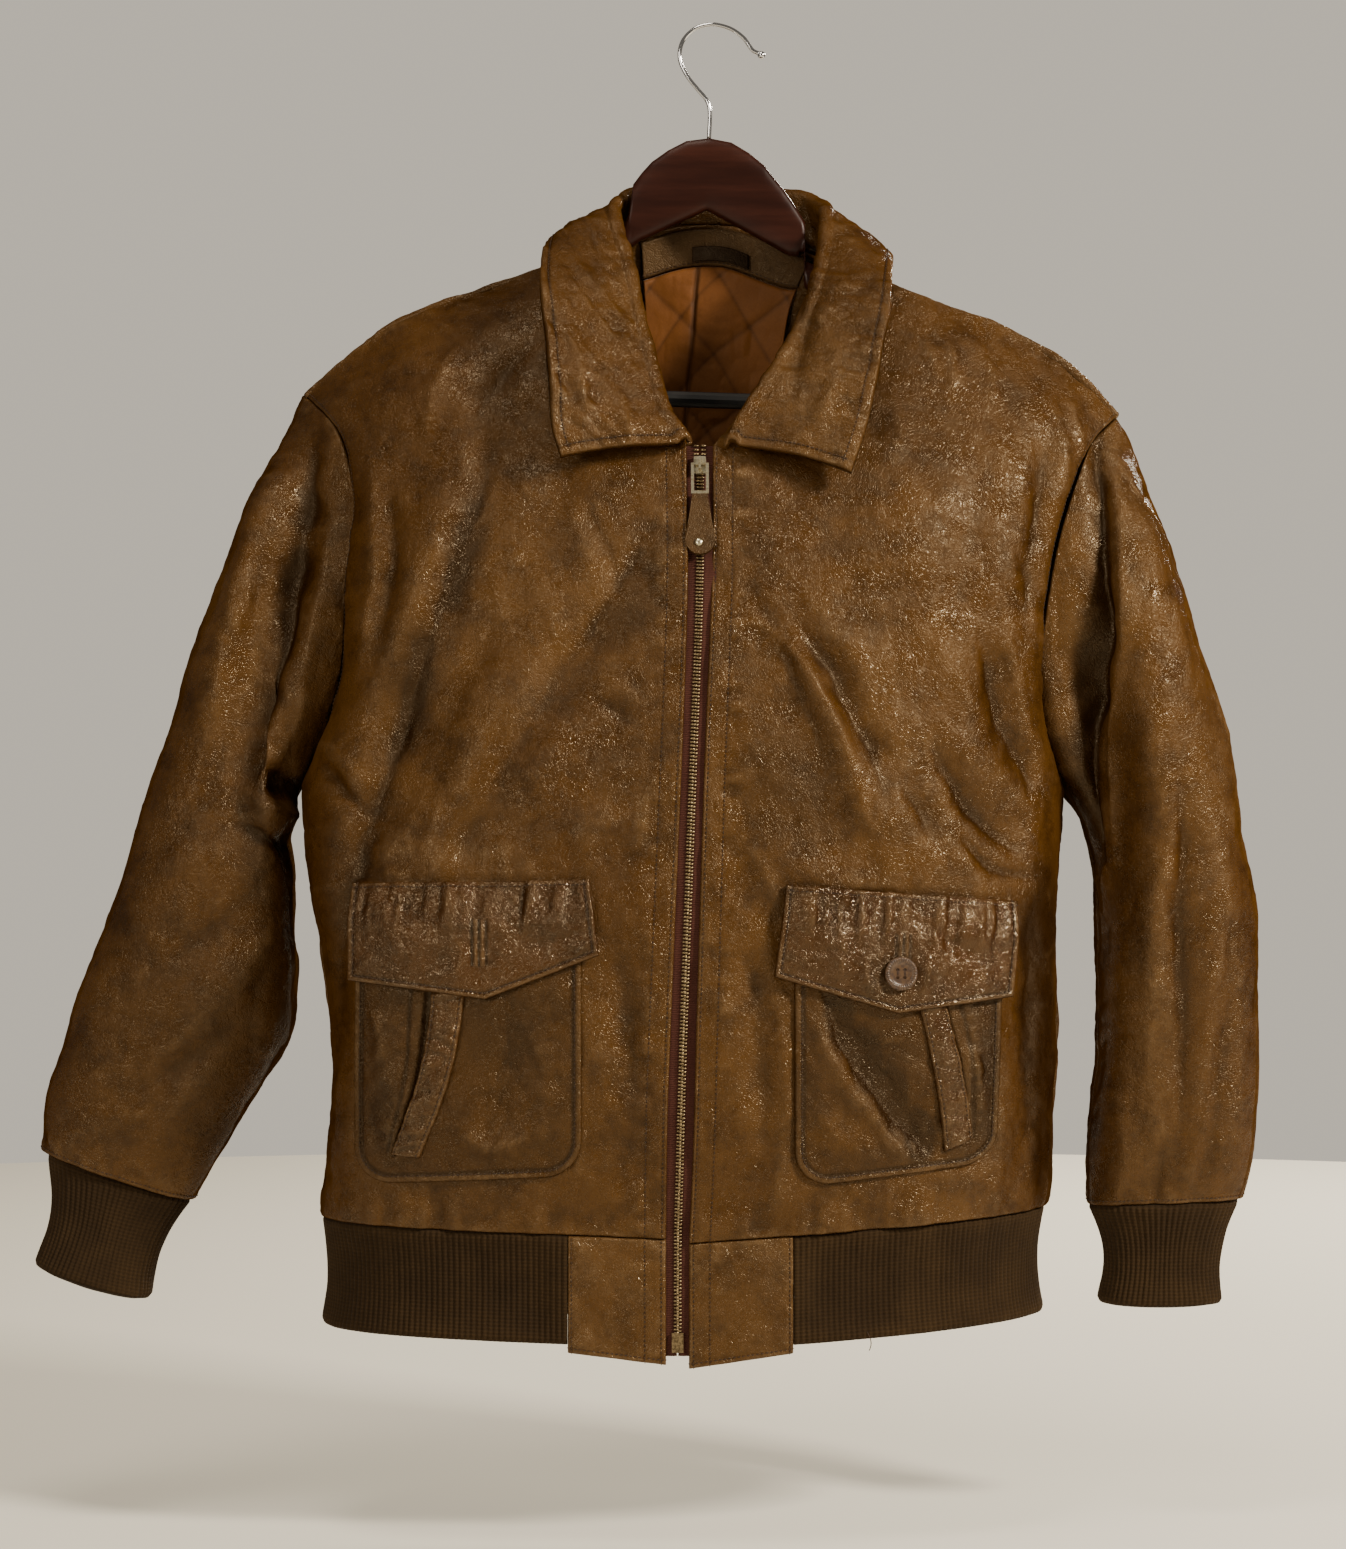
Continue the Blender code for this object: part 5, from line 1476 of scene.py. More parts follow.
def node_group(name: str, inputs: dict[str, object], *outputs: str) -> tuple[Nodes, dict]:
    """Starts a shader node group.

    Args:
        name: The group's name.
        inputs: Each input's default value; a tuple makes a colour.
        *outputs: The outputs' names; one called Color is a colour.

    Returns:
        A builder for its tree, and its input sockets by name.
    """
    tree = bpy.data.node_groups.new(name, "ShaderNodeTree")
    for key, value in inputs.items():
        kind = "NodeSocketColor" if isinstance(value, tuple) else "NodeSocketFloat"
        socket = tree.interface.new_socket(name=key, in_out="INPUT", socket_type=kind)
        socket.default_value = (*value, 1) if isinstance(value, tuple) else value
    for key in outputs:
        kind = "NodeSocketColor" if key == "Color" else "NodeSocketFloat"
        tree.interface.new_socket(name=key, in_out="OUTPUT", socket_type=kind)
    nodes = Nodes(tree)
    return nodes, nodes.add("NodeGroupInput").outputs


def grain_group() -> Tree:
    """The skin's grain: small pebbles, finer pores, and long fine cracks where it is worn.

    Returns:
        The group's tree.
    """
    nodes, ins = node_group("Leather grain", {"Pebble": 800.0, "Cracks": 0.6}, "Height")
    at = nodes.here()
    moved = nodes.bent(at, 60, 2, 0.004)
    cracks = nodes.times(nodes.cells(moved, 210.0, 0.1), ins["Cracks"])
    where = nodes.spread(nodes.cloud(at, 14, 3, 0.6), 0.44, 0.62)
    lines = nodes.times(nodes.cells(nodes.bent(at, 18, 3, 0.03), 120.0, 0.11), where)
    height = nodes.plus(
        nodes.times(nodes.cells(moved, ins["Pebble"], 0.22), 0.45),
        nodes.times(cracks, 0.7),
        nodes.times(nodes.cloud(at, 330, 3, 0.6), 0.9),
        nodes.times(lines, 0.45),
    )
    return nodes.finish(Height=height)


def wear_group() -> Tree:
    """Where the finish is rubbed off, and where painted shade and darker tone lie, from 0 to 1
    each.

    Returns:
        The group's tree.
    """
    nodes, ins = node_group("Wear", {"Ease": 1.0}, "Worn", "Dirt")
    at, times = nodes.here(), nodes.times
    relief, drape, stain = (nodes.stored(name) for name in ("relief", "drape", "stain"))
    patch = nodes.spread(nodes.cloud(at, 26, 4, 0.65), 0.36, 0.66)
    fleck = nodes.spread(nodes.cloud(at, 170, 4, 0.7), 0.42, 0.62)
    ridge = nodes.spread(relief, 0.00002, 0.0005)
    swell = nodes.spread(drape, 0.0002, 0.0022, (0.0, 0.5))
    edge = times(nodes.stored("edge"), nodes.plus(patch, 0.35))
    high = nodes.plus(times(ridge, nodes.plus(patch, 0.25)), swell)
    worn = nodes.plus(times(high, 0.3), times(edge, 0.5), nodes.calc("MAXIMUM", stain, 0.0))
    worn = times(worn, nodes.plus(times(fleck, 0.6), 0.4))
    worn = nodes.calc("MULTIPLY", worn, ins["Ease"], True)
    # Painted shade: darker in fine creases and broad troughs, plus the stored shade, dark seams and
    # darker tone.
    deep = nodes.spread(times(relief, -1.0), 0.00003, 0.0006)
    low = nodes.spread(times(drape, -1.0), 0.0004, 0.005, (0.0, 0.3))
    dark = nodes.calc("MAXIMUM", times(stain, -1.0), 0.0)
    painted_shade_and_tone = nodes.calc("ADD", times(deep, 0.26), nodes.plus(low, dark), True)
    return nodes.finish(Worn=worn, Dirt=painted_shade_and_tone)


def dye_group() -> Tree:
    """The uneven dye: three tones clouded into each other at several sizes.

    Returns:
        The group's tree.
    """
    tones = {"Light": (0.2, 0.1, 0.04), "Main": (0.15, 0.06, 0.02), "Deep": (0.08, 0.025, 0.01)}
    nodes, ins = node_group("Dye", tones, "Color")
    at, colour = nodes.here(), ins["Main"]
    for tone, share, scale, detail, rough, low, high in (
        ("Light", 0.75, 9, 5, 0.6, 0.38, 0.66),
        ("Deep", 0.6, 42, 4, 0.62, 0.4, 0.68),
        ("Light", 0.28, 240, 3, 0.6, 0.35, 0.7),
    ):
        mask = nodes.spread(nodes.cloud(at, scale, detail, rough), low, high)
        colour = nodes.mix(nodes.times(mask, share), colour, ins[tone])
    return nodes.finish(Color=colour)


def blank(name: str) -> tuple[Material, Nodes, Node]:
    """A new material with its tree and its shader.

    Args:
        name: The material's name.

    Returns:
        The material, a helper for its tree, and its shader.
    """
    material = bpy.data.materials.new(name)
    material.use_nodes = True
    return material, Nodes(material.node_tree), material.node_tree.nodes["Principled BSDF"]


def darker(tone: Tone, share: float) -> Tone:
    """A share of a tone."""
    return tuple(share * part for part in tone)


@dataclass(frozen=True)
class Leather:
    """Dyed and polished hide, rubbed pale where it is handled."""

    name: str
    light: Tone
    main: Tone
    deep: Tone
    worn: Tone = (0.14, 0.08, 0.034)
    rough: float = 0.4
    ease: float = 1.0
    bump: float = 0.55
    gloss: float = 0.3

    def make(self, groups: dict[str, Tree]) -> Material:
        """Builds the material from the shared groups.

        Args:
            groups: The shared shader groups, by name.

        Returns:
            The material.
        """
        material, nodes, shader = blank(self.name)
        tones = {"Light": self.light, "Main": self.main, "Deep": self.deep}
        dye = nodes.add("ShaderNodeGroup", tones, node_tree=groups["dye"])
        # wear holds the rubbed wear, and the painted shade with darker tone.
        wear = nodes.add("ShaderNodeGroup", {"Ease": self.ease}, node_tree=groups["wear"]).outputs
        grain = nodes.add("ShaderNodeGroup", node_tree=groups["grain"])
        # Painted shade: the dye darkens towards the deep tone in creases, troughs and shaded
        # patches, and at dark seams.
        colour = nodes.mix(nodes.times(wear["Dirt"], 0.78), dye, darker(self.deep, 0.6))
        smear = nodes.spread(nodes.cloud(nodes.here(), 48, 4, 0.62), 0.34, 0.66, (-0.13, 0.12))
        rough = nodes.plus(nodes.times(wear["Dirt"], 0.05), self.rough, smear)
        rim = nodes.add("ShaderNodeLayerWeight", {"Blend": 0.5}).outputs["Facing"]
        looks = {
            "Base Color": nodes.mix(nodes.times(wear["Worn"], 0.72), colour, self.worn),
            "Roughness": nodes.calc("SUBTRACT", rough, nodes.times(wear["Worn"], 0.12)),
            "Specular IOR Level": nodes.spread(rim, 0.15, 0.7, (self.gloss, 0.0)),
            "Specular Tint": (1.0, 0.8, 0.54),
            "Normal": nodes.bump(grain, self.bump, 0.0005),
        }
        nodes.wire(shader, looks)
        return material


@dataclass(frozen=True)
class Fabric:
    """Knitted or woven yarn: dark between its threads, paler where it is rubbed."""

    name: str
    colour: Tone
    worn: Tone
    rough: float = 0.9
    threads: float = 900.0
    sheen: float = 0.02
    bump: float = 0.5

    def make(self, groups: dict[str, Tree]) -> Material:
        """Builds the material, its threads running along the flat piece.

        Args:
            groups: The shared shader groups, by name.

        Returns:
            The material.
        """
        material, nodes, shader = blank(self.name)
        at = nodes.add("ShaderNodeTexCoord").outputs
        # wear holds the rubbed wear, and the painted shade with darker tone.
        wear = nodes.add("ShaderNodeGroup", node_tree=groups["wear"]).outputs
        rows = {"Vector": at["UV"], "Scale": self.threads / 6.3, "Distortion": 1.2, "Detail": 1.0}
        wave = nodes.add("ShaderNodeTexWave", rows, bands_direction="Y").outputs["Fac"]
        fuzz = nodes.cloud(at["Object"], 700, 3, 0.7)
        blotch = nodes.spread(nodes.cloud(at["Object"], 34, 4, 0.6), 0.35, 0.68)
        rubbed = nodes.times(wear["Worn"], 0.6)
        share = nodes.calc("ADD", nodes.times(blotch, 0.35), rubbed, True)
        colour = nodes.mix(share, self.colour, self.worn)
        # Painted shade: the yarn darkens in creases, troughs and shaded patches, and at dark seams.
        colour = nodes.mix(nodes.times(wear["Dirt"], 0.7), colour, darker(self.colour, 0.22))
        shade = nodes.times(nodes.plus(nodes.times(fuzz, 0.9), 0.1), nodes.plus(wave, 0.6))
        between = nodes.calc("MULTIPLY", nodes.calc("SUBTRACT", 1.0, shade), 0.55, True)
        height = nodes.plus(wave, nodes.times(fuzz, 1.5))
        looks = {
            "Base Color": nodes.mix(between, colour, darker(self.colour, 0.3)),
            "Roughness": self.rough,
            "Specular IOR Level": 0.18,
            "Sheen Weight": self.sheen,
            "Sheen Roughness": 0.4,
            "Normal": nodes.bump(height, self.bump, 0.0004),
        }
        nodes.wire(shader, looks)
        return material


@dataclass(frozen=True)
class Hard:
    """Metal, horn, varnished wood or rubber, with streaks or tarnish of a second colour."""

    name: str
    colour: Tone
    second: Tone
    rough: float
    metal: float = 0.0
    coat: float = 0.0
    streak: tuple[float, float, float] = (120.0,) * 3
    share: Pairs = (0.4, 0.65)
    uneven: float = 0.12
    bump: float = 0.1
    gloss: float = 0.5

    def make(self, groups: dict[str, Tree]) -> Material:
        """Builds the material; streak is how many marks there are to a metre each way.

        Args:
            groups: The shared shader groups, by name.

        Returns:
            The material.
        """
        material, nodes, shader = blank(self.name)
        marks = {0: nodes.here(), 1: self.streak}
        scaled = nodes.add("ShaderNodeVectorMath", marks, operation="MULTIPLY")
        cloud = nodes.cloud(scaled, 1.0, 5, 0.62)
        mask = nodes.spread(cloud, *self.share)
        looks = {
            "Base Color": nodes.mix(mask, self.colour, self.second),
            "Roughness": nodes.plus(nodes.times(mask, self.uneven), self.rough),
            "Metallic": self.metal,
            "Coat Weight": self.coat,
            "Coat Roughness": 0.12,
            "Specular IOR Level": self.gloss,
            "Normal": nodes.bump(cloud, self.bump, 0.0003),
        }
        nodes.wire(shader, looks)
        return material


FINISHES = (
    Leather(
        "leather", (0.086, 0.037, 0.0072), (0.054, 0.0215, 0.0036), (0.018, 0.0064, 0.0012),
        rough=0.27, gloss=0.36,
    ),
    Leather(
        "red leather", (0.058, 0.022, 0.0042), (0.033, 0.0118, 0.0021), (0.011, 0.0036, 0.0008),
        rough=0.16, gloss=0.58,
    ),
    Leather(
        "facing leather", (0.084, 0.045, 0.018), (0.057, 0.0285, 0.011), (0.027, 0.013, 0.0052),
        (0.12, 0.06, 0.022), 0.45, 0.6,
    ),
    Leather(
        "dark leather", (0.018, 0.0075, 0.003), (0.011, 0.0045, 0.002), (0.006, 0.0022, 0.0012),
        (0.06, 0.03, 0.014), 0.5, 0.5,
    ),
    Leather(
        "strap leather", (0.085, 0.044, 0.017), (0.05, 0.024, 0.008), (0.012, 0.005, 0.002),
        rough=0.42,
    ),
    Fabric("rib knit", (0.027, 0.0138, 0.0041), (0.056, 0.0303, 0.0098)),
    Fabric("lining", (0.195, 0.068, 0.013), (0.28, 0.104, 0.024), 0.55, 2600.0, 0.12, 0.15),
    Fabric("zip tape", (0.062, 0.019, 0.012), (0.095, 0.033, 0.021), 0.85, 1500.0),
    Hard("thread", (0.022, 0.0085, 0.003), (0.05, 0.022, 0.008), 0.75),
    Hard("brass", (0.27, 0.2, 0.11), (0.1, 0.068, 0.034), 0.36, 1.0, streak=(700.0,) * 3),
    Hard("nickel", (0.74, 0.67, 0.48), (0.3, 0.24, 0.14), 0.3, 1.0, streak=(420.0,) * 3),
    Hard("button", (0.09, 0.048, 0.022), (0.04, 0.018, 0.008), 0.3, 0.0, 0.15, (420.0,) * 3),
    Hard(
        "wood", (0.0165, 0.0036, 0.0016), (0.036, 0.0076, 0.0027), 0.34, 0.0, 0.0,
        (9.0, 60.0, 110.0), (0.3, 0.8), 0.08, 0.04, 0.22,
    ),
    Hard("rubber", (0.005, 0.005, 0.006), (0.014, 0.012, 0.011), 0.5),
    Hard("chrome", (0.66, 0.66, 0.68), (0.34, 0.31, 0.28), 0.12, 1.0, share=(0.55, 0.8)),
)


def make_finishes() -> dict[str, Material]:
    """Every material, by its name."""
    groups = {"grain": grain_group(), "wear": wear_group(), "dye": dye_group()}
    return {finish.name: finish.make(groups) for finish in FINISHES}


# --- listed creases, and patches of wear and painted shade
CREASES = tables("face x0 z0 x1 z1 x2 z2 left right height", """
front_right
-1 -134 -268 -166 -360 -214 -510 14 11 -9.5
-1 -150 -262 -176 -340 -208 -420 7 13 3.6
-1 -116 -275 -128 -370 -166 -480 26 16 4.2
-1 -128 -272 -139 -298 -160 -334 3 5 1.9
-1 -46 -322 -82 -384 -128 -455 20 6 -7.8
-1 -128 -450 -140 -485 -156 -515 14 9 -4.6
-1 -77 -303 -70 -325 -61 -356 3 5 -2.3
-1 -85 -300 -80 -335 -72 -364 4 4 1.4
-1 -74 -404 -60 -411 -44 -426 3 4 1.6
-1 -72 -417 -60 -426 -47 -439 3 3 -2.2
-1 -46 -474 -47 -490 -55 -510 3 5 2.2
-1 -62 -465 -74 -490 -80 -512 8 8 2
-1 -208 -280 -207 -330 -215 -400 5 8 3
-1 -198 -290 -198 -340 -205 -390 6 5 -2.7
-1 -238 -446 -226 -455 -212 -470 4 4 2
-1 -240 -458 -230 -468 -214 -486 4 4 -2.7
-1 -176 -470 -190 -500 -200 -516 7 9 2.2
-1 -205 -505 -226 -560 -232 -640 10 12 -5.4
-1 -110 -195 -135 -225 -150 -262 7 7 -3
-1 -160 -200 -172 -225 -176 -262 6 5 1.8
-1 -66 -560 -52 -620 -60 -700 10 8 -3.8
-1 -44 -540 -40 -580 -46 -640 5 7 2.2
front_left
-1 22 -370 58 -414 89 -496 3.5 6.5 3.8
-1 46 -370 74 -416 100 -480 7 6 -4.9
-1 30 -332 70 -382 104 -458 10 7 2.6
-1 16 -345 38 -392 66 -465 8 9 -3.8
-1 108 -368 134 -392 152 -424 8 6 1.8
-1 158 -380 168 -430 190 -470 8 5 -4.9
-1 174 -378 181 -420 197 -452 6 6 2.4
-1 128 -444 150 -482 184 -508 7 5 -4.6
-1 140 -436 164 -464 190 -488 6 6 2
-1 142 -498 160 -515 190 -524 5 4 -3.5
-1 96 -452 116 -480 128 -508 8 5 -3.5
-1 8 -482 19 -512 38 -538 4 6 2.8
-1 0 -455 10 -500 20 -545 7 8 -3.2
-1 196 -262 193 -312 185 -380 6 10 -5.7
-1 184 -255 182 -310 176 -360 8 8 1.8
-1 203 -238 209 -265 206 -292 3 4 2.2
-1 213 -234 219 -248 222 -266 3 3 1.8
-1 124 -196 127 -208 132 -220 3 3 1.6
-1 138 -198 141 -215 138 -238 3 4 1.6
-1 166 -212 168 -226 162 -242 3 4 1.6
-1 106 -240 110 -256 104 -276 5 6 1.4
-1 104 -285 112 -330 100 -385 22 22 3.4
-1 150 -290 150 -330 140 -370 16 14 -3.2
-1 188 -540 190 -600 180 -700 10 12 -4.9
-1 14 -570 24 -620 22 -700 8 8 -3.5
-1 30 -560 36 -640 30 -720 5 6 2
back
1 150 -230 105 -330 80 -480 18 12 -6
1 -155 -225 -120 -340 -70 -460 12 18 -6
1 180 -300 150 -400 130 -520 10 16 4
1 -185 -300 -160 -420 -118 -540 16 9 4
1 60 -560 -10 -590 -90 -570 10 16 -4
1 110 -640 30 -665 -60 -650 16 10 -3.6
1 -150 -600 -110 -650 -80 -710 10 12 -3.4
1 160 -560 140 -640 145 -710 12 10 -3.6
1 200 -420 170 -450 140 -460 6 8 -3
1 -210 -420 -180 -445 -150 -450 7 6 -3
1 30 -300 10 -400 30 -500 14 18 -3
1 -30 -640 -34 -680 -30 -720 6 6 2.2
1 70 -680 66 -710 68 -730 5 6 2
sleeve_right
-1 -245.1 -270.6 -262.1 -362.2 -277.5 -452.7 6 11 -10.5
-1 -235.9 -295.3 -246.1 -367.3 -256.4 -439.3 5 4 3
-1 -258.5 -285 -277 -367.3 -293.5 -449.6 5 6 3.4
-1 -275 -459.9 -263.6 -468.1 -252.3 -473.3 5 6 -7
-1 -283.2 -474.3 -264.7 -484.6 -250.3 -488.7 5 5 4
-1 -289.4 -492.8 -270.8 -504.2 -252.3 -507.2 4 6 -4.6
-1 -268.8 -517.5 -295.5 -547.4 -330.5 -575.2 10 8 -2.6
-1 -264.7 -542.2 -291.4 -588.5 -338.8 -629.7 12 9 2.6
-1 -275 -578.2 -307.9 -626.6 -361.4 -655.4 10 10 -2.6
-1 -293.5 -439.3 -312 -480.5 -338.8 -507.2 10 9 -2.2
-1 -295.5 -622.5 -326.4 -657.5 -375.8 -673.9 10 8 2
-1 -328.5 -653.4 -355.2 -676 -390.2 -690.4 6 7 -1.8
-1 -268.8 -274.7 -285.3 -336.4 -309.9 -418.8 10 9 2.6
1 -250 -300 -266 -380 -290 -470 10 12 -4.4
1 -256 -490 -290 -510 -330 -505 8 7 -4
1 -262 -560 -300 -590 -350 -580 8 8 -3.6
1 -300 -630 -330 -655 -380 -650 7 7 -3
sleeve_left
-1 235.4 -252.1 232.3 -377.6 231.3 -517.5 3 9 -11.5
-1 242.6 -256.2 241.1 -377.6 239.5 -517.5 6 3 3.4
-1 237.5 -521.7 231.3 -604 225.1 -706.9 6 5 -3
-1 274.5 -470.2 279.7 -562.8 276.6 -696.6 8 6 -4.6
-1 260.1 -418.8 264.2 -521.7 258.1 -645.1 10 8 3.4
-1 293 -357 305.4 -480.5 307.5 -604 12 10 3
-1 309.5 -547.4 307.5 -614.3 295.1 -706.9 5 6 -2.6
-1 243.7 -665.7 245.7 -696.6 239.5 -722.3 5 5 2.2
-1 266.3 -686.3 267.3 -711 263.2 -729.5 4 5 -2.4
1 250 -300 266 -400 272 -500 10 10 -4.4
1 240 -500 270 -525 305 -520 7 8 -3.6
1 240 -560 268 -590 305 -585 8 7 3
1 238 -620 268 -645 300 -640 8 8 -3.4
collar
-1 -94 -196 -84 -222 -78 -258 4 4 2.6
-1 -106 -200 -100 -240 -103 -280 5 5 2
-1 -60 -236 -52 -262 -46 -290 3 3 1.4
-1 70 -205 66 -232 52 -262 6 6 2.6
-1 44 -170 50 -200 40 -240 5 6 -2
-1 86 -230 78 -262 70 -290 4 4 1.4
pocket_right
-1 -205 -600 -196 -640 -190 -690 6 9 2.6
-1 -130 -600 -126 -640 -140 -685 12 9 -3
-1 -116 -612 -104 -640 -106 -676 6 6 2
-1 -150 -672 -134 -680 -116 -676 6 5 2.2
-1 -196 -545 -180 -560 -158 -562 5 6 1.8
-1 -124 -548 -106 -560 -86 -558 6 5 -1.8
-1 -156 -556 -152 -566 -154 -578 3 3 1.6
pocket_left
-1 63 -598 88 -642 124 -691 11 4 -6.2
-1 54 -604 78 -648 112 -694 4 7 2.6
-1 52 -650 66 -672 84 -690 7 6 1.8
-1 146 -612 150 -640 158 -668 5 5 2
-1 60 -545 72 -560 70 -584 5 6 2
-1 128 -552 140 -566 158 -570 6 5 -1.8
-1 90 -560 86 -576 90 -592 4 3 1.8
-1 118 -566 122 -578 117 -592 3 4 1.8
""")

# Soft patches: over 0 a paler worn tone, under 0 painted shade of folds, recesses and shadowed
# sides.
MARKS = tables("face x z wide high strength", """
front_left
-1 150 -232 70 50 -.24
-1 110 -262 40 30 -.2
-1 208 -262 18 34 .25
-1 92 -412 18 30 .34
-1 118 -446 20 18 .34
-1 40 -470 30 40 -.5
-1 14 -292 12 24 .22
-1 24 -330 18 40 -.25
-1 196 -560 16 50 -1
-1 196 -640 14 60 -1
-1 194 -710 10 40 -.6
front_right
-1 -66 -398 11 8 .46
-1 -100 -350 36 70 .2
-1 -44 -350 22 30 -.4
-1 -66 -372 24 18 -.4
-1 -62 -452 20 26 -.3
-1 -150 -322 14 50 -.45
-1 -182 -402 16 40 -.5
-1 -130 -430 22 14 .24
-1 -168 -422 10 8 .34
-1 -160 -509 40 8 .4
-1 -46 -490 4 18 .6
sleeve_left
-1 216 -500 16 60 -1
-1 222 -420 9 60 -.6
-1 300 -460 20 70 .22
-1 244 -330 10 60 .2
-1 262 -640 20 80 .3
sleeve_right
-1 -342 -615 50 80 -.3
-1 -282 -480 10 50 -.6
-1 -300 -400 20 60 .22
-1 -262 -640 20 50 -.3
back
1 0 -250 120 70 .22
1 150 -250 50 50 .26
1 -30 -620 120 50 -.25
collar
-1 64 -240 30 60 .4
-1 -90 -170 30 40 -.15
pocket_right
-1 -128 -610 30 30 -.34
-1 -128 -666 24 12 .16
-1 -196 -650 10 50 -.25
pocket_left
-1 70 -606 9 20 -1.1
-1 85 -630 10 20 -1.1
-1 102 -654 10 20 -1.1
-1 118 -676 9 18 -1.1
-1 158 -640 12 50 -.45
-1 70 -672 24 14 .3
-1 100 -630 20 30 -.2
""")


# --- what repeats along lines
class Along:
    """Sets one small piece again and again along lines, with geometry nodes."""

    def __init__(self) -> None:
        """Builds the node tree once."""
        tree = bpy.data.node_groups.new("Pieces along lines", "GeometryNodeTree")
        kinds = {"Lines": "Geometry", "Spacing": "Float", "Piece": "Object", "Finish": "Material"}
        for name, kind in kinds.items():
            tree.interface.new_socket(name=name, in_out="INPUT", socket_type="NodeSocket" + kind)
        tree.interface.new_socket(name="Pieces", in_out="OUTPUT", socket_type="NodeSocketGeometry")
        nodes = Nodes(tree)
        entry = nodes.add("NodeGroupInput").outputs
        curve = nodes.add("GeometryNodeMeshToCurve", {0: entry["Lines"]})
        ins = {"Curve": curve, "Length": entry["Spacing"]}
        places = nodes.add("GeometryNodeCurveToPoints", ins, mode="LENGTH")
        name = {"Name": "out"}
        out = nodes.add("GeometryNodeInputNamedAttribute", name, data_type="FLOAT_VECTOR")
        ins = {"Primary Axis": places.outputs["Tangent"], "Secondary Axis": out}
        turn = nodes.add("FunctionNodeAxesToRotation", ins)
        turn.primary_axis, turn.secondary_axis = "Z", "Y"
        piece = nodes.add("GeometryNodeObjectInfo", {"Object": entry["Piece"]})
        ins = {
            "Points": places.outputs["Points"], "Instance": piece.outputs["Geometry"],
            "Rotation": turn,
        }
        placed = nodes.add("GeometryNodeInstanceOnPoints", ins)
        real = nodes.add("GeometryNodeRealizeInstances", {0: placed})
        done = nodes.add("GeometryNodeSetMaterial", {"Geometry": real, "Material": entry["Finish"]})
        nodes.add("NodeGroupOutput", {0: done})
        self.tree = tree

    def set(
        self, name: str, lines: Sequence[tuple[Grid, Grid]], piece: tuple[Grid, Iterable],
        spacing: float, finish: Material,
    ) -> Thing:
        """Sets a piece along lines.

        Args:
            name: The new object's name.
            lines: Each line's points, and which way is outward there.
            piece: The piece's points and faces, its length along Z and its face towards Y.
            spacing: From one piece to the next, in metres.
            finish: The material.

        Returns:
            A plain mesh object of all the pieces.
        """
        points = np.concatenate([line for line, _ in lines])
        outs = np.concatenate([np.broadcast_to(out, line.shape) for line, out in lines])
        edges, first = [], 0
        for line, _ in lines:
            edges += [(first + k, first + k + 1) for k in range(len(line) - 1)]
            first += len(line)
        route = bpy.data.meshes.new("route")
        route.from_pydata([tuple(p) for p in points], edges, [])
        layer = route.attributes.new("out", "FLOAT_VECTOR", "POINT")
        layer.data.foreach_set("vector", outs.astype(np.float32).ravel())
        holder = put(name + " route", route)
        pattern = new_object(name + " pattern", *piece, finish)
        modifier = holder.modifiers.new("set", "NODES")
        modifier.node_group = self.tree
        given = {"Spacing": spacing, "Piece": pattern, "Finish": finish}
        for item in self.tree.interface.items_tree:
            if item.in_out == "INPUT" and item.name in given:
                modifier[item.identifier] = given[item.name]
        mesh = baked(holder)
        mesh.name = name
        for extra in (holder, pattern):
            bpy.data.objects.remove(extra, do_unlink=True)
        for old in list(mesh.attributes):
            if old.name == "out":
                mesh.attributes.remove(old)
        mesh.polygons.foreach_set("use_smooth", [True] * len(mesh.polygons))
        return put(name, mesh)


def lozenge(length: float, wide: float, high: float, sides: int = 6) -> tuple[Grid, list]:
    """A rounded stick along Z: a stitch, a tooth's nose or a rivet's head.

    Args:
        length: Along Z.
        wide: Across, along X.
        high: Across, along Y.
        sides: Points round it.

    Returns:
        Its points and faces.
    """
    points = [(0, 0, -length / 2)]
    for share, size in ((-0.42, 0.62), (-0.2, 1.0), (0.2, 1.0), (0.42, 0.62)):
        for k in range(sides):
            turn = math.tau * k / sides
            x, y = wide / 2 * size * math.cos(turn), high / 2 * size * math.sin(turn)
            points.append((x, y, share * length))
    points.append((0, 0, length / 2))
    faces = [(0, 1 + (k + 1) % sides, 1 + k) for k in range(sides)]
    faces += [tuple(face) for face in quads(4, sides, True, first=1)]
    low = 1 + 3 * sides
    faces += [(low + k, low + (k + 1) % sides, low + sides) for k in range(sides)]
    return np.array(points), faces


STITCH = lozenge(0.0019, 0.00062, 0.0005, 5)
STITCH_PITCH = 0.0027


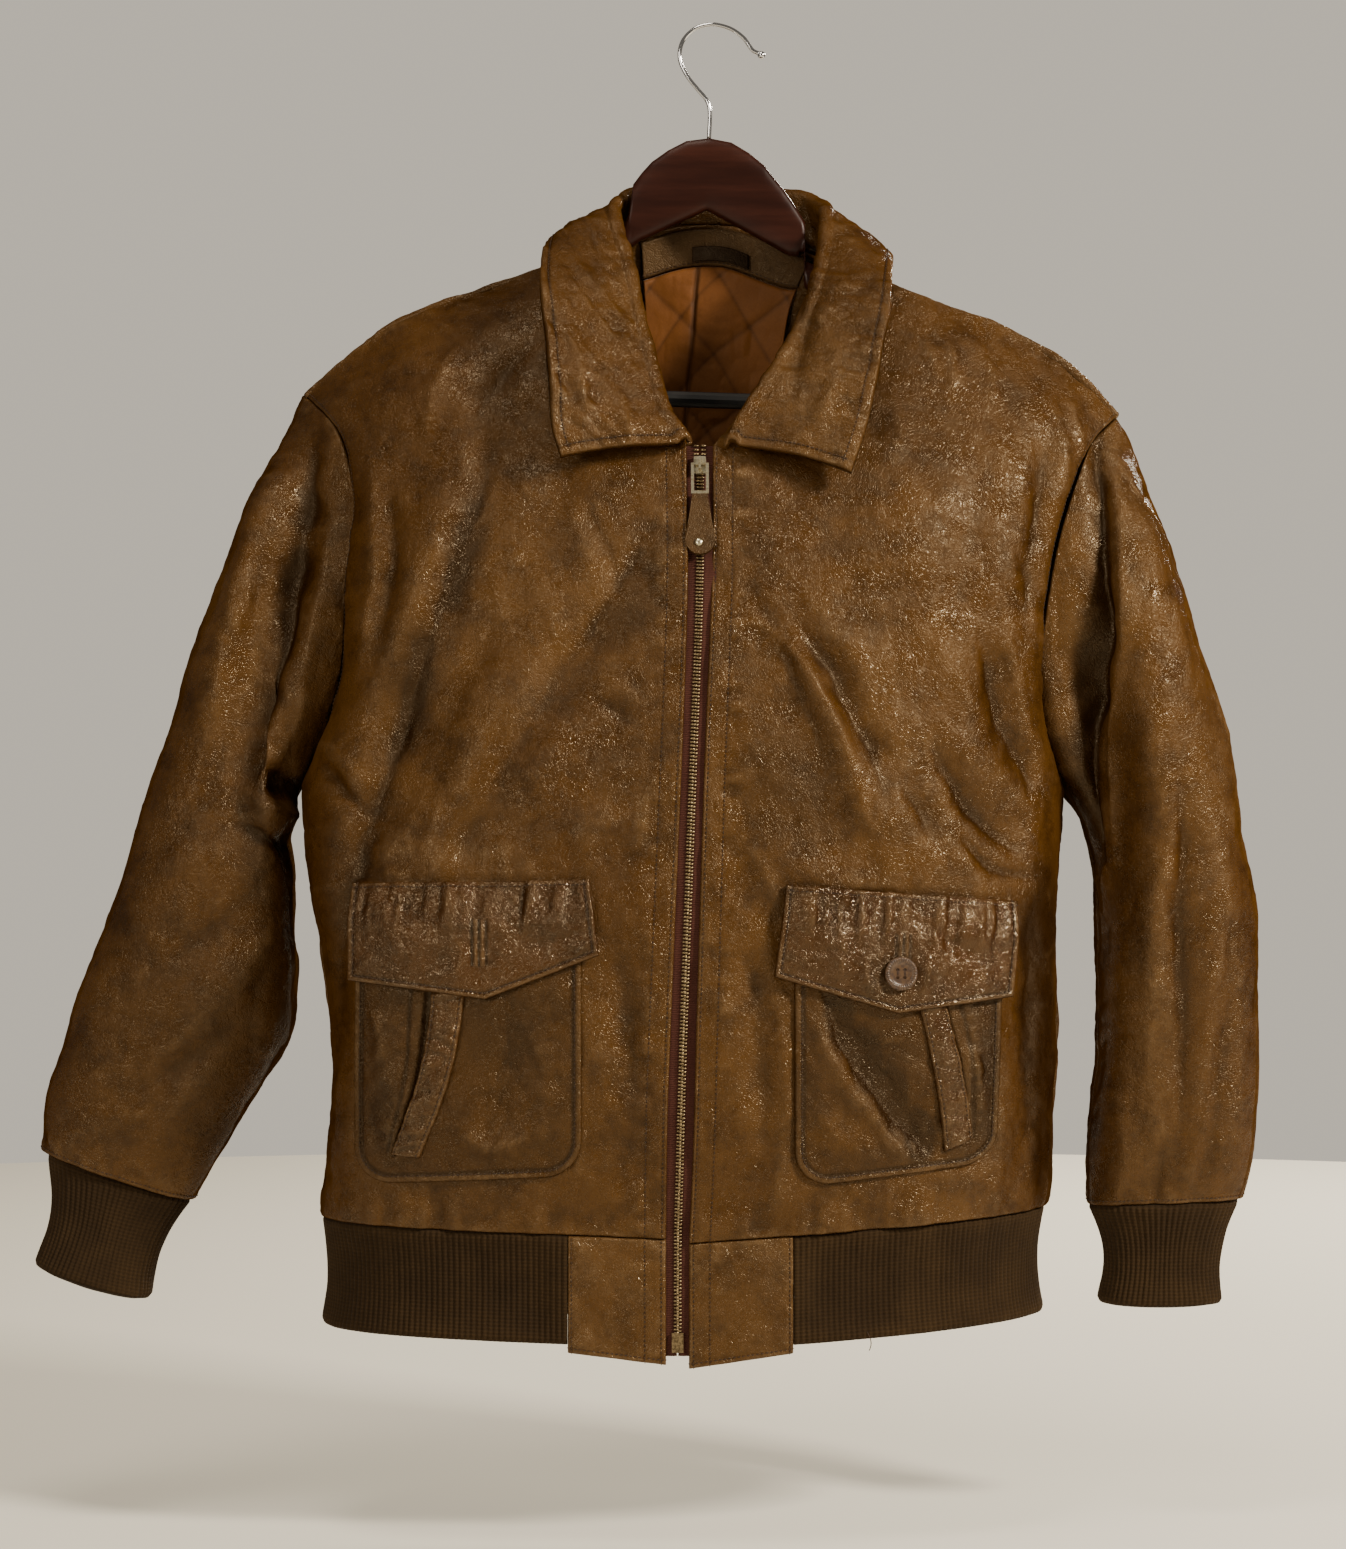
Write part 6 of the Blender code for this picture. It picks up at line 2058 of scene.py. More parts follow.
@dataclass
class Workshop:
    """What every sub-assembly shares: the finishes, the stitch lines so far and what is made."""

    finishes: dict[str, Material]
    along: Along = field(default_factory=Along)
    stitches: dict[str, list[Grid]] = field(default_factory=dict)
    made: dict[str, Thing] = field(default_factory=dict)

    def attach(
        self, obj: Thing, slot: str, replaced: Sequence[str] = (), body: str = "jacket"
    ) -> None:
        """Puts a piece on its body, in place of the plain solids.

        Args:
            obj: The piece.
            slot: The slot's name; not used.
            replaced: The nodes that it stands in for.
            body: The body that it moves with.
        """
        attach(obj, body)
        if replaced:
            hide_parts(*replaced)
        self.made[obj.name] = obj

    def sew(
        self, cloth: Cloth, finish: str = "leather", held: str = "hung", rests_on: str = "hanger"
    ) -> None:
        """Builds a sewn piece and puts it on the jacket.

        Args:
            cloth: The piece; its name starts with its node's.
            finish: Its finish.
            held: How it is held; not used.
            rests_on: The nodes that it rests on, in one string; not used.
        """
        obj = cloth.build(self.finishes[finish])
        slot = {"red leather": "leather", "facing leather": "dark_leather"}.get(finish, finish)
        self.attach(obj, slot.replace(" ", "_"), [cloth.name.rsplit("_", 1)[0]])
        width, length = cloth.size()

    def stitch(self, name: str, *lines: Grid) -> None:
        """Notes lines of stitching, which finish_stitches sets."""
        self.stitches.setdefault(name, []).extend(lines)

    def finish_stitches(self) -> None:
        """Sets every noted line of stitching, one object for each group."""
        for name, lines in self.stitches.items():
            lines = [(line, np.zeros(3)) for line in lines]
            thread = self.finishes["thread"]
            made = self.along.set("stitching_" + name, lines, STITCH, STITCH_PITCH, thread)
            self.attach(made, "dark_leather")
            log.info("%s: %d faces", made.name, len(made.data.polygons))


def inside(places: Grid, corners: Sequence[Pairs], skip: int = 0) -> np.ndarray:
    """How far places lie inside a convex outline, leaving out its first skip edges.

    Args:
        places: Places in the front view.
        corners: The outline's corners, in turn.
        skip: How many of its first edges to leave out.

    Returns:
        A distance for each place.
    """
    corners = np.array(corners, float)
    middle, best = corners.mean(axis=0), np.full(places.shape[:-1], 9.0)
    for a, b in list(zip(corners, np.roll(corners, -1, axis=0)))[skip:]:
        across = unit(np.array([b[1] - a[1], a[0] - b[0]]))
        across = across * math.copysign(1, (middle - a) @ across)
        best = np.minimum(best, (places - a) @ across)
    return best


def under_pocket(
    side: Side, points: Grid, normals: Grid, start: float = -0.004, reach: float = 0.006
) -> np.ndarray:
    """1 where a pocket or its flap lies over the front; it rises over reach from start.

    Args:
        side: The wearer's side.
        points: The front's points.
        normals: Their normals.
        start: How far inside the outline the rise starts.
        reach: How far the rise takes.

    Returns:
        A share for each point.
    """
    plan = POCKET[side]
    outline = (*plan["bottom"], plan["top"][1], plan["top"][0])
    flap = (*plan["flap_bottom"], plan["flap_top"][1], plan["flap_top"][0])
    flat = points[..., [0, 2]]
    covered = np.maximum(inside(flat, outline), inside(flat, flap))
    return ease((covered - start) / reach) * (normals[..., 1] < 0)


# --- the torso and its sleeves
@dataclass
class Torso:
    """The two fronts and the back."""

    shop: Workshop
    step: float = 0.002
    back_step: float = 0.0031
    edge_stitch: float = 0.0024
    parallel_stitch: float = 0.0125  # the second line beside the zip

    def build(self) -> None:
        """Makes the three panels."""
        for side in Side:
            self.front(side)
        self.back()

    def front(self, side: Side) -> None:
        """Makes one front, its zip edge pulled up by two lines of stitching.

        Args:
            side: The wearer's side.
        """
        name = "front_" + side.word
        levels, shares = edged(0.62, self.step * 1.15), edged(0.275, self.step)
        near = shares < 0.07
        dense = np.interp(ramp(4 * round(near.sum() / 2) + 1), ramp(near.sum()), shares[near])
        rest = shares[~near]
        spare = (len(dense) + len(rest) - 1) % 4
        shares = np.concatenate([dense, rest[spare:]]) if spare else np.concatenate([dense, rest])
        cloth = Cloth(name + "_hide", front_grid(side, levels, shares), LEATHER)
        zip_side = "right" if side is Side.RIGHT else "left"
        arm_side = "left" if side is Side.RIGHT else "right"
        seed = 11 if side is Side.RIGHT else 23
        cloth.crease(CREASES[name])
        cloth.mark(MARKS[name])
        cloth.swell(0.085, 0.0036, seed)
        cloth.swell(0.03, 0.0009, seed + 7)
        cloth.crumple(0.04, 0.0007, seed, 1.5)
        cloth.crumple(0.014, 0.00035, seed + 1, 1.3)
        cloth.crumple(0.0065, 0.0002, seed + 2)
        zip_share = np.minimum(levels / NECK, 1)[:, None]
        cloth.groove(zip_side, self.edge_stitch, 0.0005, 0.0009, seed)
        shown = zip_share < 1
        cloth.groove(zip_side, self.parallel_stitch, 0.0004 * shown, 0.002 * shown, seed + 1)
        cloth.groove(arm_side, 0.003, 0.0005, 0.0008, seed + 4)
        cloth.groove("low", 0.003, 0.0004, 0.0008, seed + 5)
        cloth.gather("low", 0.0018, seed + 9)
        cloth.groove("high", 0.003, 0.0004, 0.0008, seed + 6)
        cloth.height *= 1 - 0.9 * under_pocket(side, cloth.grid, cloth.normals)
        # Out of sight, the front stands back to leave room for the pocket's folds.
        cloth.height -= 0.0045 * under_pocket(side, cloth.grid, cloth.normals, 0.003, 0.01)
        self.pucker_over_flap(cloth, side, seed)
        cloth.turn_edges("left right low high", 0.0016, 0.75)
        self.shop.sew(cloth)
        length = cloth.up[-1].mean()
        self.shop.stitch(
            "fronts",
            cloth.line(zip_side, self.edge_stitch),
            cloth.line(zip_side, self.parallel_stitch, end=length * (1 - NECK)),
            cloth.line(arm_side, 0.003, start=length * ARM * 1.02),
        )

    def pucker_over_flap(self, cloth: Cloth, side: Side, seed: int) -> None:
        """Gathers the front in short upright folds just above the flap's seam.

        Args:
            cloth: The front.
            side: The wearer's side.
            seed: Picks its noise.
        """
        (x0, z0), (x1, z1) = POCKET[side]["flap_top"]
        x, z = cloth.grid[..., 0], cloth.grid[..., 2]
        share = np.clip((x - x0) / (x1 - x0), 0, 1)
        above = z - (z0 + (z1 - z0) * share)
        over = ease((x - x0) / 0.01) * ease((x1 - x) / 0.01) * (cloth.normals[..., 1] < 0)
        folds = folded(x / 0.007, above / 0.02, seed + 8, -0.3)
        cloth.height += 0.0011 * folds * bell(above - 0.006, 0.006) * over
        cloth.height -= 0.0007 * bell(above - 0.001, 0.0016) * over

    def back(self) -> None:
        """Makes the back, one hide from hem to neck."""
        grid = back_grid(edged(0.64, self.back_step), edged(0.6, self.back_step))
        cloth = Cloth("back_hide", grid, LEATHER)
        cloth.crease(CREASES["back"])
        cloth.mark(MARKS["back"])
        cloth.swell(0.09, 0.0042, 41)
        cloth.crumple(0.042, 0.0007, 42, 1.4)
        cloth.crumple(0.014, 0.00035, 48, 1.2)
        cloth.crumple(0.009, 0.0002, 43)
        for edge, seed in (("left", 44), ("right", 45), ("low", 46), ("high", 47)):
            cloth.groove(edge, 0.0035, 0.0005, 0.0008, seed)
        cloth.gather("low", 0.0018, 49)
        cloth.turn_edges("left right low high", 0.0016, 0.75)
        self.shop.sew(cloth)
        top = cloth.line("high", 0.003)
        shoulder = np.abs(top[:, 0]) > 0.095
        left, right = top[shoulder & (top[:, 0] > 0)], top[shoulder & (top[:, 0] < 0)]
        self.shop.stitch("back", left, right)


@dataclass
class Sleeves:
    """Both sleeves and their knitted cuffs."""

    shop: Workshop
    step: float = 0.0025
    ribs: int = 62
    rib_points: int = 8

    def build(self) -> None:
        """Makes each sleeve and its cuff."""
        for side, seed in ((Side.RIGHT, 61), (Side.LEFT, 71)):
            self.sleeve(side, seed)
            self.cuff(side, seed)

    def sleeve(self, side: Side, seed: int) -> None:
        """Makes a sleeve, its seams sunk at the armhole and the cuff.

        Args:
            side: The wearer's side.
            seed: Picks its noise.
        """
        name = "sleeve_" + side.word
        levels = 1 - edged(0.5, self.step)
        cloth = Cloth(name + "_hide", sleeve_grid(side, levels, 76), LEATHER, True)
        cloth.crease(CREASES[name])
        cloth.mark(MARKS[name])
        cloth.swell(0.075, 0.004, seed)
        cloth.crumple(0.034, 0.0008, seed + 1, 1.6)
        cloth.crumple(0.014, 0.00035, seed + 5)
        cloth.crumple(0.008, 0.00022, seed + 2)
        cloth.groove("low", 0.0035, 0.0006, 0.002, seed + 3)
        cloth.groove("high", 0.0035, 0.0004, 0.0008, seed + 4)
        cloth.turn_edges("low high", 0.0018, 0.75)
        self.seam(cloth)
        self.shop.sew(cloth)
        self.shop.stitch("sleeves", cloth.line("low", 0.003))

    def seam(self, cloth: Cloth) -> None:
        """Sinks the seams that run down the back of the sleeve and under the arm.

        Args:
            cloth: The sleeve.
        """
        columns = cloth.height.shape[1]
        place = np.arange(columns) / columns
        for at in (0.5, 0.94):
            away = np.abs((place - at + 0.5) % 1 - 0.5) * cloth.size()[0]
            cloth.height -= 0.0012 * bell(away, 0.0012)[None]
            cloth.edge = np.maximum(cloth.edge, 0.7 * bell(away - 0.003, 0.0025)[None])

    def cuff(self, side: Side, seed: int) -> None:
        """Makes a cuff of upright knitted ribs.

        Args:
            side: The wearer's side.
            seed: Picks its noise.
        """
        name = "cuff_" + side.word
        steps = self.ribs * self.rib_points // 2
        cloth = Cloth(name + "_knit", cuff_grid(side, 1 - ramp(29), steps), KNIT, True)
        knit_ribs(cloth, self.ribs, self.rib_points, seed)
        self.shop.sew(cloth, "rib knit", "gathered", "sleeve_" + side.word)


def knit_ribs(cloth: Cloth, ribs: int, points: int, seed: int) -> None:
    """Raises upright ribs, a little uneven, that flatten where the knit is sewn on.

    Args:
        cloth: The piece to shape.
        ribs: How many ribs go round.
        points: Points across one rib.
        seed: Picks its noise.
    """
    columns = cloth.height.shape[1]
    phase = (np.arange(columns) % points) / points
    rib = (0.5 - 0.5 * np.cos(math.tau * phase)) ** 0.7
    which = np.arange(columns) // points
    strength = 0.85 + 0.15 * lattice(which[:, None], seed)
    rise = cloth.up / cloth.up[-1].mean()
    grip = ease(np.minimum(rise, 1 - rise) / 0.05) * 0.5 + 0.5
    cloth.height += 0.0011 * (rib * strength)[None] * grip - 0.001
    cloth.height += 0.0012 * octaves(cloth.grid / 0.03, seed + 1, 2)
    cloth.height -= 0.0012 * bell(np.minimum(cloth.up, cloth.up[-1] - cloth.up), 0.0012)
    cloth.edge = np.maximum(cloth.edge, 0.8 * bell(cloth.up, 0.003))
    cloth.stain += 0.25 * octaves(cloth.grid / 0.025, seed + 2, 3)


@dataclass
class Waistband:
    """The knitted band from tab to tab round the back, and the two leather tabs at the zip."""

    shop: Workshop
    drop: float = 0.064
    tab_drops: Pairs = (0.069, 0.074)
    rib_pitch: float = 0.0034
    rib_points: int = 6
    thread_x: float = 0.087
    thread_drop: float = 0.011

    def hem(self, side: Side, x_from: float, x_to: float, count: int) -> Grid:
        """Points of a front's hem between two places across the front view.

        Args:
            side: The wearer's side.
            x_from: Where the first point lies.
            x_to: Where the last point lies.
            count: How many points.

        Returns:
            The points.
        """
        line = front_row(side, 0.0, ramp(600))
        order = np.argsort(line[:, 0])
        xs = np.linspace(x_from, x_to, count)
        return linearly(line[order, 0], line[order], xs)

    def build(self) -> None:
        """Makes the band and both tabs."""
        lines = {}
        for side in Side:
            line = front_row(side, 0.0, ramp(600))
            past = line[:, 0] * side.value > TAB_EDGE[side] * side.value
            lines[side] = line[past]
        behind = back_grid(np.array([0.0]), ramp(300))[0]
        # From the tab at the wearer's right, outward is on the left of the way round the back.
        route = np.concatenate([lines[Side.LEFT], behind[1:-1], lines[Side.RIGHT][::-1]])
        length = np.linalg.norm(np.diff(route, axis=0), axis=1).sum()
        ribs = round(length / self.rib_pitch / 2) * 2
        top = evenly(route, ramp(ribs * self.rib_points + 1))
        rows = np.linspace(1, 0, 25)
        grid = np.array([top - np.array([0, 0, SEAM + self.drop * t]) for t in rows])
        cloth = Cloth("waistband_knit", grid, KNIT)
        pull = 0.0045 * np.sin(math.pi * (1 - rows)) ** 0.8
        to_end = np.minimum(cloth.across, cloth.across[:, -1:] - cloth.across)
        cloth.height -= pull[:, None] * ease(to_end / 0.02)
        knit_ribs(cloth, ribs, self.rib_points, 81)
        self.shop.sew(cloth, "rib knit", "gathered", "front_left front_right back")
        self.loose_thread(cloth)
        for side in Side:
            self.tab(side)

    def loose_thread(self, cloth: Cloth) -> None:
        """Hangs a short broken thread from the band's lower edge.

        Args:
            cloth: The band.
        """
        edge = cloth.place()[0]
        ahead = np.flatnonzero(cloth.normals[0, :, 1] < -0.3)
        start = edge[ahead[np.argmin(np.abs(edge[ahead, 0] - self.thread_x))]]
        start = start + np.array([0, -0.0004, 0.004])
        share = ramp(24)[:, None]
        sway, bow = 0.0022 * np.sin(2.6 * share), -0.0012 * np.sin(math.pi * share)
        bend = np.hstack([sway, bow, -self.thread_drop * share])
        turn = circle(6)
        ring = 0.00028 * np.stack([np.cos(turn), np.sin(turn), 0 * turn], axis=1)
        rings = (start + bend)[:, None] + ring[None]
        made = tube("loose_thread", rings, self.shop.finishes["thread"])
        self.shop.attach(made, "rib_knit")

    def tab(self, side: Side) -> None:
        """Makes a doubled leather tab with its stitching.

        Args:
            side: The wearer's side.
        """
        zip_x = ZIP_EDGE[side].rows[0, 1]
        ends = sorted((TAB_EDGE[side], zip_x))
        shares = edged(abs(ends[1] - ends[0]), 0.0016)
        points = self.hem(side, *ends, len(shares))
        points = evenly(points, shares)
        drops = np.interp(shares, (0, 1), self.tab_drops[:: side.value * -1])
        rows = 1 - edged(0.07, 0.0016)
        grid = np.array([points - np.array([0, 0, 1]) * (SEAM + drops * t)[:, None] for t in rows])
        cloth = Cloth(f"tab_{side.word}_hide", grid, DOUBLED)
        seed = 91 if side is Side.RIGHT else 95
        cloth.swell(0.03, 0.001, seed)
        cloth.crumple(0.014, 0.0004, seed + 1)
        zip_side, knit_side = ("right", "left") if side is Side.RIGHT else ("left", "right")
        cloth.groove(zip_side, 0.0028, 0.0005, 0.0006, seed + 2)
        cloth.groove(knit_side, 0.0022, 0.0005, 0.0009, seed + 2)
        cloth.groove("low", 0.003, 0.0005, 0.0006, seed + 2)
        cloth.groove("high", 0.003, 0.0005, 0.0011, seed + 2)
        cloth.groove(zip_side, 0.0125, 0.0004, 0.0009, seed + 3)
        cloth.turn_edges("left right low high", 0.0018, 1.0)
        cloth.stain += 0.25 + 0.45 * octaves(grid / 0.018, 9)
        self.shop.sew(cloth, "leather", "stretched", "front_" + side.word)
        sewn = ((zip_side, 0.0028), (knit_side, 0.0022), ("low", 0.003), (zip_side, 0.0125))
        self.shop.stitch("tabs", *(cloth.line(*place) for place in sewn))


TAB_EDGE = {Side.RIGHT: -0.09, Side.LEFT: 0.043}  # where each leather tab meets the knit


# --- collar and neck
@dataclass
class Collar:
    """The big pointed collar, its edge topstitched and rubbed."""

    shop: Workshop

    def build(self) -> None:
        """Makes the collar in one hide."""
        stations = edged(0.44, 0.0022, True, False)
        falls = edged(0.105, 0.0022, False, True)
        falls = falls[1:]
        grid = collar_grid(stations, falls, 8, 9)
        spare = (grid.shape[1] - 1) % 4
        grid = grid[::-1, spare:] if spare else grid[::-1]
        rows = (len(grid) - 1) // 4 * 4 + 1
        if rows != len(grid):
            grid = np.concatenate([grid[: rows - 1], grid[-1:]])
        grid = grid + normals_of(grid) * DOUBLED / 2
        cloth = Cloth("collar_hide", grid, DOUBLED)
        fall = ease((cloth.across - 0.03) / 0.02)
        cloth.height += fall * 0.0022 * octaves(cloth.grid / 0.055, 101, 3)
        flat = np.stack([cloth.across / 0.045, cloth.up / 0.017], axis=-1)
        cloth.height += fall * 0.0007 * wrinkled(flat, 102)
        cloth.crumple(0.022, 0.0009, 106)
        cloth.crumple(0.009, 0.0004, 103)
        cloth.crease(CREASES["collar"])
        cloth.mark(MARKS["collar"])
        for edge, pucker in (("right", 0.0007), ("low", 0.0008), ("high", 0.0008)):
            cloth.groove(edge, 0.006, 0.0006, pucker, 104)
            away, rubbed = cloth.inward(edge), 0.5 + octaves(cloth.grid / 0.02, 105)
            cloth.stain += 0.24 * bell(away - 0.002, 0.003) * rubbed
            cloth.stain -= 0.6 * bell(away - 0.006, 0.0012)
        cloth.turn_edges("left right low high", 0.0018, 0.55, 0.0022)
        self.shop.sew(cloth, "leather", "folded", "front_left front_right back")
        for edge, start in (("right", 0.006), ("low", 0.02), ("high", 0.02)):
            self.shop.stitch("collar", cloth.line(edge, 0.006, start=start, end=0.006))


@dataclass
class Neck:
    """Inside the back neck: the dark leather facing, its hanging loop, and the quilted lining."""

    shop: Workshop
    facing_gap: float = 0.0031  # between the back and the facing
    lining_gap: float = 0.0042
    facing: Pairs = (0.003, 0.026)  # from and to, below the neck seam
    lining: Pairs = (0.0266, 0.18)
    loop: tuple[float, float, float] = (0.036, 0.009, 0.0014)
    quilt: float = 0.034
    seam_at: float = 0.014

    def below(self, gap: float, depths: np.ndarray, columns: int) -> Grid:
        """Points inside the back at depths below the neck seam, lowest first.

        Args:
            gap: From the back's inner face.
            depths: Depths below the seam, down the back.
            columns: Points across.

        Returns:
            The points.
        """
        back = back_grid(np.linspace(0.6, 1, 60), ramp(BACK_COLUMNS * 4 + 1))
        inner = back - normals_of(back) * (LEATHER + gap)
        start = (BACK_COLUMNS - BACK_NECK_COLUMNS) // 2 + 1
        own = np.linspace(4 * start, 4 * (start + BACK_NECK_COLUMNS - 2), columns)
        lines = []
        for j in own:
            low = int(min(j, inner.shape[1] - 2))
            column = (inner[:, low] * (1 - j + low) + inner[:, low + 1] * (j - low))[::-1]
            length = np.linalg.norm(np.diff(column, axis=0), axis=1).sum()
            lines.append(evenly(column, depths / length))
        return np.array(lines).transpose(1, 0, 2)[::-1, ::-1]

    def build(self) -> None:
        """Makes the facing, the lining and the loop."""
        depths = np.linspace(*self.facing, 17)
        inside_face = self.below(self.facing_gap, depths, 97)
        facing = Cloth("neck_facing_hide", inside_face + normals_of(inside_face) * LEATHER, LEATHER)
        facing.swell(0.03, 0.0004, 111)
        facing.crumple(0.012, 0.0002, 112)
        facing.groove("low", 0.0022, 0.0003, 0.0002, 113)
        facing.turn_edges("low", 0.0012, 0.7)
        self.shop.sew(facing, "facing leather", "stretched", "back")
        self.shop.stitch("neck", facing.line("low", 0.0022))
        depths = np.linspace(*self.lining, 105)
        inside_face = self.below(self.lining_gap, depths, 121)
        lining = Cloth("lining_satin", inside_face + normals_of(inside_face) * SATIN, SATIN)
        u, w = lining.across - lining.across[:, -1:] / 2, lining.up
        bend = 0.05 * octaves(lining.grid / 0.05, 123, 2)
        for slant in (1, -1):
            cell = ((w + slant * 1.1 * u) / self.quilt / 1.45 + bend) % 1
            lining.height += 0.0011 * (np.abs(np.sin(math.pi * cell)) ** 0.6 - 0.5)
            lining.stain -= 0.55 * bell(np.sin(math.pi * cell), 0.13)
        lining.height -= 0.0016 * bell(u + self.seam_at, 0.0013)
        lining.stain -= 1.0 * bell(u + self.seam_at, 0.0018)
        lining.swell(0.045, 0.0022, 121)
        lining.crumple(0.018, 0.0005, 122)
        lining.turn_edges("high low", 0.0012, 0.2)
        self.shop.sew(lining, "lining", "hung", "back")
        self.make_loop(facing)

    def make_loop(self, facing: Cloth) -> None:
        """Makes the flat loop, which is sewn down at its ends and stands off between them.

        Args:
            facing: The facing that it is sewn to.
        """
        width, height, thickness = self.loop
        shares = np.linspace(-1, 1, 41)
        edge = facing.grid[0]
        length = np.linalg.norm(np.diff(edge, axis=0), axis=1).sum()
        line = evenly(edge, 0.5 + shares * width / 2 / length)
        line[:, 1] -= 2 * LAID + 0.003 * np.cos(shares * math.pi / 2)
        rows = np.linspace(0.3, 1.3, 13)
        grid = np.array([line + np.array([0, -thickness, height * r]) for r in rows])
        cloth = Cloth("hang_loop_hide", grid, thickness)
        cloth.swell(0.02, 0.0004, 131)
        for edge in ("low", "high"):
            cloth.groove(edge, 0.0014, 0.0002)
        # The strip is built and attached on its own.
        made = cloth.build(self.shop.finishes["dark leather"])
        self.shop.attach(made, "dark_leather", ["hang_loop"])


# --- pockets
@dataclass
class Pockets:
    """The patch pockets with their slanted welts, their pointed flaps and the one button."""

    shop: Workshop
    rim: float = 0.0044  # width of the bound edge
    rim_rise: float = 0.0007
    pocket_step: float = 0.0013
    flap_step: float = 0.001
    stitch_in: float = 0.0034
    buttonholes: dict = field(
        default_factory=lambda: {
            Side.RIGHT: (-0.1409, -0.549, -0.1405, -0.5745),
            Side.LEFT: (0.1055, -0.5575, 0.105, -0.571),
        }
    )
    # How far each welt bends, and how wide each pocket stands open.
    bow: dict = field(default_factory=lambda: {Side.RIGHT: 0.005, Side.LEFT: 0.0018})
    gape: dict = field(default_factory=lambda: {Side.RIGHT: 0.0052, Side.LEFT: 0.0016})
    surfaces: dict = field(default_factory=dict)

    def build(self) -> None:
        """Makes both sides' pieces and the button."""
        for side, seed in ((Side.RIGHT, 141), (Side.LEFT, 161)):
            self.surfaces[side] = Surface(side)
            self.pocket(side, seed)
            self.welt(side, seed + 5)
            self.flap(side, seed + 9)
        self.button()

    def pocket(self, side: Side, seed: int) -> None:
        """Makes a patch pocket, its lower corners round and its edge bound.

        Args:
            side: The wearer's side.
            seed: Picks its noise.
        """
        plan = POCKET[side]
        width = plan["bottom"][1][0] - plan["bottom"][0][0]
        height = plan["top"][0][1] - plan["bottom"][0][1]
        a, b = edged(width, self.pocket_step), edged(height, self.pocket_step)
        to_side = np.minimum(a, 1 - a) * width
        short = np.clip(POCKET_CORNER - to_side, 0, POCKET_CORNER)
        start = (POCKET_CORNER - np.sqrt(POCKET_CORNER**2 - short**2)) / height
        up = start + (1 - start) * b[:, None]
        places = between(plan["bottom"], plan["top"], a, up)
        points, normals = self.surfaces[side].at(places)
        cloth = Cloth(f"pocket_{side.word}_hide", points + normals * (LAID + LEATHER), LEATHER)
        from_side = np.broadcast_to(to_side, up.shape)
        low = up * height
        round_it = POCKET_CORNER - np.hypot(POCKET_CORNER - from_side, POCKET_CORNER - low)
        in_corner = (from_side < POCKET_CORNER) & (low < POCKET_CORNER)
        away = np.where(in_corner, round_it, np.minimum(from_side, low))
        cloth.crease(CREASES["pocket_" + side.word])
        cloth.mark(MARKS["pocket_" + side.word])
        cloth.stain -= 0.42
        cloth.swell(0.045, 0.0016, seed)
        cloth.crumple(0.024, 0.0009, seed + 1)
        cloth.crumple(0.008, 0.0002, seed + 2)
        below_flap = plan["flap_bottom"][1][1] - places[..., 1]
        cloth.height = np.clip(cloth.height, -0.0048, 0.0008 + 0.003 * ease(below_flap / 0.01 + 1))
        cloth.height *= 0.15 + 0.85 * ease((away - self.rim) / 0.012)
        cloth.height += self.rim_rise * ease((self.rim - away) / 0.0012 + 0.5)
        cloth.height -= 0.0006 * bell(away - self.rim - 0.0004, 0.0009)
        cloth.stain -= 0.7 * bell(away - self.rim - 0.0004, 0.0013)
        self.mouth(cloth, places, side, seed + 4)
        gather = folded((cloth.across + cloth.up) / 0.0075, away / 0.02, seed + 3, -0.3)
        cloth.height += 0.0008 * gather * bell(away - self.rim - 0.005, 0.005)
        cloth.height -= rounded(away, 0.0018)
        cloth.edge = np.maximum(cloth.edge, 0.8 * bell(away - 0.0014, 0.002))
        self.shop.sew(cloth, "leather", "stretched", "front_" + side.word)
        self.outline_stitch(cloth, away, self.rim - 0.0004, "pockets")

    def mouth(self, cloth: Cloth, places: np.ndarray, side: Side, seed: int) -> None:
        """Opens the pocket's face beside the welt, painting the opening dark as shade, and sinks
        the seam on the opening's far side.

        Args:
            cloth: The pocket.
            places: x and z of its points.
            side: The wearer's side.
            seed: Picks its noise.
        """
        welt = [np.array(p) for p in POCKET[side]["welt"]]
        top, low = (welt[0], welt[1]) if side is Side.RIGHT else (welt[3], welt[2])
        run = low - top
        share, off = beside(places, top, run)
        off *= math.copysign(1, run[1]) * side.value
        off -= side.value * self.bow[side] * np.sin(math.pi * np.clip(share, 0, 1))
        shown = ease((share + 0.02) / 0.05) * ease((1.02 - share) / 0.05)
        wide = self.gape[side] * np.clip(1.15 - share, 0.12, 1)
        dark = ease((wide - off) / 0.0022) * ease((off + 0.004) / 0.002) * shown
        cloth.height -= 0.0024 * dark
        # Painted shade: the sunk opening is darkened as the shadow inside the pocket.
        cloth.stain -= 1.6 * dark
        seam = wide + 0.0072 * np.clip(1.2 - share, 0.2, 1)
        cloth.height -= 0.0009 * bell(off - seam, 0.001) * shown
        cloth.stain -= 0.5 * bell(off - seam, 0.0012) * shown
        puckers = folded(share * 0.1 / 0.0045, off / 0.03, seed, -0.3)
        cloth.height += 0.0011 * puckers * bell(off - seam - 0.004, 0.0035) * shown

    def outline_stitch(self, cloth: Cloth, away: np.ndarray, offset: float, group: str) -> None:
        """Notes a line of stitching at a distance inside a piece's outline.

        It is followed down the first side, along the bottom and up the last side.

        Args:
            cloth: The piece.
            away: How far each point lies inside its outline.
            offset: From the outline to the line.
            group: The stitch group's name.
        """
        face = cloth.place() + cloth.normals * 0.0003
        middle = face.shape[1] // 2

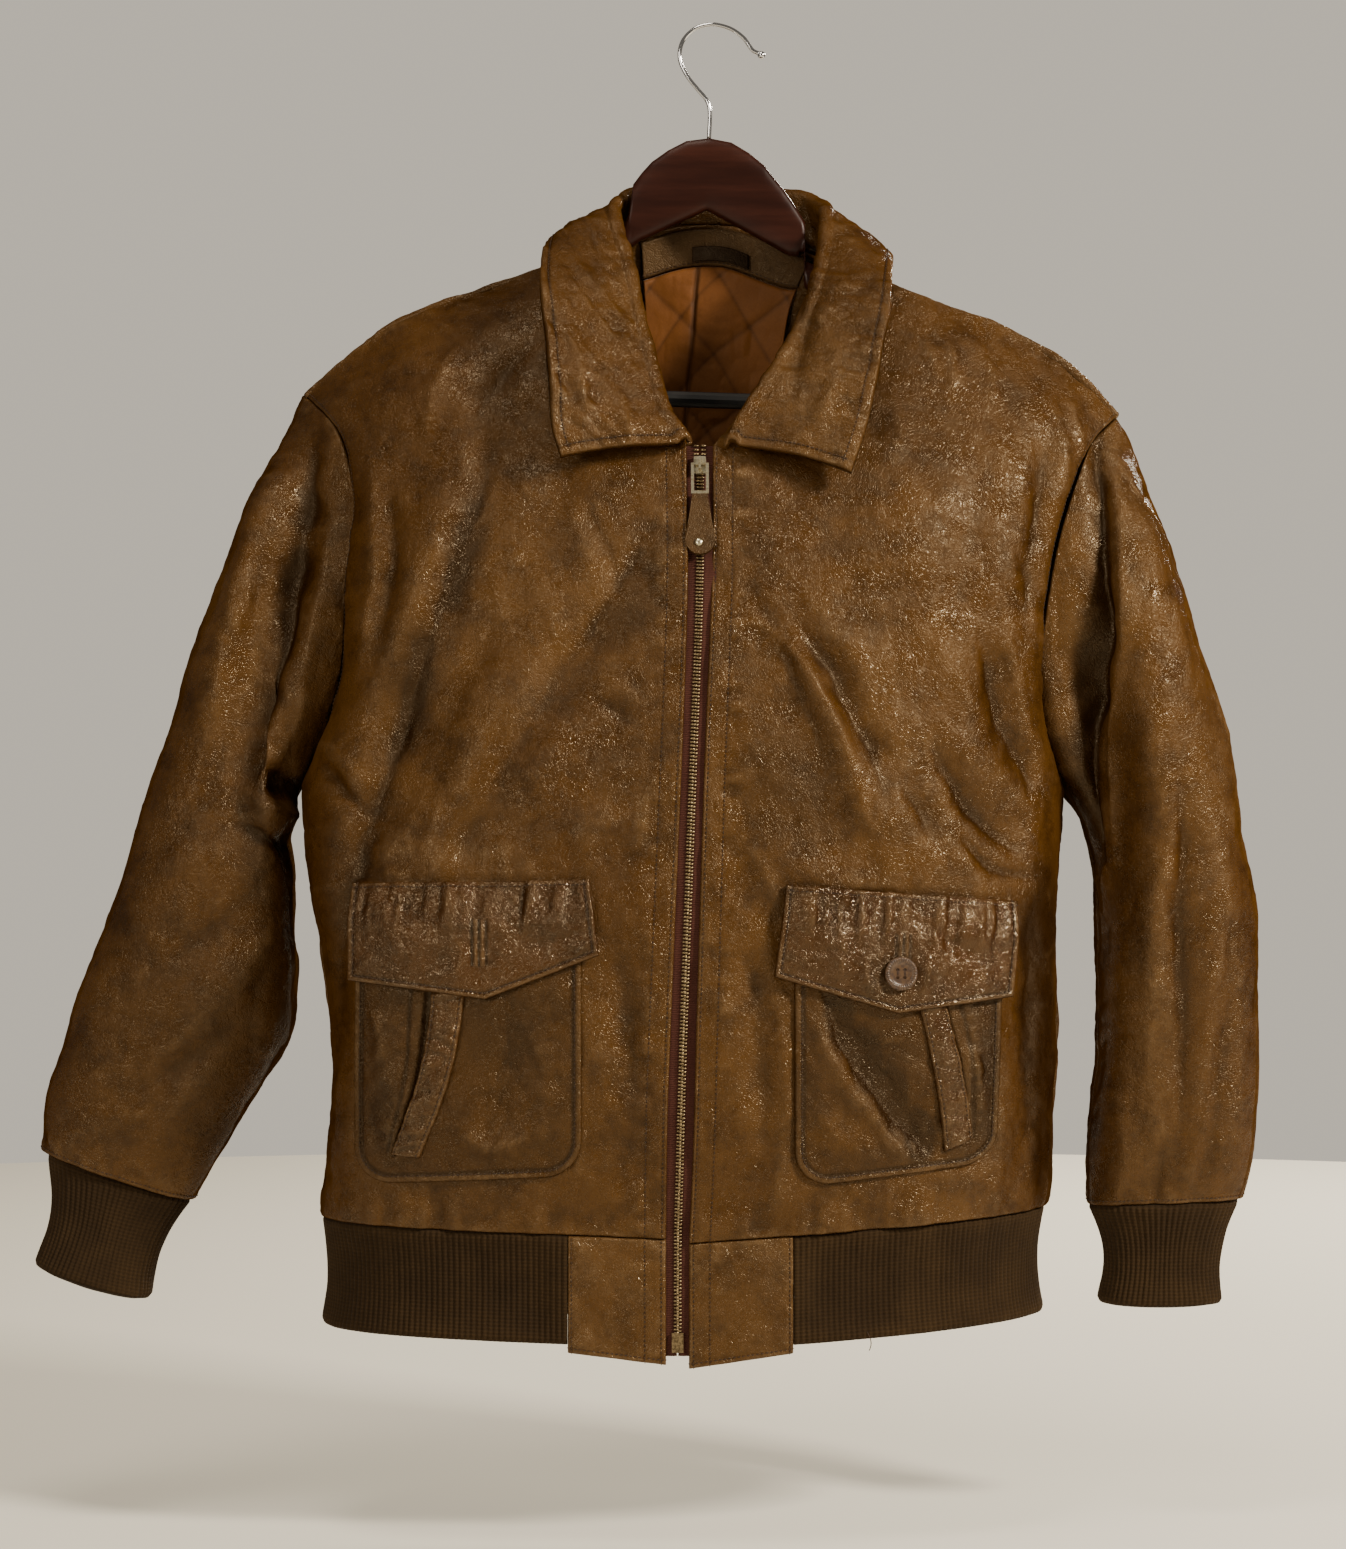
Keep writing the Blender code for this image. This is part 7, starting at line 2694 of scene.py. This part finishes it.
        def crossing(strip: Grid, distance: np.ndarray) -> np.ndarray | None:
            """Finds where a strip of points first comes to the line of stitching.

            Args:
                strip: Points from the edge inward.
                distance: How far each lies inside the outline.

            Returns:
                The place, or None where the strip has none.
            """
            past = np.flatnonzero(distance >= offset)
            if not len(past) or past[0] == 0:
                return None
            k = past[0]
            share = (offset - distance[k - 1]) / (distance[k] - distance[k - 1])
            return strip[k - 1] * (1 - share) + strip[k] * share

        rows = len(face)
        first = [crossing(face[i, :middle], away[i, :middle]) for i in range(rows - 1, -1, -1)]
        low = [crossing(face[:, j], away[:, j]) for j in range(face.shape[1])]
        last = [crossing(face[i, :middle:-1], away[i, :middle:-1]) for i in range(rows)]
        low_only = [p for p in low if p is not None]
        first = [p for p in first if p is not None and p[2] > low_only[0][2]]
        last = [p for p in last if p is not None and p[2] > low_only[-1][2]]
        line = np.array(first + low_only + last)
        keep = np.concatenate([[True], np.linalg.norm(np.diff(line, axis=0), axis=1) > 2e-4])
        self.shop.stitch(group, evenly(line[keep], ramp(300)))

    def welt(self, side: Side, seed: int) -> None:
        """Makes the slanted strip of the side entry, folded over and open along one edge.

        Args:
            side: The wearer's side.
            seed: Picks its noise.
        """
        top_a, low_a, low_b, top_b = POCKET[side]["welt"]
        a, b = edged(0.018, 0.0009), edged(0.095, 0.0012)[:, None]
        places = between((low_a, low_b), (top_a, top_b), a, b)
        places[..., 0] += self.bow[side] * np.sin(math.pi * b)
        points, normals = self.surfaces[side].at(places)
        grid = points + normals * (2 * LAID + 2 * LEATHER)
        cloth = Cloth(f"pocket_welt_{side.word}_hide", grid, LEATHER)
        cloth.swell(0.03, 0.0012, seed)
        cloth.crumple(0.016, 0.0011, seed + 1, 0.5)
        cloth.crumple(0.007, 0.0003, seed + 3, 0.6)
        cloth.height += 0.001 * np.sin(math.pi * np.clip(cloth.across / cloth.across[:, -1:], 0, 1))
        for edge in ("left", "right"):
            cloth.groove(edge, 0.0022, 0.0004, 0.0005, seed + 2)
        cloth.turn_edges("left right low high", 0.0016, 1.0)
        self.shop.sew(cloth, "red leather", "stretched", "pocket_" + side.word)
        self.shop.stitch("welts", cloth.line("left", 0.0022), cloth.line("right", 0.0022))

    def flap(self, side: Side, seed: int) -> None:
        """Makes a pointed flap with its bound buttonhole.

        Args:
            side: The wearer's side.
            seed: Picks its noise.
        """
        plan = POCKET[side]
        low = np.array(plan["flap_bottom"])
        point = (low[1][0] - low[0][0]) / (low[2][0] - low[0][0])
        a, b = edged(0.14, self.flap_step), edged(0.068, self.flap_step)
        a[np.argmin(np.abs(a - point))] = point
        bottom = linearly(np.array([0, point, 1]), low, a)
        top = linearly(np.array([0, 1]), np.array(plan["flap_top"]), a)
        places = bottom * (1 - b[:, None, None]) + top * b[:, None, None]
        points, normals = self.surfaces[side].at(places)
        over = 2 * LAID + 2 * LEATHER + LAID
        lift = over + (LAID - over) * np.maximum(0.0, (b - 0.62) / 0.38)
        grid = points + normals * (lift + DOUBLED)[:, None, None]
        cloth = Cloth(f"pocket_flap_{side.word}_hide", grid, DOUBLED)
        away = inside(places, [*plan["flap_top"], *low[::-1]], 1)
        from_top = cloth.up[-1:] - cloth.up
        cloth.crease(CREASES["pocket_" + side.word])
        cloth.swell(0.035, 0.0014, seed)
        cloth.crumple(0.018, 0.0007, seed + 1)
        cloth.crumple(0.007, 0.0002, seed + 2)
        folds = folded(cloth.across / 0.008, cloth.up / 0.045, seed + 3)
        ripple = folded(cloth.across / 0.0042, cloth.up / 0.022, seed + 5)
        drawn = 0.003 * np.maximum(folds, -0.4) + 0.0009 * ripple
        cloth.height += drawn * bell(from_top - 0.014, 0.016)
        cloth.stain += 0.35 * np.clip(folds, 0, 1) * bell(from_top - 0.01, 0.008)
        cloth.height *= 0.2 + 0.8 * ease((away - 0.004) / 0.008)
        cloth.height -= 0.0005 * bell(away - self.stitch_in, 0.0008)
        cloth.stain -= 0.55 * bell(away - self.stitch_in, 0.001)
        cloth.height += 0.0005 * ease((self.stitch_in - away) / 0.001)
        gather = folded((cloth.across - cloth.up) / 0.007, away / 0.02, seed + 4, -0.3)
        cloth.height += 0.0008 * gather * bell(away - self.stitch_in - 0.004, 0.004)
        self.buttonhole(cloth, places, side)
        cloth.height -= rounded(np.minimum(away, from_top + 0.0004), 0.0018)
        cloth.edge = np.maximum(cloth.edge, 0.6 * bell(np.minimum(away, from_top) - 0.0008, 0.0018))
        self.shop.sew(cloth, "red leather", "stretched", f"front_{side.word} pocket_{side.word}")
        self.outline_stitch(cloth, away, self.stitch_in, "flaps")
        self.shop.stitch("flaps", cloth.line("high", 0.003, start=0.003, end=0.003))

    def buttonhole(self, cloth: Cloth, places: Grid, side: Side) -> None:
        """Raises the two lips of a bound buttonhole, with its slit between them painted dark as
        shade.

        Args:
            cloth: The flap.
            places: x and z of its points.
            side: The wearer's side.
        """
        x0, z0, x1, z1 = self.buttonholes[side]
        start, run = np.array([x0, z0]), np.array([x1 - x0, z1 - z0])
        share, off = beside(places, start, run)
        away = np.abs(off)
        past = np.maximum(np.abs(share - 0.5) - 0.5, 0) * np.linalg.norm(run)
        ends = ease(1 - past / 0.0012)
        calm = bell(away, 0.007) * bell(past, 0.006)
        cloth.height *= 1 - 0.85 * calm
        lips = np.exp(-(((away - 0.0017) / 0.0015) ** 4))
        cloth.height += ends * (0.0011 * lips - 0.0012 * bell(away, 0.0006))
        cloth.height -= 0.0006 * bell(away - 0.004, 0.0009) * ends
        cloth.edge = np.maximum(cloth.edge, 0.8 * lips * ends)
        # Painted shade in the slit; the line 4 mm out is the buttonhole's dark seam.
        cloth.stain -= 1.2 * bell(away, 0.0007) * ends + 0.7 * bell(away - 0.004, 0.001) * ends

    def button(self) -> None:
        """Makes the four-hole button with its dished face and crossed thread."""
        place, normal = (v[0] for v in self.surfaces[Side.LEFT].at(np.array([BUTTON_AT])))
        lift = 3 * LAID + 2 * LEATHER + DOUBLED + SEAM + 0.0006
        centre = place + normal * lift
        across = unit(np.cross((0, 0, 1), normal))
        across *= math.copysign(1, across[0])
        up = unit(np.cross(normal, across))
        up *= math.copysign(1, up[2])
        radius, thickness, sides = 0.01, 0.0034, 144
        profile = (
            (0.88, 0.0), (0.97, 0.22), (1.0, 0.5), (0.985, 0.78), (0.93, 0.94), (0.86, 1.0),
            (0.76, 0.96), (0.67, 0.78), (0.62, 0.7), (0.5, 0.68),
        )
        mesh = bmesh.new()
        rings = []
        for share, high in profile:
            milled = 0.1 * (0.7 < share < 0.95 and high > 0.7)
            ring = [
                mesh.verts.new(
                    centre + (across * math.cos(t) + up * math.sin(t)) * radius * share
                    + normal * thickness * (high + milled * math.cos(36 * t))
                )
                for t in circle(sides)
            ]
            rings.append(ring)
        for low, high in zip(rings, rings[1:]):
            for k in range(sides):
                mesh.faces.new((low[k], low[(k + 1) % sides], high[(k + 1) % sides], high[k]))
        mesh.faces.new(rings[0][::-1])
        mesh.faces.new(rings[-1])
        bmesh.ops.recalc_face_normals(mesh, faces=mesh.faces)
        data = bpy.data.meshes.new("button_horn")
        mesh.to_mesh(data)
        mesh.free()
        made = bpy.data.objects.new("button_horn", data)
        bpy.context.scene.collection.objects.link(made)
        data.polygons.foreach_set("use_smooth", [len(p.vertices) == 4 for p in data.polygons])
        data.materials.append(self.shop.finishes["button"])
        for a, b in ((-1, -1), (-1, 1), (1, -1), (1, 1)):
            spot = centre + (across * a + up * b) * 0.0022
            turns = circle(16)
            ring = [spot + (across * math.cos(t) + up * math.sin(t)) * 0.001 for t in turns]
            points = [p + normal * h for h in (-0.002, 0.006) for p in ring]
            faces = [tuple(range(15, -1, -1)), tuple(range(16, 32))]
            faces += [(k, (k + 1) % 16, 16 + (k + 1) % 16, 16 + k) for k in range(16)]
            cutter = new_object("hole", points, faces)
            cut = made.modifiers.new("hole", "BOOLEAN")
            cut.operation, cut.object, cut.solver = "DIFFERENCE", cutter, "EXACT"
            graph = bpy.context.evaluated_depsgraph_get()
            drilled = bpy.data.meshes.new_from_object(made.evaluated_get(graph), depsgraph=graph)
            made.modifiers.clear()
            made.data = drilled
            bpy.data.objects.remove(cutter, do_unlink=True)
        self.shop.attach(made, "button", ["button"])
        lines = []
        for a in (-1, 1):
            for shift in (-0.0003, 0.0003):
                ends = [centre + across * (a * 0.0022 + shift) + up * b * 0.0024 for b in (-1, 1)]
                bow = np.sin(np.linspace(0, math.pi, 9))[:, None]
                line = ends[0] + (ends[1] - ends[0]) * ramp(9)[:, None]
                lines.append(line + normal * (thickness * 0.45 + 0.0007 * bow))
        lines = [(line, np.zeros(3)) for line in lines]
        twist, thread = lozenge(0.0016, 0.0007, 0.0007), self.shop.finishes["thread"]
        made = self.shop.along.set("button_thread", lines, twist, 0.0007, thread)
        self.shop.attach(made, "button")


# --- the zip
@dataclass
class Zip:
    """The tapes, the two rows of teeth, the slider with its pull, and the box at the end."""

    shop: Workshop
    frame: dict
    tape_width: float = 0.014
    tape_thickness: float = 0.0008
    apart: float = 0.0008
    pitch: float = 0.0021
    slider_height: float = -0.279
    rivet_at: Pairs = (-0.0127, -0.3252)
    rivet_radius: float = 0.0025

    def middle(self, share: float) -> np.ndarray:
        """The middle of the zip between the fronts, by share from the hem to the collar.

        Args:
            share: Share of the zip's height.

        Returns:
            The point.
        """
        ends = []
        for edge in ZIP_EDGE.values():
            height = edge.rows[0, 0] + (edge.rows[-1, 0] - edge.rows[0, 0]) * share
            ends.append(np.array([*edge.at(height, "x", "y"), height]))
        return (ends[0] + ends[1]) / 2

    def path(self) -> Grid:
        """The zip's line on the tapes' outer face, from near the bottom of the tabs up.

        Returns:
            The line's points.
        """
        hem = self.middle(0)
        tabs = [hem + np.array([0.0008, 0, -1]) * drop for drop in np.linspace(0.068, 0.0247, 3)]
        line = np.array(tabs + [self.middle(share) for share in np.linspace(0.01, 1, 14)])
        line[:, 1] += DOUBLED + 2 * SEAM
        return line

    def axes(self, height: float) -> tuple[np.ndarray, tuple[np.ndarray, np.ndarray, np.ndarray]]:
        """The point on the zip at a height, with axes across, up the zip and out.

        Args:
            height: Z of the point.

        Returns:
            The point and its three axes.
        """
        line = self.path()
        point, ahead = linearly(line[:, 2], line, np.array([height, height + 0.01]))
        up = unit(ahead - point)
        across = unit(np.array([1.0, 0, 0]) - up * up[0])
        out = unit(np.cross(across, up))
        return point, (across, up, out if out[1] < 0 else -out)

    def build(self) -> None:
        """Makes the tapes and teeth, and dresses the metal."""
        line = evenly(self.path(), ramp(481))
        wide = ramp(17)
        for side in Side:
            near = line + np.array([side.value * self.apart / 2, 0, 0])
            far = line + np.array([side.value * self.tape_width, 0, 0])
            left, right = (far, near) if side is Side.RIGHT else (near, far)
            grid = left[:, None] + (right - left)[:, None] * wide[None, :, None]
            cloth = Cloth(f"zip_tape_{side.word}_weave", grid, self.tape_thickness)
            cloth.swell(0.02, 0.0002, 181)
            edge = "right" if side is Side.RIGHT else "left"
            cloth.height += 0.0004 * bell(cloth.inward(edge) - 0.003, 0.0006)
            self.shop.sew(cloth, "zip tape", "stretched", "front_" + side.word)
        self.teeth(line)
        for node in ("zip_box", "slider", "zip_pull", "pull_strap"):
            obj = self.frame["nodes"][node]
            name = {"zip_box": "brass", "pull_strap": "strap leather"}.get(node, "nickel")
            for slot in obj.material_slots:
                slot.material = self.shop.finishes[name]
        self.rivet()

    def rivet(self) -> None:
        """Sets the domed rivet that holds the strap to the pull."""
        strap = self.frame["nodes"]["pull_strap"]
        back = strap.matrix_world.inverted()
        x, z = self.rivet_at
        start, ahead = back @ Vector((x, -0.5, z)), back.to_3x3() @ Vector((0, 1, 0))
        found, place, normal, _ = strap.ray_cast(start, ahead)
        if not found:
            raise ValueError("the rivet misses the strap")
        place = np.array(strap.matrix_world @ place)
        out = unit(np.array(strap.matrix_world.to_3x3() @ normal))
        across = unit(np.cross((0, 0, 1), out))
        up = np.cross(out, across)
        turn = circle(24)[:, None]
        ring = across * np.cos(turn) + up * np.sin(turn)
        profile = (
            (0.55, -0.3), (1.0, -0.3), (1.0, 0.1), (0.93, 0.26), (0.78, 0.42), (0.52, 0.54),
            (0.2, 0.6),
        )
        radius, nickel = self.rivet_radius, self.shop.finishes["nickel"]
        rings = np.array([place + (ring * wide + out * high) * radius for wide, high in profile])
        self.shop.attach(tube("pull_rivet", rings, nickel), "nickel", body="zip_pull")

    def teeth(self, line: Grid) -> None:
        """Sets both rows of teeth, one row half a pitch ahead of the other.

        Args:
            line: The zip's line.
        """
        run = line[(line[:, 2] > -0.792) & (line[:, 2] < self.slider_height - 0.004)]
        out = self.axes(-0.5)[1][2]
        rows = []
        for side in Side:
            row = run + np.array([side.value * 0.00085, 0, 0]) + out * 0.0005
            if side is Side.LEFT:
                row = evenly(row, np.linspace(self.pitch / 2 / 0.5, 1, len(row)))
            rows.append((row, out))
        groups = {"zip_teeth": rows}
        above = line[line[:, 2] > self.slider_height + 0.004]
        if len(above) > 3:
            apart = [np.array([side.value * 0.0022, 0, 0]) for side in Side]
            groups["zip_teeth_above"] = [(above + off + out * 0.0005, out) for off in apart]
        for name, rows in groups.items():
            brass = self.shop.finishes["brass"]
            self.shop.attach(self.shop.along.set(name, rows, tooth(), self.pitch, brass), "brass")


def tooth() -> tuple[Grid, list]:
    """A tooth: a flat rounded block across the chain, its length along the tape 1.3 mm.

    Returns:
        Its points and faces.
    """
    half = ((-1, -0.5), (-0.8, -1), (0.8, -1), (1, -0.5))
    section = (*half, *((-x, -y) for x, y in half))
    wide, deep, long = 0.00165, 0.001, 0.00058
    points = []
    for z, size in ((-1.0, 0.82), (-0.6, 1.0), (0.6, 1.0), (1.0, 0.82)):
        points += [(x * wide * size, y * deep * size, z * long) for x, y in section]
    faces = [tuple(range(7, -1, -1)), tuple(range(24, 32))]
    return np.array(points), faces + [tuple(face) for face in quads(4, 8, True)]


# --- the hanger
@dataclass
class Hanger:
    """The varnished hanger, its trouser bar and its wire hook."""

    shop: Workshop
    frame: dict
    thickness: float = 0.012
    wire: float = 0.0013
    ball: float = 0.0024

    def tilted(self, x: float, z: float) -> Pairs:
        """A point of the level hanger, turned about the rail and set under the hook."""
        c, s = math.cos(HANGER_TILT), math.sin(HANGER_TILT)
        return x * c + z * s - 0.0034, -x * s + z * c

    def build(self) -> None:
        """Makes the wood and the hook, and dresses the bar."""
        outs = HANGER.column("out")
        half = np.unique(np.concatenate([np.linspace(0, outs[-1], 90), outs]))
        places = np.concatenate([-half[:0:-1], half])
        rings = []
        for place in places:
            wing = "right" if place < 0 else "left"
            edges = (HANGER.column(wing + end) for end in ("_top", "_bottom"))
            top, bottom = (np.interp(abs(place), outs, edge) for edge in edges)
            turn = circle(32)
            y = np.sign(np.sin(turn)) * np.abs(np.sin(turn)) ** 0.55 * self.thickness / 2
            up = np.sign(np.cos(turn)) * np.abs(np.cos(turn)) ** 0.7
            middle, tall = (top + bottom) / 2, (top - bottom) / 2
            flat = (self.tilted(place, middle + u * tall) for u in up)
            rings.append([(x, b, z) for (x, z), b in zip(flat, y)])
        made = tube("hanger_wood", np.array(rings), self.shop.finishes["wood"])
        self.shop.attach(made, "wood", ["hanger"])
        for slot in self.frame["nodes"]["trouser_bar"].material_slots:
            slot.material = self.shop.finishes["rubber"]
        self.hook()

    def hook(self) -> None:
        """Makes the hook as a swept wire with a ball at its end."""
        route = np.array([(x, 0, z) for x, z in HOOK_ROUTE])
        keys = np.arange(len(route))
        fine = np.linspace(0, len(route) - 1, 140)
        line = smoothly(keys, route, fine)
        along = unit(line[-1] - line[-2])
        beyond = np.linspace(0, 2 * self.ball, 15)[1:]
        ball = np.sqrt(np.maximum(self.ball**2 - (beyond - self.ball) ** 2, 1e-10))
        ball[:3] = np.maximum(ball[:3], self.wire)
        radii = np.concatenate([np.full(len(line), self.wire), ball])
        line = np.concatenate([line, line[-1] + along * beyond[:, None]])
        ahead = unit(np.gradient(line, axis=0))
        side = np.array([0, 1.0, 0])
        up = np.cross(ahead, side)
        turn = circle(16)[None, :, None]
        ring = side * np.cos(turn) + up[:, None] * np.sin(turn)
        rings = line[:, None] + ring * radii[:, None, None]
        made = tube("hook_wire", rings, self.shop.finishes["chrome"])
        self.shop.attach(made, "chrome", ["hook"])


def tube(name: str, rings: Grid, finish: Material) -> Thing:
    """A closed skin through rings of points, facing outward.

    Args:
        name: The new object's name.
        rings: Rings of points, in turn.
        finish: Its material.

    Returns:
        The object.
    """
    count, sides = rings.shape[:2]
    faces = [tuple(f) for f in quads(count, sides, True)]
    faces += [tuple(range(sides)), tuple(range(count * sides - 1, (count - 1) * sides - 1, -1))]
    made = new_object(name, rings.reshape(-1, 3), faces, finish)
    mesh = bmesh.new()
    mesh.from_mesh(made.data)
    bmesh.ops.recalc_face_normals(mesh, faces=mesh.faces)
    mesh.to_mesh(made.data)
    mesh.free()
    return made


# --- the stage
@dataclass
class Stage:
    """A pale floor, soft lamps and the camera."""

    aim: tuple[float, float, float] = (-0.028, 0.0, -0.463)
    away: float = 2.4
    floor: float = -0.92
    spread: float = 2.3  # radius of the floor
    warmth: Tone = (1.0, 0.91, 0.77)

    def build(self) -> None:
        """Makes everything that isn't the jacket."""
        pale, nodes, shader = blank("pale paint")
        nodes.wire(shader, {"Base Color": (0.8, 0.76, 0.66), "Roughness": 0.9})
        turns, reach = circle(96), self.spread
        ground = [(reach * math.cos(a), reach * math.sin(a), self.floor) for a in turns]
        new_object("floor", ground, [tuple(range(len(turns)))], pale)
        self.lamp("key", (2.1, -1.5, 0.9), 0.48, 110)
        self.lamp("fill", (-1.5, -2.3, 0.1), 1.0, 27)
        self.lamp("top", (-0.3, -0.7, 1.4), 0.6, 13)
        self.lamp("behind", (1.3, 2.2, 0.8), 0.6, 95)
        world = bpy.data.worlds.new("room")
        world.use_nodes = True
        room = Nodes(world.node_tree)
        seen = room.add("ShaderNodeLightPath").outputs["Is Camera Ray"]
        glow = {"Color": self.warmth, "Strength": room.spread(seen, 0, 1, (0.16, 0.62))}
        room.wire(world.node_tree.nodes["Background"], glow)
        bpy.context.scene.world = world
        camera = bpy.data.cameras.new("camera")
        camera.lens, camera.sensor_width, camera.sensor_fit = 90, 36, "AUTO"
        made = put("camera", camera)
        made.location = (self.aim[0], -self.away, self.aim[2])
        made.rotation_euler = (math.pi / 2, 0, 0)
        bpy.context.scene.camera = made

    def lamp(self, name: str, place: tuple[float, float, float], size: float, power: float) -> None:
        """Adds a soft square lamp that faces the jacket.

        Args:
            name: The lamp's name.
            place: Where it stands.
            size: Its side, in metres.
            power: Its power, in watts.
        """
        light = bpy.data.lights.new(name, "AREA")
        light.size, light.energy = size, power
        light.color = self.warmth
        made = put(name, light)
        made.location = place
        toward = unit(np.array(self.aim) - place)
        turn = math.atan2(toward[1], toward[0]) - math.pi / 2
        made.rotation_euler = (math.acos(-toward[2]), 0, turn)


def main() -> None:
    """Builds the jacket on its hanger, then the stage."""
    logging.basicConfig(level=logging.INFO, format="%(message)s")
    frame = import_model()
    shop = Workshop(make_finishes())
    Torso(shop).build()
    Sleeves(shop).build()
    Waistband(shop).build()
    Collar(shop).build()
    Neck(shop).build()
    Pockets(shop).build()
    Zip(shop, frame).build()
    Hanger(shop, frame).build()
    shop.finish_stitches()
    Stage().build()
    for name, obj in shop.made.items():
        log.info("%s: %d faces", name, len(obj.data.polygons))
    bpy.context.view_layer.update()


if __name__ == "__main__":
    main()
